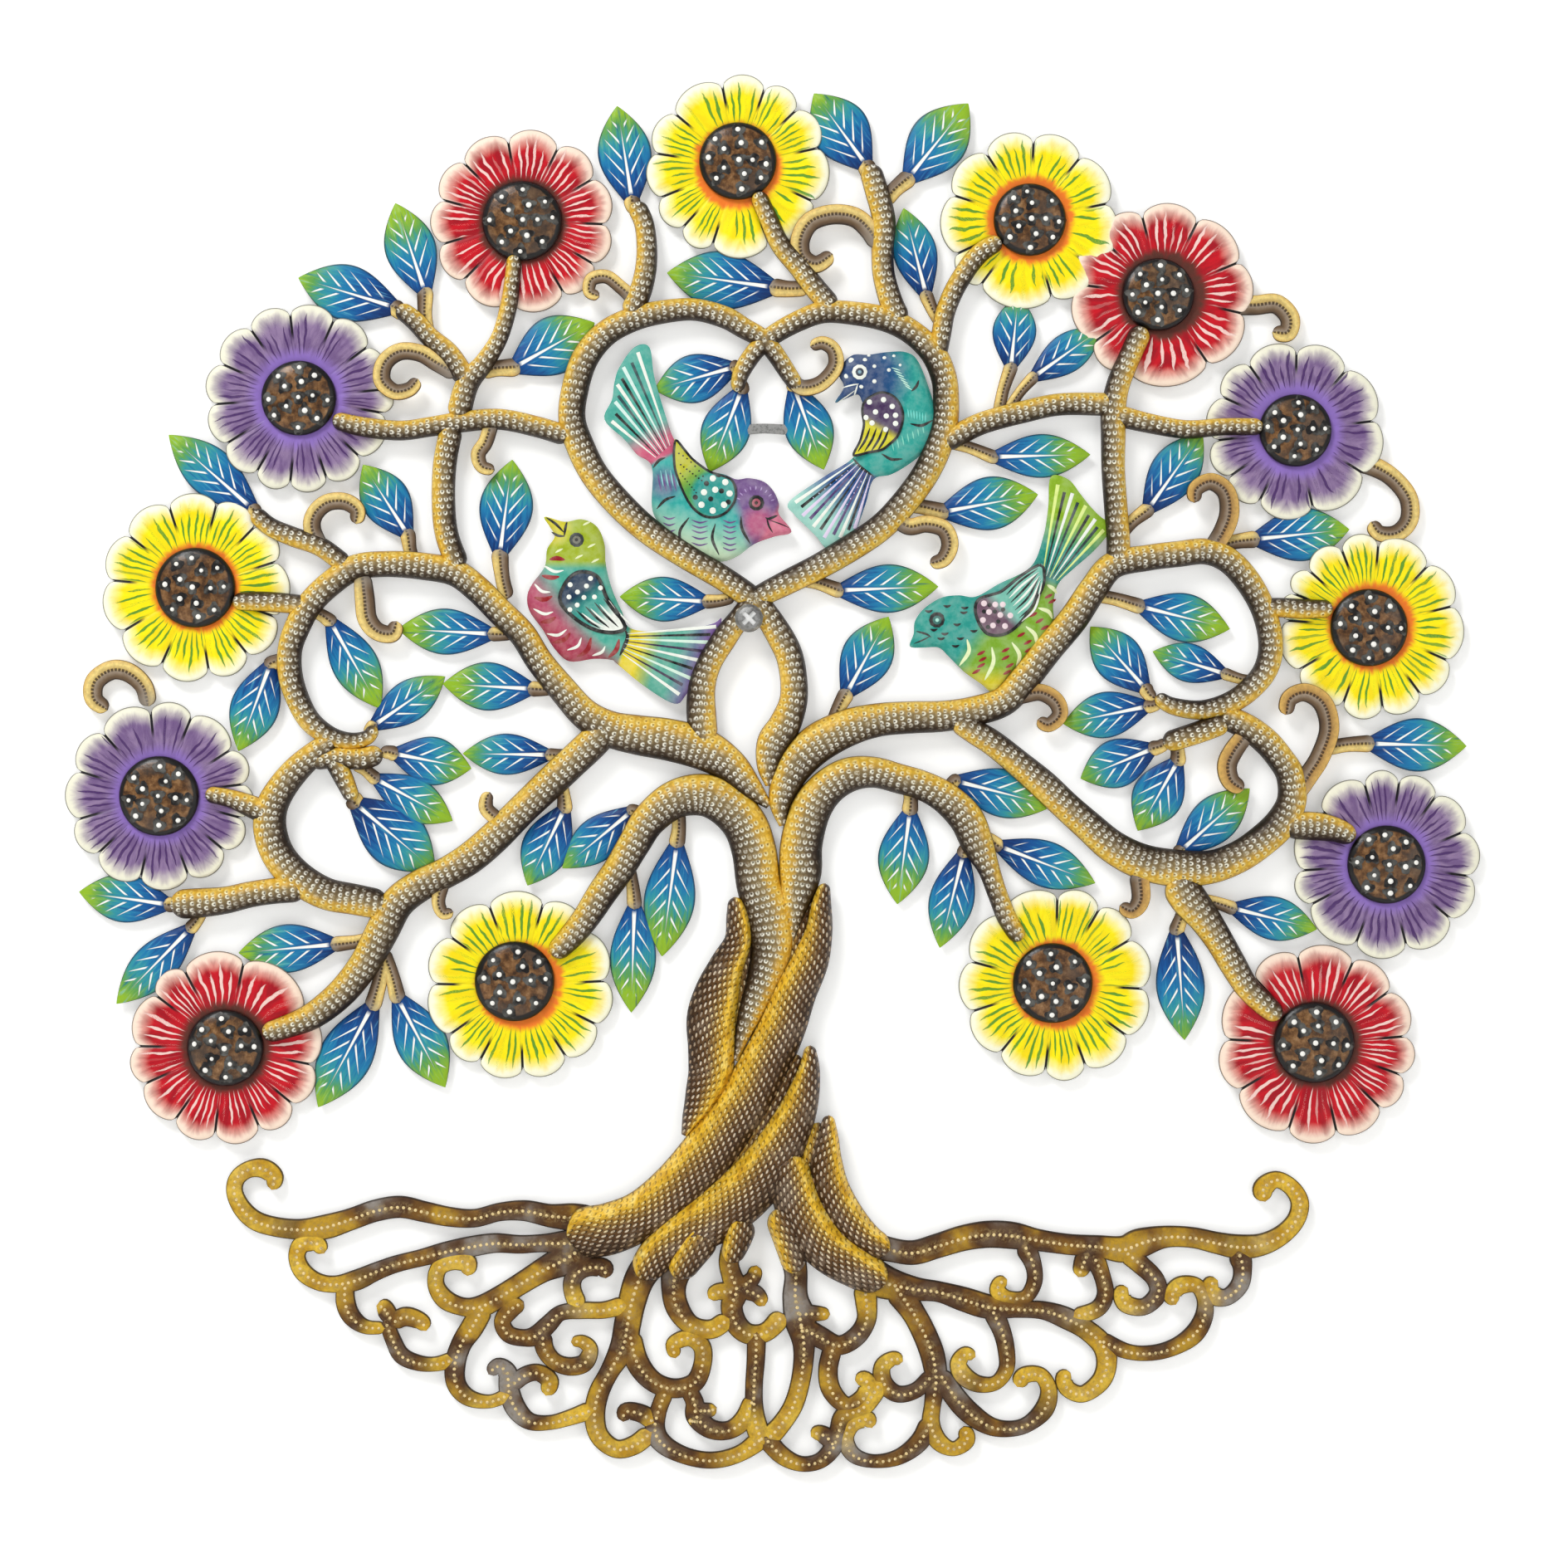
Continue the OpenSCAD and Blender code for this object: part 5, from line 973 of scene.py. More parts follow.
def petal_material(name, base, deep, blush, tip, stroke, outline, blush_reach):
    """Petals: blush at the disc, pale tips, lengthwise brush strokes and dark gaps."""
    ink = Ink(name)
    t, c, v, s, tone, u = ink.attributes("t", "c", "v", "s", "tone", "u")
    soft = ink.noise(1.0, place=ink.vector(t * 2.2, v * 0.35, tone * 37.0), detail=3)
    fine = ink.noise(550, detail=3)
    colour = ink.mix(soft.over(0.35, 0.65), base, deep)
    colour = ink.mix((t + (soft - 0.5) * 0.3).over(blush_reach, 0.02), colour, blush)
    pale = s + (soft - 0.5) * 5.0
    colour = ink.mix(pale.over(8.5, 3.0) * 0.5, colour, tip)
    colour = ink.mix(pale.over(4.6, 1.4), colour, tip)
    bent = c * 2.6 + (ink.noise(1.0, place=ink.vector(t * 1.6, tone * 53.0, c * 0.6)) - 0.5) * 1.5
    lane = bent.floor()
    dice = ink.chance(ink.vector(lane, tone * 91.0, 3.0))
    dice_end = ink.chance(ink.vector(lane, tone * 57.0, 8.0))
    middle = abs(bent - lane - 0.5)
    reach = dice_end * 0.35 + 0.55
    thick = t.over(0.02, 0.35) * (reach - t).over(0.0, 0.25) * 0.15
    line = middle.over(thick + 0.05, thick) * t.over(0.06, 0.14) * (reach - t).over(0.0, 0.05)
    line = line * dice.over(0.1, 0.2) * abs(c).over(0.97, 0.86)
    colour = ink.mix(line * 0.9, colour, stroke)
    gap = u.over(0.62, 0.42) * t.over(0.3, 0.5)
    colour = ink.mix(gap, colour, outline)
    colour = ink.mix(s.over(0.55, 0.25) * 0.75, colour, outline)
    return ink.finish(colour, 0.36 + 0.14 * fine, bump=soft * 0.6 - line * 0.5 + fine * 0.3,
                      depth=0.0003, coat=0.06)


def disc_material():
    """Flower centre: glossy mottled brown with a black rim."""
    ink = Ink("disc_gloss_paint")
    t = ink.attribute("t")
    mottle = ink.noise(300, detail=4, rough=0.65)
    colour = ink.ramp(mottle, [
        (0.28, (0.02, 0.009, 0.004)), (0.45, (0.10, 0.042, 0.012)), (0.58, (0.21, 0.10, 0.035)),
        (0.75, (0.34, 0.2, 0.09))])
    patch = ink.noise(70, detail=1)
    colour = ink.mix(patch.over(0.5, 0.66) * 0.6, colour, (0.06, 0.045, 0.035))
    wavy = t + (ink.noise(120, detail=2) - 0.5) * 0.12
    colour = ink.mix(wavy.over(0.84, 0.89), colour, (0.006, 0.005, 0.005))
    return ink.finish(colour, 0.3, bump=mottle, depth=0.0002, coat=0.12, gloss=0.3)


DEEPEN = 0.4    # how far painted colours are multiplied by themselves


def paint_material(name, rough=0.36, wear=0.12):
    """Hand-painted areas: the colour laid on each point, broken by brush noise."""
    ink = Ink(name)
    brush = ink.noise(220, detail=4, rough=0.6)
    fine = ink.noise(800, detail=3)
    deep = ink.mix(DEEPEN, ink.painted(), ink.painted(), "MULTIPLY")
    colour = ink.mix(brush.over(0.35, 0.7) * wear, deep, (0.9, 0.92, 0.85))
    colour = ink.mix(brush.over(0.5, 0.3) * wear, colour, (0.02, 0.03, 0.04))
    return ink.finish(colour, rough + 0.14 * fine, bump=brush + fine * 0.4, depth=0.00025,
                      coat=0.06)


def steel_material():
    """Brushed screw steel with darker patches."""
    ink = Ink("brushed_screw_steel")
    grain = ink.noise(900, detail=5, rough=0.7)
    patch = ink.noise(260, detail=2)
    colour = ink.ramp(grain, [(0.3, (0.16, 0.16, 0.16)), (0.7, (0.42, 0.42, 0.41))])
    colour = ink.mix(patch.over(0.5, 0.7) * 0.5, colour, (0.1, 0.095, 0.09))
    return ink.finish(colour, 0.3 + 0.25 * grain, metallic=0.6, bump=grain, depth=0.00008,
                      gloss=0.5)


def recess_highlight_material():
    """Steel of the cross recess, painted bright as a highlight."""
    ink = Ink("recess_painted_highlight_steel")
    grain = ink.noise(1200, detail=4)
    return ink.finish((0.86, 0.86, 0.85), 0.3, metallic=0.2, bump=grain, depth=0.00006)


BRANCH = branch_material("branch_hammered")
TRUNK = trunk_material("trunk_chiselled")
SCROLL = scroll_material("scroll_gilt")
BRONZE = scroll_material("scroll_bronze", outer=(0.6, 0.36, 0.1), middle=(0.33, 0.18, 0.06))
ROOT = root_material()
ROOT_BEADS = bead_material("root_bead_gilt", (0.85, 0.66, 0.32))
LEAF = leaf_material()
STRUT = bead_material("strut_bare_steel", (0.3, 0.3, 0.29))
DISC = disc_material()
PAINT = paint_material("bird_brush_paint")
PETALS = {
    "yellow": petal_material("yellow_petal_paint", (0.97, 0.84, 0.003), (0.93, 0.72, 0.003),
                             (0.88, 0.2, 0.02), (0.97, 0.95, 0.72), (0.035, 0.27, 0.03),
                             (0.012, 0.012, 0.01), blush_reach=0.17),
    "red": petal_material("red_petal_paint", (0.58, 0.004, 0.014), (0.36, 0.003, 0.012),
                          (0.11, 0.03, 0.02), (0.95, 0.76, 0.62), (0.94, 0.68, 0.62),
                          (0.012, 0.008, 0.008), blush_reach=0.2),
    "purple": petal_material("purple_petal_paint", (0.28, 0.19, 0.34), (0.17, 0.1, 0.24),
                             (0.27, 0.16, 0.52), (0.86, 0.84, 0.68), (0.06, 0.02, 0.12),
                             (0.01, 0.008, 0.012), blush_reach=0.3)}


# ---------- branches, trunk and roots ----------
def branch_piece(name, paths, gold, scrolls=(), bronze=False):
    """A node of branches: its formed bands, and its flat scrolls a little above their roots."""
    shape = Shape()
    sides = gold if isinstance(gold, list) else [gold] * len(paths)
    for i, (path, side) in enumerate(zip(paths, sides)):
        band(shape, path, side, tone=0.37 * i + 0.11, lift=-0.12 * i)
    for i, path in enumerate(scrolls):
        ribbon(shape, path, -turning(path), slot=1, tone=0.23 * i + 0.4, lift=0.05 * i)
    return shape.build(name + "_metal", [BRANCH, BRONZE if bronze else SCROLL], slot="branch_gilt",
                       replaces=[name])


TRUNK_WEBS = [
    [[24, -108, 8], [21, -122, 9], [17, -138, 8], [12, -152, 7]],
    [[20, -175, 7], [16, -182, 9], [8, -197, 10], [0, -213, 10], [-10, -224, 8]],
    [[28, -202, 6], [27, -208, 9], [24, -220, 9]],
    [[1, -122, 6], [-1, -138, 7], [-3, -155, 7], [-5, -172, 6]]]
WEB_RISE = 3.4


def trunk_piece(name, paths, gold, rise, lift=0.0, webs=()):
    """Trunk strands, and the low webs of sheet that close the gaps behind them."""
    shape = Shape()
    for path in webs:
        band(shape, path, -1, rise=WEB_RISE, base=BRANCH_BASE * 0.5, profile=trunk_profile,
             marks=dashed, depth=DASH_DEPTH, tone=0.7)
    for i, (path, side) in enumerate(zip(paths, gold)):
        band(shape, path, side, rise=rise, profile=trunk_profile, marks=dashed,
             depth=DASH_DEPTH, tone=0.31 * i + 0.17, lift=lift - 0.15 * i)
    return shape.build(name + "_metal", [TRUNK], slot="trunk_patina", replaces=[name])


ROOT_BEAD_PITCH = 2.4


def root_piece(name, paths):
    """A flat network of roots, with a row of chased beads down each."""
    shape = Shape()
    for i, path in enumerate(paths):
        lift = 0.02 * (i % 9)
        ribbon(shape, path, 1, thick=BRANCH_BASE, base=0.0, lift=lift, crown=0.9,
               tone=0.21 * i, step=0.8)
        places, width, _, _ = route(path, ROOT_BEAD_PITCH)
        for (x, z), wide in zip(places[1:-1], width[1:-1]):
            bead(shape, x, z, BRANCH_BASE + lift - 0.12, 0.55 + 0.02 * wide, 0.4, slot=1)
    return shape.build(name + "_metal", [ROOT, ROOT_BEADS], slot="root_patina", replaces=[name])


branch_piece("droop_left", [DROOP_LEFT], 1)
branch_piece("droop_right", [DROOP_RIGHT], -1)
branch_piece("heart_a", [HEART_A] + HEART_A_STEMS, -1, HEART_A_SCROLLS)
branch_piece("heart_b", [HEART_B] + HEART_B_STEMS, [1, -1], HEART_B_SCROLLS)
branch_piece("crown_left", CROWN_LEFT, [1, -1, 1, -1], CROWN_LEFT_SCROLLS)
branch_piece("crown_right", CROWN_RIGHT, [1, -1, 1])
branch_piece("limb_left", LIMB_LEFT, -1, LIMB_LEFT_SCROLLS)
branch_piece("limb_left_low", LIMB_LEFT_LOW, -1, LIMB_LEFT_LOW_SCROLLS)
branch_piece("loop_left", LOOP_LEFT, [1, -1, 1, 1, 1])
branch_piece("limb_right", LIMB_RIGHT, 1, LIMB_RIGHT_SCROLLS, bronze=True)
branch_piece("loop_right", LOOP_RIGHT, [-1, -1, 1, 1], LOOP_RIGHT_SCROLLS, bronze=True)
trunk_piece("trunk_left", [TRUNK_LEFT], [1], TRUNK_RISE * 0.8)
trunk_piece("trunk_right", [TRUNK_RIGHT], [-1], TRUNK_RISE)
trunk_piece("trunk_base", TRUNK_BASE, [-1, 1, -1, -1, -1], TRUNK_RISE, lift=0.5,
            webs=TRUNK_WEBS)
trunk_piece("trunk_flare", [TRUNK_FLARE], [1], TRUNK_RISE * 0.8)
root_piece("roots_left", ROOTS_LEFT)
root_piece("roots_middle", ROOTS_MIDDLE)
root_piece("roots_right", ROOTS_RIGHT)


# ---------- leaves ----------
LEAF_BASE = 0.15
LEAF_FULLNESS = 1.09


def leaf_half(t):
    """Half the width of a leaf at a share t of its length, for a leaf about 1 wide."""
    swell = 0.5 * np.sin(math.pi * t ** 1.15).clip(0) ** 0.9
    return (LEAF_BASE * (1 - t) + swell * (1 - LEAF_BASE * t)) / LEAF_FULLNESS


def leaf(shape, base_x, base_z, tip_x, tip_z, width, end_x, end_z, tone):
    """A domed, creased leaf, with its sheath back to the branch."""
    along = np.array([tip_x - base_x, tip_z - base_z], float)
    length = np.hypot(*along)
    along /= length
    left = np.array([-along[1], along[0]])
    t = np.linspace(0, 1, int(length / 0.7))
    c = rounded(-1, 1, 27)
    half = np.maximum(leaf_half(t) * width, 0.02)
    side = half[:, None] * c[None, :]
    run = (t * length)[:, None]
    dome = 1.5 * (1 - c[None, :] ** 2) ** 0.8 * np.minimum(1, half / 4)[:, None]
    crease = 0.5 * np.exp(-(side / 0.9) ** 2) * np.minimum(1, half / 3)[:, None]
    vein = np.mod((run - np.abs(side) * VEIN_SLOPE) / VEIN_PITCH + VEIN_START, 1) - 0.5
    veins = 0.16 * np.exp(-(vein / 0.1) ** 2) * (np.abs(side) > 1.3) * (np.abs(c) < 0.8)[None, :]
    height = 0.7 + dome - crease * 0.6 + veins
    place = np.array([base_x, base_z]) + run[:, :, None] * along + side[:, :, None] * left
    front = raised(place, height)
    back = raised(place[:, ::-1], np.zeros(place.shape[:2]))
    both_c = np.concatenate([c, c[::-1]])[None, :]
    behind = np.repeat([0.0, 1.0], len(c))[None, :]
    shape.grid(np.concatenate([front, back], 1), closed=True, c=both_c, t=t[:, None], s=run,
               u=behind, v=np.concatenate([side, side[:, ::-1]], 1), tone=tone)
    end = np.array([end_x, end_z], float)
    base = np.array([base_x, base_z], float)
    middle = base * 0.5 + end * 0.5 + left * 0.6
    start = base + along * 2.0
    wide = width * 0.32
    path = [[*start, wide * 0.9], [*base, wide], [*middle, wide * 0.86], [*end, wide * 0.9]]
    ribbon(shape, path, 1 if tone > 0.5 else -1, thick=1.5, base=1.0, slot=1, tone=tone, crown=0.8)


HEART_STRUT = [[-2, 76, 4.2], [6, 76.5, 4], [16, 76, 4.2]]


def leaf_piece(name, leaves, behind=(), struts=()):
    """Leaves on their sheaths, with curls behind flowers and plain struts between leaves."""
    shape = Shape()
    dice = random.Random(name)
    for path in struts:
        ribbon(shape, path, 1, thick=1.1, base=0.1, slot=2, crown=0.3, tone=0.2)
    for row in leaves:
        leaf(shape, *row, dice.random())
    for path in behind:
        ribbon(shape, path, -turning(path), thick=2.0, base=0.0, slot=1, crown=0.7)
    return shape.build(name + "_sheet", [LEAF, SCROLL, STRUT], slot="leaf_paint", replaces=[name])


leaf_piece("leaves_crown_left", LEAVES_CROWN_LEFT, struts=[HEART_STRUT])
leaf_piece("leaves_crown_right", LEAVES_CROWN_RIGHT, BEHIND_RIGHT)
leaf_piece("leaves_side_left", LEAVES_SIDE_LEFT, BEHIND_LEFT)
leaf_piece("leaves_side_right", LEAVES_SIDE_RIGHT)
leaf_piece("leaves_low", LEAVES_LOW)


# ---------- flowers ----------
PETAL_COLUMNS = 19
PETAL_ROWS = 24
DISC_SIDES = 72
HALO_REACH = 2.7


def petal_edge(reach, t, notch):
    """Distance of a petal's edge from the flower's middle, at a share t of its turn."""
    return reach - notch * (1 - np.sin(math.pi * t).clip(0) ** 0.5)


def petals(shape, x, z, reach, notches, dice):
    """One puffy petal between each two notches, all of one sheet."""
    turns = list(notches) + [notches[0] + 360]
    for first, last in zip(turns, turns[1:]):
        last = last + 360 if last < first else last
        share = np.linspace(0, 1, PETAL_COLUMNS)
        angle = np.radians(first + (last - first) * share)
        edge = petal_edge(reach, share, dice.uniform(4.4, 5.8))
        inner = np.linspace(0, 1, PETAL_ROWS) ** 0.8
        radius = inner[:, None] * edge[None, :]
        c = (share * 2 - 1)[None, :]
        from_disc = ((radius - DISC_R) / (reach - DISC_R)).clip(0)
        gap = np.minimum(share, 1 - share)[None, :] * math.radians(last - first) * radius
        to_edge = edge[None, :] - radius
        puff = np.sqrt(np.clip(gap / 4.5, 0, 1)) * np.sqrt(np.clip(to_edge / 5.0, 0, 1))
        height = PETAL_BASE + 0.5 + dice.uniform(1.2, 1.7) * puff * from_disc ** 0.4
        height = height - 0.35 * np.exp(-(c / 0.16) ** 2) * from_disc * puff
        place = np.stack([x + radius * np.cos(angle), z + radius * np.sin(angle)], 2)
        front = raised(place, height)
        rim = front[-1:].copy()
        rim[:, :, 2] = PETAL_BASE
        middle = rim * 0 + np.array([x, z, PETAL_BASE])
        sheet = np.concatenate([front, rim, middle], 0)[:, ::-1]
        from_disc, to_edge, gap = (
            np.concatenate([value, np.zeros((2, PETAL_COLUMNS))], 0)[:, ::-1]
            for value in (from_disc, to_edge, gap))
        shape.grid(sheet, c=np.broadcast_to(c, gap.shape)[:, ::-1], tone=dice.random(),
                   t=from_disc, s=to_edge, v=gap, u=gap)


def disc(shape, x, z, radius, dice):
    """A domed centre with pale dots, each in an uneven dark halo."""
    around = np.linspace(0, 2 * math.pi, DISC_SIDES, endpoint=False)
    share = np.array([0, 0.15, 0.3, 0.45, 0.6, 0.72, 0.82, 0.9, 0.95, 0.985, 1.0, 1.0])
    height = DISC_RISE * np.array([1, 0.995, 0.98, 0.95, 0.89, 0.8, 0.69, 0.56, 0.44, 0.3, 0.15, 0])
    rings = np.stack([x + radius * share[:, None] * np.cos(around)[None, :],
                      z + radius * share[:, None] * np.sin(around)[None, :],
                      BRANCH_BASE + np.repeat(height[:, None], DISC_SIDES, 1)], 2)
    shape.grid(rings[:, ::-1], closed=True, t=share[:, None])

    def dome(distance):
        return BRANCH_BASE + np.interp(distance / radius, share, height)
    spots = [(0.0, 0.0)]
    spots += [(0.42 * radius, 72 * k + dice.uniform(-12, 12)) for k in range(5)]
    spots += [(0.76 * radius, 45 * k + dice.uniform(-9, 9)) for k in range(8)]
    for distance, angle in spots:
        distance += dice.uniform(-0.6, 0.6)
        px = x + distance * math.cos(math.radians(angle))
        pz = z + distance * math.sin(math.radians(angle))
        rows = []
        for share_out in (0.0, 0.5, 1.0):
            wobble = 1 + 0.22 * np.sin(around[::4] * 3 + angle) + 0.12 * np.sin(around[::4] * 5)
            reach = HALO_REACH * share_out * wobble
            hx = px + reach * np.cos(around[::4])
            hz = pz + reach * np.sin(around[::4])
            rows.append(np.stack([hx, hz, dome(np.hypot(hx - x, hz - z)) + 0.2], 1))
        shape.grid(np.array(rows)[:, ::-1], slot=1, closed=True, paint=(0.012, 0.008, 0.007))
        bead(shape, px, pz, dome(abs(distance)) + 0.12, dice.uniform(0.85, 1.2), 0.5, slot=1,
             paint=(0.95, 0.94, 0.9), sides=10)


for flower, (x, z, radius), (ring_x, ring_z, reach), notches in FLOWERS:
    dice = random.Random(flower)
    colour = flower.split("_")[0]
    ring = Shape()
    petals(ring, ring_x, ring_z, reach, notches, dice)
    ring.build("petals_" + flower + "_sheet", [PETALS[colour]], slot=colour + "_petals",
               replaces=["petals_" + flower])
    centre = Shape()
    disc(centre, x, z, radius, dice)
    centre.build("centre_" + flower + "_dome", [DISC, PAINT], slot="centre_paint",
                 replaces=["centre_" + flower])


# ---------- birds ----------
WHITE = (0.9, 0.92, 0.86)
INK_BLACK = (0.012, 0.012, 0.014)
TURQUOISE = (0.05, 0.5, 0.46)
PURPLE = (0.2, 0.1, 0.32)
PINK = (0.7, 0.16, 0.28)
YELLOW = (0.85, 0.72, 0.02)
LIME = (0.35, 0.55, 0.02)
CRIMSON = (0.4, 0.01, 0.02)
BELLY = (0.78, 0.85, 0.6)
NIGHT_BLUE = (0.01, 0.06, 0.22)


def closed_curve(points, pieces=6):
    """Points along a smooth closed curve through given points."""
    p1 = np.array(points, float)[:, None]
    p0, p2, p3 = (np.roll(p1, shift, 0) for shift in (1, -1, -2))
    t = np.linspace(0, 1, pieces, endpoint=False)[None, :, None]
    return spline(p0, p1, p2, p3, t).reshape(-1, 2)


def edge_distance(points, outline):
    """Distance of each point inward from a closed outline; negative outside it."""
    a = outline
    b = np.roll(outline, -1, 0)
    run = b - a
    to = points[:, None, :] - a[None]
    share = np.clip((to * run).sum(2) / (run ** 2).sum(1), 0, 1)
    distance = np.linalg.norm(to - share[:, :, None] * run[None], axis=2).min(1)
    x, z = points[:, 0:1], points[:, 1:2]
    crosses = (a[:, 1] > z) != (b[:, 1] > z)
    drop = np.where(run[:, 1] == 0, 1e-9, run[:, 1])
    left = x < (z - a[:, 1]) * run[:, 0] / drop + a[:, 0]
    inside = (crosses & left).sum(1) % 2 == 1
    return np.where(inside, distance, -distance)


def beyond(points, at, towards, soft):
    """0 behind a line through at, 1 beyond it in the direction of towards."""
    way = np.array(towards, float) - at
    way /= np.linalg.norm(way)
    return np.clip(((points - np.array(at)) @ way) / soft + 0.5, 0, 1)


def near(points, at, reach, soft):
    away = np.linalg.norm(points - np.array(at), axis=1)
    return np.clip((reach - away) / soft + 0.5, 0, 1)


def tinted(colours, share, new):
    return colours * (1 - share[:, None]) + np.array(new) * share[:, None]


class Plate:
    """A sheet cut to an outline and beaten up into a cushion shape, painted with strokes."""

    def __init__(self, outline, base, rise, spread, flat_at=None):
        self.outline = closed_curve(outline)
        self.base = base
        self.rise = rise
        self.spread = spread
        self.flat_at = flat_at
        self.shape = Shape()

    def height(self, points):
        inward = np.clip(edge_distance(points, self.outline) / self.spread, 0, 1)
        rise = np.full(len(points), self.rise)
        if self.flat_at:
            rise = rise * (1 - 0.65 * beyond(points, self.flat_at[0], self.flat_at[1], 10))
        return self.base + GAUGE * 0.6 + rise * np.sqrt(1 - (1 - inward) ** 2)

    def fill(self, colour_of, pitch=0.8):
        low = self.outline.min(0)
        high = self.outline.max(0)
        xs, zs = np.meshgrid(np.arange(low[0], high[0], pitch), np.arange(low[1], high[1], pitch))
        xs[::2] += pitch / 2
        points = np.stack([xs.ravel(), zs.ravel()], 1)
        points = points[edge_distance(points, self.outline) > pitch * 0.45]
        both = np.vstack([self.outline, points])
        count = len(self.outline)
        made = geometry.delaunay_2d_cdt([Vector(p) for p in both], [], [list(range(count))], 1, 1e-6)
        flat = np.array([tuple(p) for p in made[0]])
        tris = np.array([face for face in made[2] if len(face) == 3])
        top = np.column_stack([flat, self.height(flat)])
        self.shape.mesh(top, tris, paint=colour_of(flat))
        under = np.column_stack([flat, np.full(len(flat), self.base)])
        self.shape.mesh(under, tris[:, ::-1], paint=(0.05, 0.045, 0.04))
        loop = np.vstack([self.outline, self.outline[:1]])
        rim = np.column_stack([loop, self.height(loop)])
        skirt = np.stack([rim, np.column_stack([loop, np.full(len(loop), self.base)])])
        self.shape.grid(skirt[::-1], paint=(0.03, 0.03, 0.03))

    def lay(self, places, normal, half, bulge, colour):
        """A painted line of half-widths half, which bulges off the sheet."""
        side = half[:, None] * np.array([-1.0, 0.0, 1.0])[None, :]
        spots = beside(places, normal, side)
        high = self.height(spots.reshape(-1, 2)).reshape(side.shape) + bulge
        self.shape.grid(raised(spots, high), paint=colour)

    def stroke(self, points, colour, width=0.9, lift=0.12, pointed=True):
        """A brush stroke that thins to both ends and lies just above the sheet."""
        path = [[x, z, width] for x, z in points]
        places, _, normal, at = route(path, 0.7)
        share = at / at[-1]
        half = width / 2 * (np.sin(math.pi * share.clip(0.02, 0.98)) ** 0.55 if pointed
                            else np.ones(len(at)))
        self.lay(places, normal, half, lift * np.array([0.3, 1.0, 0.3]), colour)

    def feather(self, root, tip, colour, thin=0.4, wide=2.0, lift=0.12):
        """A stroke that widens from the root of the tail to its tip."""
        path = [[*root, thin], [*((np.array(root) + tip) / 2), (thin + wide) / 2], [*tip, wide]]
        places, width, normal, _ = route(path, 0.8)
        self.lay(places, normal, width / 2, lift * np.array([0.2, 1.6, 0.2]), colour)

    def dot(self, x, z, radius, colour, rise=0.25):
        high = float(self.height(np.array([[x, z]]))[0])
        bead(self.shape, x, z, high - 0.03, radius, rise, paint=colour, sides=10)

    def eye(self, x, z, radius, ring, white, pupil):
        self.dot(x, z, radius, ring, 0.45)
        self.dot(x, z, radius * 0.7, white, 0.62)
        self.dot(x, z, radius * 0.36, pupil, 0.8)

    def tail(self, roots, tips, pale, dark, inset=1.2):
        """Feathers fanned between two root points: a pale stroke down each, dark between."""
        first, last = (np.array(root, float) for root in roots)
        count = len(tips)
        for i, tip in enumerate(tips):
            root = first + (last - first) * (i + 0.5) / count
            tip = np.array(tip, float)
            tip = tip + (root - tip) / np.linalg.norm(root - tip) * inset
            self.feather(root, tip, pale[i % len(pale)], 0.3, 1.5)
            if i + 1 < count:
                between = (tip + np.array(tips[i + 1], float)) / 2
                between = between + (root - between) / np.linalg.norm(root - between) * inset * 1.6
                gap_root = first + (last - first) * (i + 1) / count
                self.feather(gap_root, between, dark[i % len(dark)], 0.3, 1.3, lift=0.08)

    def border(self, width=1.0):
        middle = self.outline.mean(0)
        inner = self.outline + (middle - self.outline) * (width / 2 / np.linalg.norm(
            middle - self.outline, axis=1))[:, None]
        loop = np.vstack([inner, inner[:1]])
        self.stroke(loop[::3], INK_BLACK, width, lift=0.1, pointed=False)

    def build(self, name, slot, node):
        return self.shape.build(name, [PAINT], slot=slot, replaces=[node])


BIRD_CUSHION = 3.0     # rise of a bird's sheet
BIRD_ROUNDING = 9.0    # width of its rounded margin
WING_CUSHION = 0.9
WING_ROUNDING = 3.0
WING_PITCH = 0.7       # spacing of the points of a wing's sheet


def bird_plate(outline, flat_at):
    return Plate(outline, PETAL_BASE, BIRD_CUSHION, BIRD_ROUNDING, flat_at)


def wing_plate(outline):
    return Plate(outline, BRANCH_BASE + BIRD_RISE, WING_CUSHION, WING_ROUNDING)


def painter(base, *layers):
    """Gives points their colours: a base, with each layer tinted over what is below it."""
    def colours_at(points):
        colours = np.tile(np.array(base), (len(points), 1))
        for strength, reach, *where, colour in layers:
            colours = tinted(colours, strength * reach(points, *where), colour)
        return colours
    return colours_at


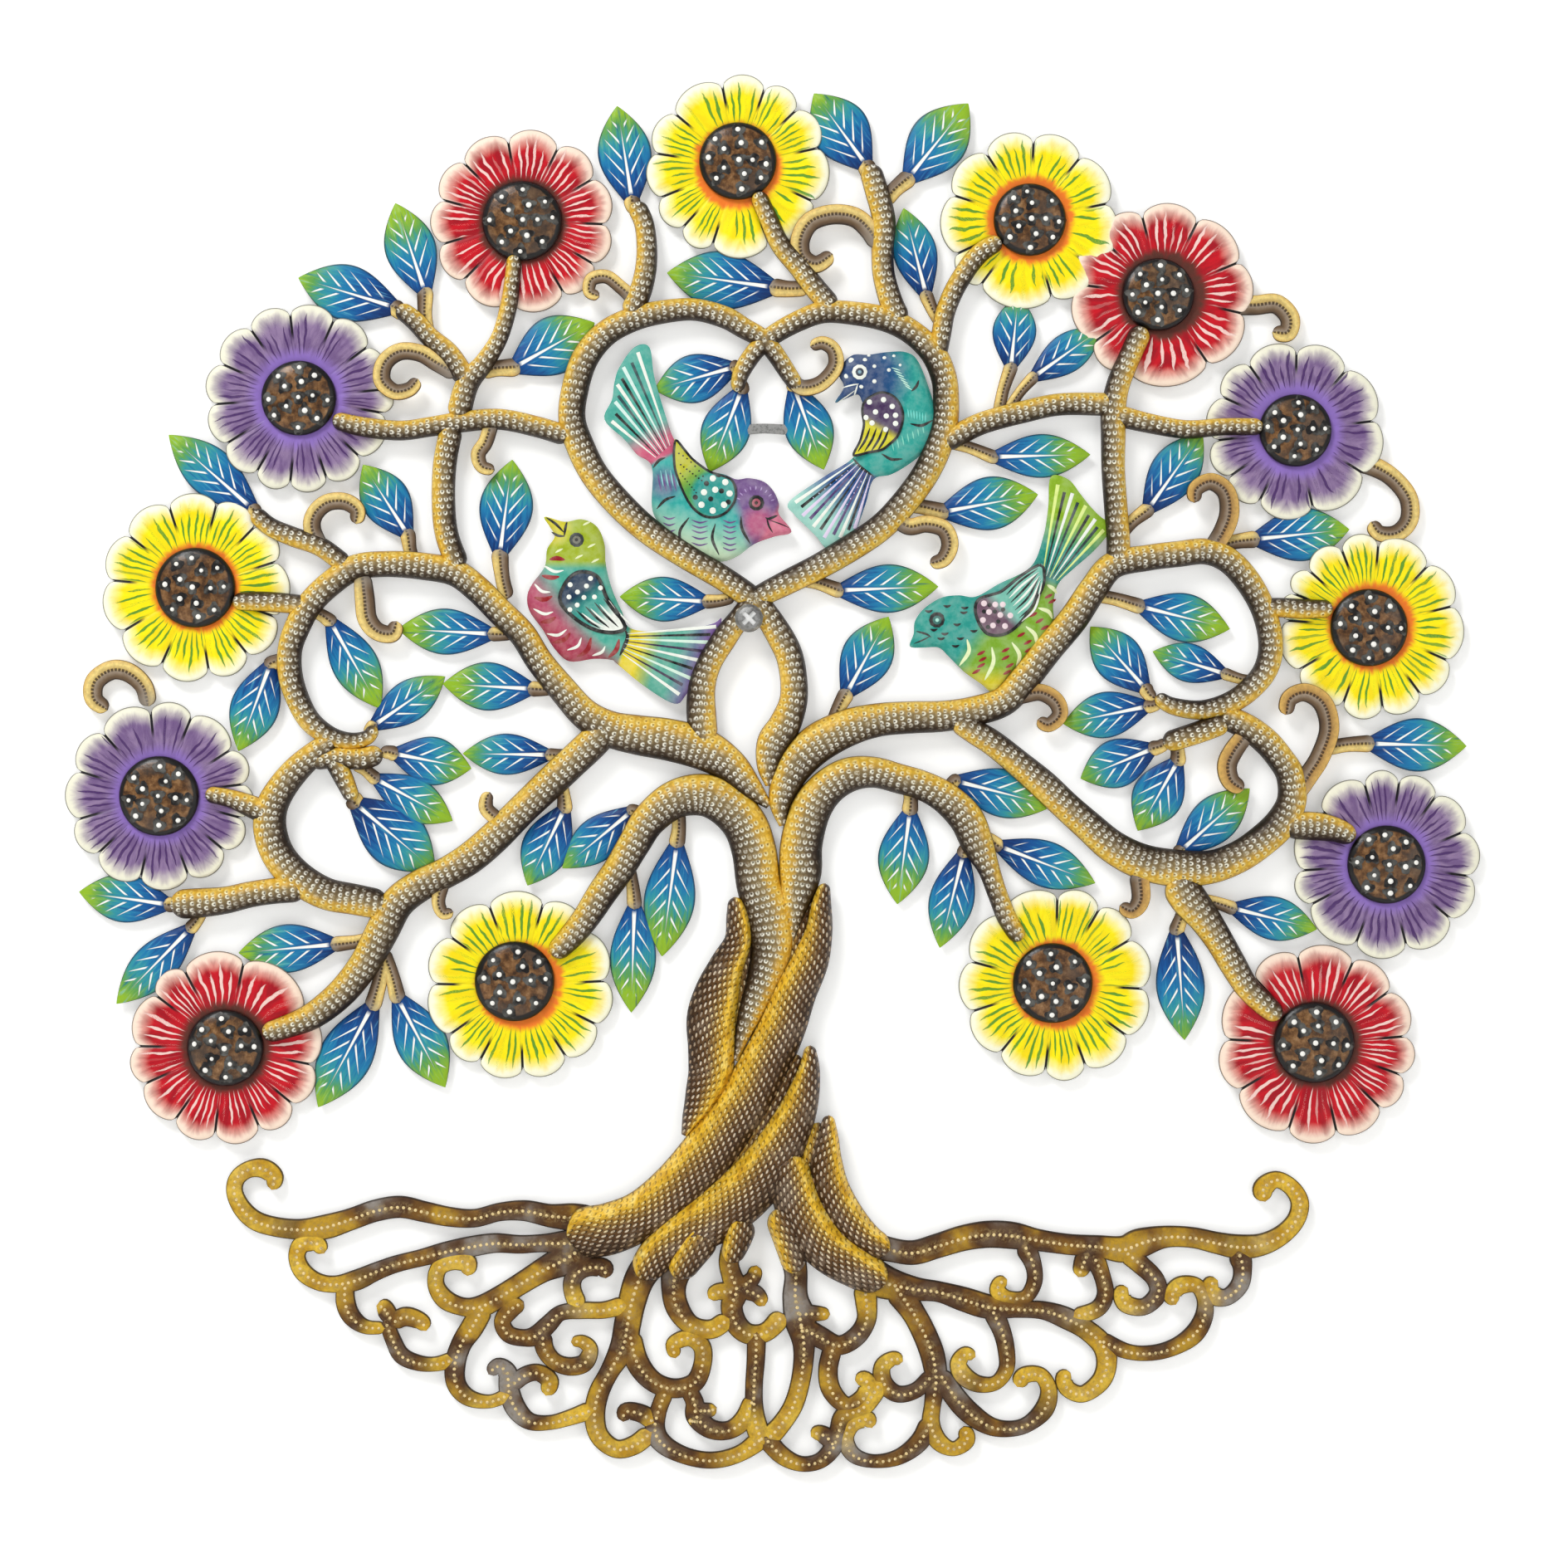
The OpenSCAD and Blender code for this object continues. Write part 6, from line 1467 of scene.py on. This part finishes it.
def purple_headed_bird():
    bird = bird_plate(BIRD_1, ((-34, 66), (-44, 85)))
    bird.fill(painter(
        TURQUOISE,
        (0.8, beyond, (-18, 35), (-22, 22), 14, BELLY),
        (0.6, near, (-34, 54), 6, 5, PURPLE),
        (1, beyond, (-4, 42), (8, 46), 4, (0.24, 0.12, 0.34)),
        (0.7, near, (4, 38), 6, 5, PINK),
        (1, beyond, (8.5, 39), (14, 36), 2, (0.75, 0.25, 0.36)),
        (1, beyond, (-35, 64), (-44, 82), 1.5, PINK),
        (1, beyond, (-38, 74), (-46, 90), 7, (0.1, 0.5, 0.42))))
    bird.tail(((-38, 64), (-31, 70)), [(-56, 80), (-54.5, 88), (-53.5, 95), (-51, 102), (-45, 108)],
              [WHITE, (0.75, 0.9, 0.85)], [INK_BLACK, (0.05, 0.12, 0.13)])
    for arc in ([(-38.5, 60.5), (-36, 63.5), (-33.5, 64.5)], [(-37, 44), (-33.5, 47.5), (-29.5, 49)],
                [(-27, 29.5), (-27.7, 35), (-24, 40.5)], [(-12, 25.5), (-14.7, 32), (-13.5, 38)],
                [(0.5, 30), (-2.8, 36), (-3.2, 41)]):
        bird.stroke(arc, INK_BLACK, 1.2)
    for x0, x1, tops in ((-23, -16.5, (39.5, 37.5, 35.5, 33, 30.5)),
                         (-10.5, -5, (39.5, 37.5, 35.5, 33, 30.5, 28.5)),
                         (-34.5, -29.5, (41, 38.5, 36, 33.5))):
        for z in tops:
            bird.stroke([(x0, z), ((x0 + x1) / 2, z - 1.1), (x1, z - 0.4)], PURPLE, 0.75)
    for x in (-36.5, -34.5, -32.5, -30.5):
        bird.stroke([(x, 58), (x + 0.6, 54.5), (x + 1.4, 51)], PURPLE, 0.7)
        bird.stroke([(x + 1, 59.5), (x + 1.6, 56), (x + 2.2, 53)], (0.4, 0.75, 0.75), 0.45)
    for k in range(9):
        angle = math.radians(20 + 17 * k)
        x, z = 2.5 + 6.6 * math.cos(angle), 45 + 6.6 * math.sin(angle)
        bird.stroke([(x, z), (x + 1.6 * math.cos(angle), z + 1.6 * math.sin(angle))],
                    (0.55, 0.42, 0.68), 0.5)
    bird.stroke([(11.5, 41.5), (8, 40), (6.5, 40.5)], INK_BLACK, 1.1)
    bird.stroke([(7, 40.5), (8, 37), (9.5, 34.5)], INK_BLACK, 0.8)
    bird.stroke([(8, 39.5), (12.5, 38), (16, 36.5)], INK_BLACK, 0.5)
    bird.eye(2.9, 46.3, 3.2, INK_BLACK, (0.5, 0.15, 0.2), (0.05, 0.01, 0.01))
    bird.build("bird_1_sheet", "bird_turquoise", "bird_1")

    wing = wing_plate(WING_1)
    wing.fill(painter(
        (0.6, 0.6, 0.03),
        (1, beyond, (-25, 56), (-20, 50), 8, (0.12, 0.45, 0.12)),
        (1, near, (-13.5, 49.5), 9.5, 2, (0.03, 0.4, 0.36))), pitch=WING_PITCH)
    wing.border()
    for k in range(8):
        wing.dot(-28 + 1.6 * k, 66 - 0.8 * k - 0.12 * k * k, 0.4, INK_BLACK, 0.1)
        wing.dot(-27.3 + 1.2 * k, 61.5 - 0.9 * k, 0.4, INK_BLACK, 0.1)
        wing.dot(-27.4 + 0.9 * k, 58 - 1.1 * k, 0.35, INK_BLACK, 0.1)
    for x, z in ((-14.5, 56), (-9.5, 54.5), (-18, 50.5), (-13.5, 51.5), (-7.8, 50), (-19, 45.5),
                 (-14.5, 43.2), (-10, 45.5)):
        wing.dot(x, z, 1.35, WHITE, 0.2)
    for x, z in ((-17, 54), (-11, 51), (-21.5, 48.5), (-15.3, 47.8), (-8.3, 46.6), (-12.4, 57)):
        wing.dot(x, z, 1.15, INK_BLACK, 0.15)
    wing.build("wing_1_sheet", "wing_paint", "wing_1")


def blue_headed_bird():
    bird = bird_plate(BIRD_2, ((46, 60), (38, 48)))
    bird.fill(painter(
        (0.03, 0.46, 0.4),
        (1, near, (46, 97), 16, 9, (0.015, 0.12, 0.3)),
        (0.8, near, (43, 96), 11, 6, NIGHT_BLUE),
        (1, beyond, (45.5, 60), (40, 50), 1.5, (0.01, 0.1, 0.32)),
        (1, beyond, (35, 46), (26, 34), 12, (0.4, 0.7, 0.62))))
    bird.tail(((41.5, 63.5), (49.5, 57)),
              [(17.5, 46), (20.5, 40.5), (25, 36), (29.5, 31.5), (36, 31.5), (42, 35)],
              [WHITE, (0.8, 0.72, 0.88)], [INK_BLACK, (0.12, 0.05, 0.22)])
    for row in range(4):
        for k in range(7):
            share = 0.15 + 0.1 * k
            root = np.array((43 + 2 * row, 62 - 1.8 * row))
            tip = np.array((20 + 6.5 * row, 44 - 4.2 * row))
            bird.dot(*(root + (tip - root) * share), 0.32, (0.65, 0.62, 0.8), 0.3)
    for arc in ([(68, 95.5), (67, 93), (65, 91)], [(64.5, 78), (69, 77.3), (73.5, 79.5)],
                [(53, 66), (57, 63.8), (61.5, 64)], [(41.5, 64.5), (45, 60.5), (50, 57)]):
        bird.stroke(arc, INK_BLACK, 1.2)
    for x, z, radius in ((41, 103.4, 1.2), (39, 97.2, 1.0), (46.4, 103.6, 0.9), (50.2, 101, 0.8),
                         (50.2, 95, 0.9), (45, 93, 0.9), (54.2, 104.4, 0.8), (56, 99.5, 0.8),
                         (48, 105.4, 0.7), (58, 105.2, 0.7), (60.5, 101.5, 0.6)):
        bird.dot(x, z, radius, WHITE, 0.25)
    for k in range(7):
        bird.stroke([(57 + 0.9 * k, 100.5 - 1.2 * k), (60.5 + 0.8 * k, 99.3 - 1.3 * k)],
                    (0.6, 0.85, 0.75), 0.5)
        bird.stroke([(63.5 + 1.2 * k, 84 - 0.3 * k), (64 + 1.1 * k, 80.5 - 0.3 * k)],
                    (0.2, 0.75, 0.68), 0.5)
        bird.stroke([(57 + 2.1 * k, 71.5 + 0.9 * k), (58 + 2 * k, 67 + 1.2 * k)],
                    (0.3, 0.75, 0.62), 0.5)
    bird.stroke([(37, 92.6), (41, 93.5), (44, 94)], WHITE, 0.6)
    bird.stroke([(43.5, 93.8), (42.8, 91.5), (42, 89)], WHITE, 0.7)
    bird.stroke([(35.5, 86.8), (39, 89), (42.5, 91.5)], WHITE, 0.45)
    bird.eye(44.3, 98.7, 3.1, WHITE, (0.01, 0.03, 0.08), (0.3, 0.5, 0.6))
    bird.build("bird_2_sheet", "bird_blue", "bird_2")

    wing = wing_plate(WING_2)
    wing.fill(painter(
        (0.09, 0.04, 0.14),
        (1, beyond, (51, 77.5), (48, 72), 3, (0.75, 0.7, 0.03))), pitch=WING_PITCH)
    wing.border()
    for x, z in ((48.2, 86.5), (53.8, 87.5), (57.3, 84.8), (50.6, 82.6), (46.9, 80.4),
                 (54.9, 81), (49.2, 78.2), (58.6, 81.3), (54.7, 75.6), (58.6, 78)):
        wing.dot(x, z, 1.15, WHITE, 0.2)
    for x in (47, 49.6, 52.2, 54.6):
        wing.stroke([(x + 1.4, 76.2), (x - 0.4, 71.5), (x - 3.4, 66.8)], INK_BLACK, 1.0)
    wing.build("wing_2_sheet", "wing_paint", "wing_2")


def green_headed_bird():
    bird = bird_plate(BIRD_3, ((-50, -10), (-36, -14)))
    bird.fill(painter(
        (0.1, 0.5, 0.4),
        (1, beyond, (-76, 6), (-84, 0), 9, (0.55, 0.1, 0.2)),
        (1, beyond, (-68, -8), (-74, -18), 8, (0.5, 0.05, 0.12)),
        (1, beyond, (-70, 21.5), (-70, 26), 3, (0.45, 0.55, 0.02)),
        (0.7, near, (-78, 36), 6, 4, YELLOW),
        (1, beyond, (-49.5, -10), (-44, -12), 1.2, YELLOW),
        (1, beyond, (-40, -13), (-30, -16), 8, (0.15, 0.5, 0.4)),
        (1, beyond, (-24, -15), (-16, -18), 9, (0.26, 0.14, 0.42))))
    bird.tail(((-48.5, -5), (-51, -15)),
              [(-12, -3), (-14, -9.5), (-18.5, -17), (-22, -24.5), (-27, -31)],
              [WHITE, (0.75, 0.9, 0.8)], [INK_BLACK, (0.06, 0.03, 0.1)])
    for stroke in ([(-80, 23.7), (-77, 24.2), (-73.7, 23.5)], [(-83, 17.3), (-79, 16.4), (-75.9, 16.8)],
                   [(-86, 8.5), (-82, 7.6), (-78.7, 9)], [(-83.6, -1.4), (-80, -0.9), (-77.3, 0.6)],
                   [(-78.7, -9.6), (-74, -8.4), (-71.5, -5.6)],
                   [(-69, -15.3), (-64.8, -12.6), (-63.2, -7.6)],
                   [(-56.4, -15.6), (-53.2, -12.5), (-52, -8.2)]):
        bird.stroke(stroke, CRIMSON, 1.9)
    for stroke in ([(-82.5, 21.5), (-78, 18.9), (-74.2, 19.3)], [(-86, 14), (-83, 11), (-79.5, 10.6)],
                   [(-86.4, 4), (-82, 1.9), (-78.4, 2.7)], [(-81, -6), (-76.5, -6.6), (-73, -4.4)],
                   [(-72.8, -12.6), (-68.6, -11), (-67.1, -7.6)],
                   [(-62.8, -14.8), (-59, -13.4), (-57.6, -11)]):
        bird.stroke(stroke, WHITE, 1.2)
    bird.stroke([(-49.6, -4.4), (-48.8, -8), (-51.8, -14.8)], INK_BLACK, 1.6)
    bird.stroke([(-81.3, 40.6), (-77.5, 38), (-74.2, 34.6)], INK_BLACK, 1.1)
    bird.stroke([(-73, 39), (-73.6, 36), (-74, 33)], INK_BLACK, 1.1)
    bird.stroke([(-79.2, 34.8), (-76.5, 33.3), (-73.8, 33)], INK_BLACK, 1.1)
    for x, z in ((-68, 24.5), (-61.5, 23), (-65, 38), (-63, 29), (-76, 27)):
        bird.stroke([(x - 1.6, z - 0.6), (x, z + 0.3), (x + 1.5, z + 1)], (0.85, 0.9, 0.6), 0.9)
    bird.eye(-69, 31.5, 3.0, (0.06, 0.07, 0.07), (0.25, 0.25, 0.2), INK_BLACK)
    bird.build("bird_3_sheet", "bird_green", "bird_3")

    wing = wing_plate(WING_3)
    wing.fill(painter(
        (0.01, 0.05, 0.12),
        (1, beyond, (-66, 8), (-62, 3), 6, (0.06, 0.42, 0.36)),
        (1, beyond, (-58, 1), (-52, -3), 6, WHITE)), pitch=WING_PITCH)
    wing.border(width=1.5)
    for x, z in ((-71.5, 13.5), (-65, 13), (-68.6, 10.6), (-72, 8.6), (-59.5, 12.2), (-66, 8.4),
                 (-61.8, 8.6), (-71.6, 3.6), (-68.7, 5.4), (-63.4, 16)):
        wing.dot(x, z, 1.05, WHITE, 0.2)
    for k in range(4):
        x = -69.5 + 3.6 * k
        wing.stroke([(x + 0.5, 3.2 + 1.6 * k), (x + 5, -0.8 + 1.1 * k), (x + 10, -4 + 0.3 * k)],
                    INK_BLACK, 1.0)
        wing.stroke([(x + 2.6, 2.2 + 1.7 * k), (x + 7, -1.2 + k), (x + 12, -3.9 + 0.3 * k)],
                    WHITE, 0.8)
    wing.build("wing_3_sheet", "wing_paint", "wing_3")


def teal_headed_bird():
    bird = bird_plate(BIRD_4, ((119, 14), (128, 36)))
    bird.fill(painter(
        (0.28, 0.5, 0.03),
        (1, beyond, (92, -8), (80, 0), 7, (0.03, 0.42, 0.36)),
        (0.8, beyond, (98, -22), (98, -30), 6, YELLOW),
        (1, beyond, (121, 14), (124, 24), 3, (0.02, 0.36, 0.3)),
        (1, beyond, (126, 34), (130, 46), 12, LIME)))
    bird.tail(((117, 18), (124, 15)), [(124, 55), (130, 51.5), (135.5, 46.5), (139.5, 41), (143, 36.5)],
              [(0.8, 0.9, 0.35), WHITE], [INK_BLACK, (0.04, 0.07, 0.08)])
    for x, z in ((79.3, 5), (86.4, 4.3), (86, 2.4), (83.3, -2.4), (78.4, -6.1), (76.9, -8),
                 (84.6, -8), (82.7, -11), (72, 3), (74, -4.5), (90, -5)):
        bird.stroke([(x - 1.5, z + 0.3), (x, z - 0.2), (x + 1.5, z + 0.4)], INK_BLACK, 1.1)
    for arc in ([(87.3, -8.3), (88, -13.2), (84.3, -18.8)], [(97.2, -11.4), (97.8, -17.5), (94.4, -24.6)],
                [(105.2, -9.5), (108.3, -14.5), (107.1, -19.5)],
                [(110.8, -3.1), (114.5, -6.5), (115.4, -11.4)], [(115.7, 4.3), (120, 2.8), (121.6, 0)],
                [(119.4, 13.6), (122, 12), (123.4, 10.2)]):
        bird.stroke(arc, (0.85, 0.92, 0.6), 1.6)
    for x, z in ((92.9, -13.8), (93.5, -16.3), (92.9, -18.8), (91, -21.2), (102.7, -12.6),
                 (102.7, -15.7), (104.4, -18.8), (103.4, -21.5), (108.9, -6.5), (111.6, -9.5),
                 (112, -12.6), (113.8, 1.6), (116.3, -0.9), (118.4, -3.6), (120, 9), (121.5, 7)):
        bird.stroke([(x - 1.6, z - 0.8), (x, z), (x + 1.6, z + 0.9)], CRIMSON, 1.3)
    bird.stroke([(67, -5), (71, -6.2), (73, -7.5)], INK_BLACK, 0.9)
    bird.stroke([(66, -10), (69.5, -8.6), (72.6, -7)], INK_BLACK, 0.6)
    bird.eye(75.3, -0.6, 3.3, INK_BLACK, (0.02, 0.2, 0.18), (0.5, 0.85, 0.75))
    bird.build("bird_4_sheet", "bird_yellow", "bird_4")

    wing = wing_plate(WING_4)
    wing.fill(painter(
        (0.22, 0.12, 0.18),
        (1, beyond, (101, 4), (106, 9), 4, (0.25, 0.6, 0.5))), pitch=WING_PITCH)
    wing.border(width=1.2)
    for x, z in ((94, 6), (98.5, 5.6), (96, 2.6), (100.5, 1.4), (93.6, -0.6), (97.6, -2.8),
                 (102.4, -3), (104.5, 1.2), (101.5, 5.6)):
        wing.dot(x, z, 1.25, (0.88, 0.75, 0.78), 0.2)
    for x, z in ((96.2, 5.4), (98.3, 2.8), (94, 2.8), (99.7, -1.2), (95.6, -3.4), (101.6, 3.6)):
        wing.dot(x, z, 0.95, INK_BLACK, 0.15)
    for k in range(4):
        x = 103 + 1.7 * k
        z = 9.5 - 3.1 * k
        wing.stroke([(x, z), (x + 5.4, z + 5.4), (115.5 + 0.4 * k, 20 - 1.4 * k)], INK_BLACK, 0.9)
        wing.stroke([(x + 1, z - 1.4), (x + 6.4, z + 4), (116 + 0.4 * k, 18.6 - 1.4 * k)], WHITE, 0.9)
    wing.build("wing_4_sheet", "wing_paint", "wing_4")


purple_headed_bird()
blue_headed_bird()
green_headed_bird()
teal_headed_bird()


# ---------- the wall screw ----------
RECESS_REACH = 3.3    # from the middle of the cross recess to the end of an arm
RECESS_FLOOR = 9.9    # height of the floor of the recess off the wall
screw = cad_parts["wall_screw"]
screw.data.materials.clear()
screw.data.materials.append(steel_material())
# A thin cross laid in the floor of the recess, in steel painted bright as a highlight.
recess = Shape()
for turn in (45, 135):
    lean_x = math.cos(math.radians(turn)) * RECESS_REACH
    lean_z = math.sin(math.radians(turn)) * RECESS_REACH
    arm = [[-lean_x, -lean_z, 1.9], [0, 0, 1.7], [lean_x, lean_z, 1.9]]
    ribbon(recess, arm, 1, thick=0.25, base=RECESS_FLOOR, step=0.3, cols=7, crown=0.1)
recess.build("wall_screw_recess", [recess_highlight_material()], body="screw", slot="screw_steel")


# ---------- the stage, the light and the camera ----------
VIEW_X = 0.014
VIEW_Z = -0.0662
VIEW_WIDTH = 0.6297
LENS = 85.0
SENSOR = 36.0
STAGE_GLOW = 0.26
WORLD_LIGHT = 0.42


def flat_stage(name, corners, one_sided):
    """A plain pale sheet; a one-sided one glows, and isn't seen from behind."""
    data = bpy.data.meshes.new(name)
    data.from_pydata(corners, [], [(0, 1, 2, 3)])
    piece = bpy.data.objects.new(name, data)
    bpy.context.scene.collection.objects.link(piece)
    ink = Ink(name + "_plaster")
    fine = ink.noise(300, detail=3)
    ink.finish((0.93, 0.93, 0.92), 0.8, bump=fine, depth=0.00005)
    if one_sided:
        ink.shader.inputs["Emission Color"].default_value = (1.0, 1.0, 0.99, 1.0)
        ink.shader.inputs["Emission Strength"].default_value = STAGE_GLOW
        tree = ink.tree
        side = tree.nodes.new("ShaderNodeNewGeometry")
        clear = tree.nodes.new("ShaderNodeBsdfTransparent")
        choose = tree.nodes.new("ShaderNodeMixShader")
        tree.links.new(side.outputs["Backfacing"], choose.inputs[0])
        tree.links.new(ink.shader.outputs[0], choose.inputs[1])
        tree.links.new(clear.outputs[0], choose.inputs[2])
        tree.links.new(choose.outputs[0], tree.nodes["Material Output"].inputs["Surface"])
        piece.visible_shadow = False
    data.materials.append(ink.material)


WALL_Y = 0.003
FLOOR_Z = -0.40
FLOOR_FRONT = -4
REACH = 3    # of the wall and floor to each side, up and back
flat_stage("wall", [(-REACH, WALL_Y, FLOOR_Z), (REACH, WALL_Y, FLOOR_Z), (REACH, WALL_Y, REACH),
                    (-REACH, WALL_Y, REACH)], True)
flat_stage("floor", [(-REACH, FLOOR_FRONT, FLOOR_Z), (REACH, FLOOR_FRONT, FLOOR_Z),
                     (REACH, REACH, FLOOR_Z), (-REACH, REACH, FLOOR_Z)], False)


def area_light(name, place, target, size, power):
    data = bpy.data.lights.new(name, "AREA")
    data.size = size
    data.energy = power
    lamp = bpy.data.objects.new(name, data)
    lamp.location = place
    lamp.rotation_euler = (Vector(target) - Vector(place)).to_track_quat("-Z", "Y").to_euler()
    bpy.context.scene.collection.objects.link(lamp)


MIDDLE = (VIEW_X, 0.0, VIEW_Z)
area_light("key", (-0.9, -1.3, 1.4), MIDDLE, 0.7, 25)
area_light("fill", (1.3, -1.7, 0.1), MIDDLE, 1.6, 8)
world = bpy.data.worlds.new("studio")
world.use_nodes = True
world.node_tree.nodes["Background"].inputs["Color"].default_value = (1, 1, 1, 1)
world.node_tree.nodes["Background"].inputs["Strength"].default_value = WORLD_LIGHT
bpy.context.scene.world = world
bpy.context.scene.view_settings.view_transform = "Standard"

camera_data = bpy.data.cameras.new("camera")
camera_data.lens = LENS
camera_data.sensor_width = SENSOR
camera = bpy.data.objects.new("camera", camera_data)
camera.location = (VIEW_X, -VIEW_WIDTH * LENS / SENSOR, VIEW_Z)
camera.rotation_euler = (math.pi / 2, 0, 0)
bpy.context.scene.collection.objects.link(camera)
bpy.context.scene.camera = camera
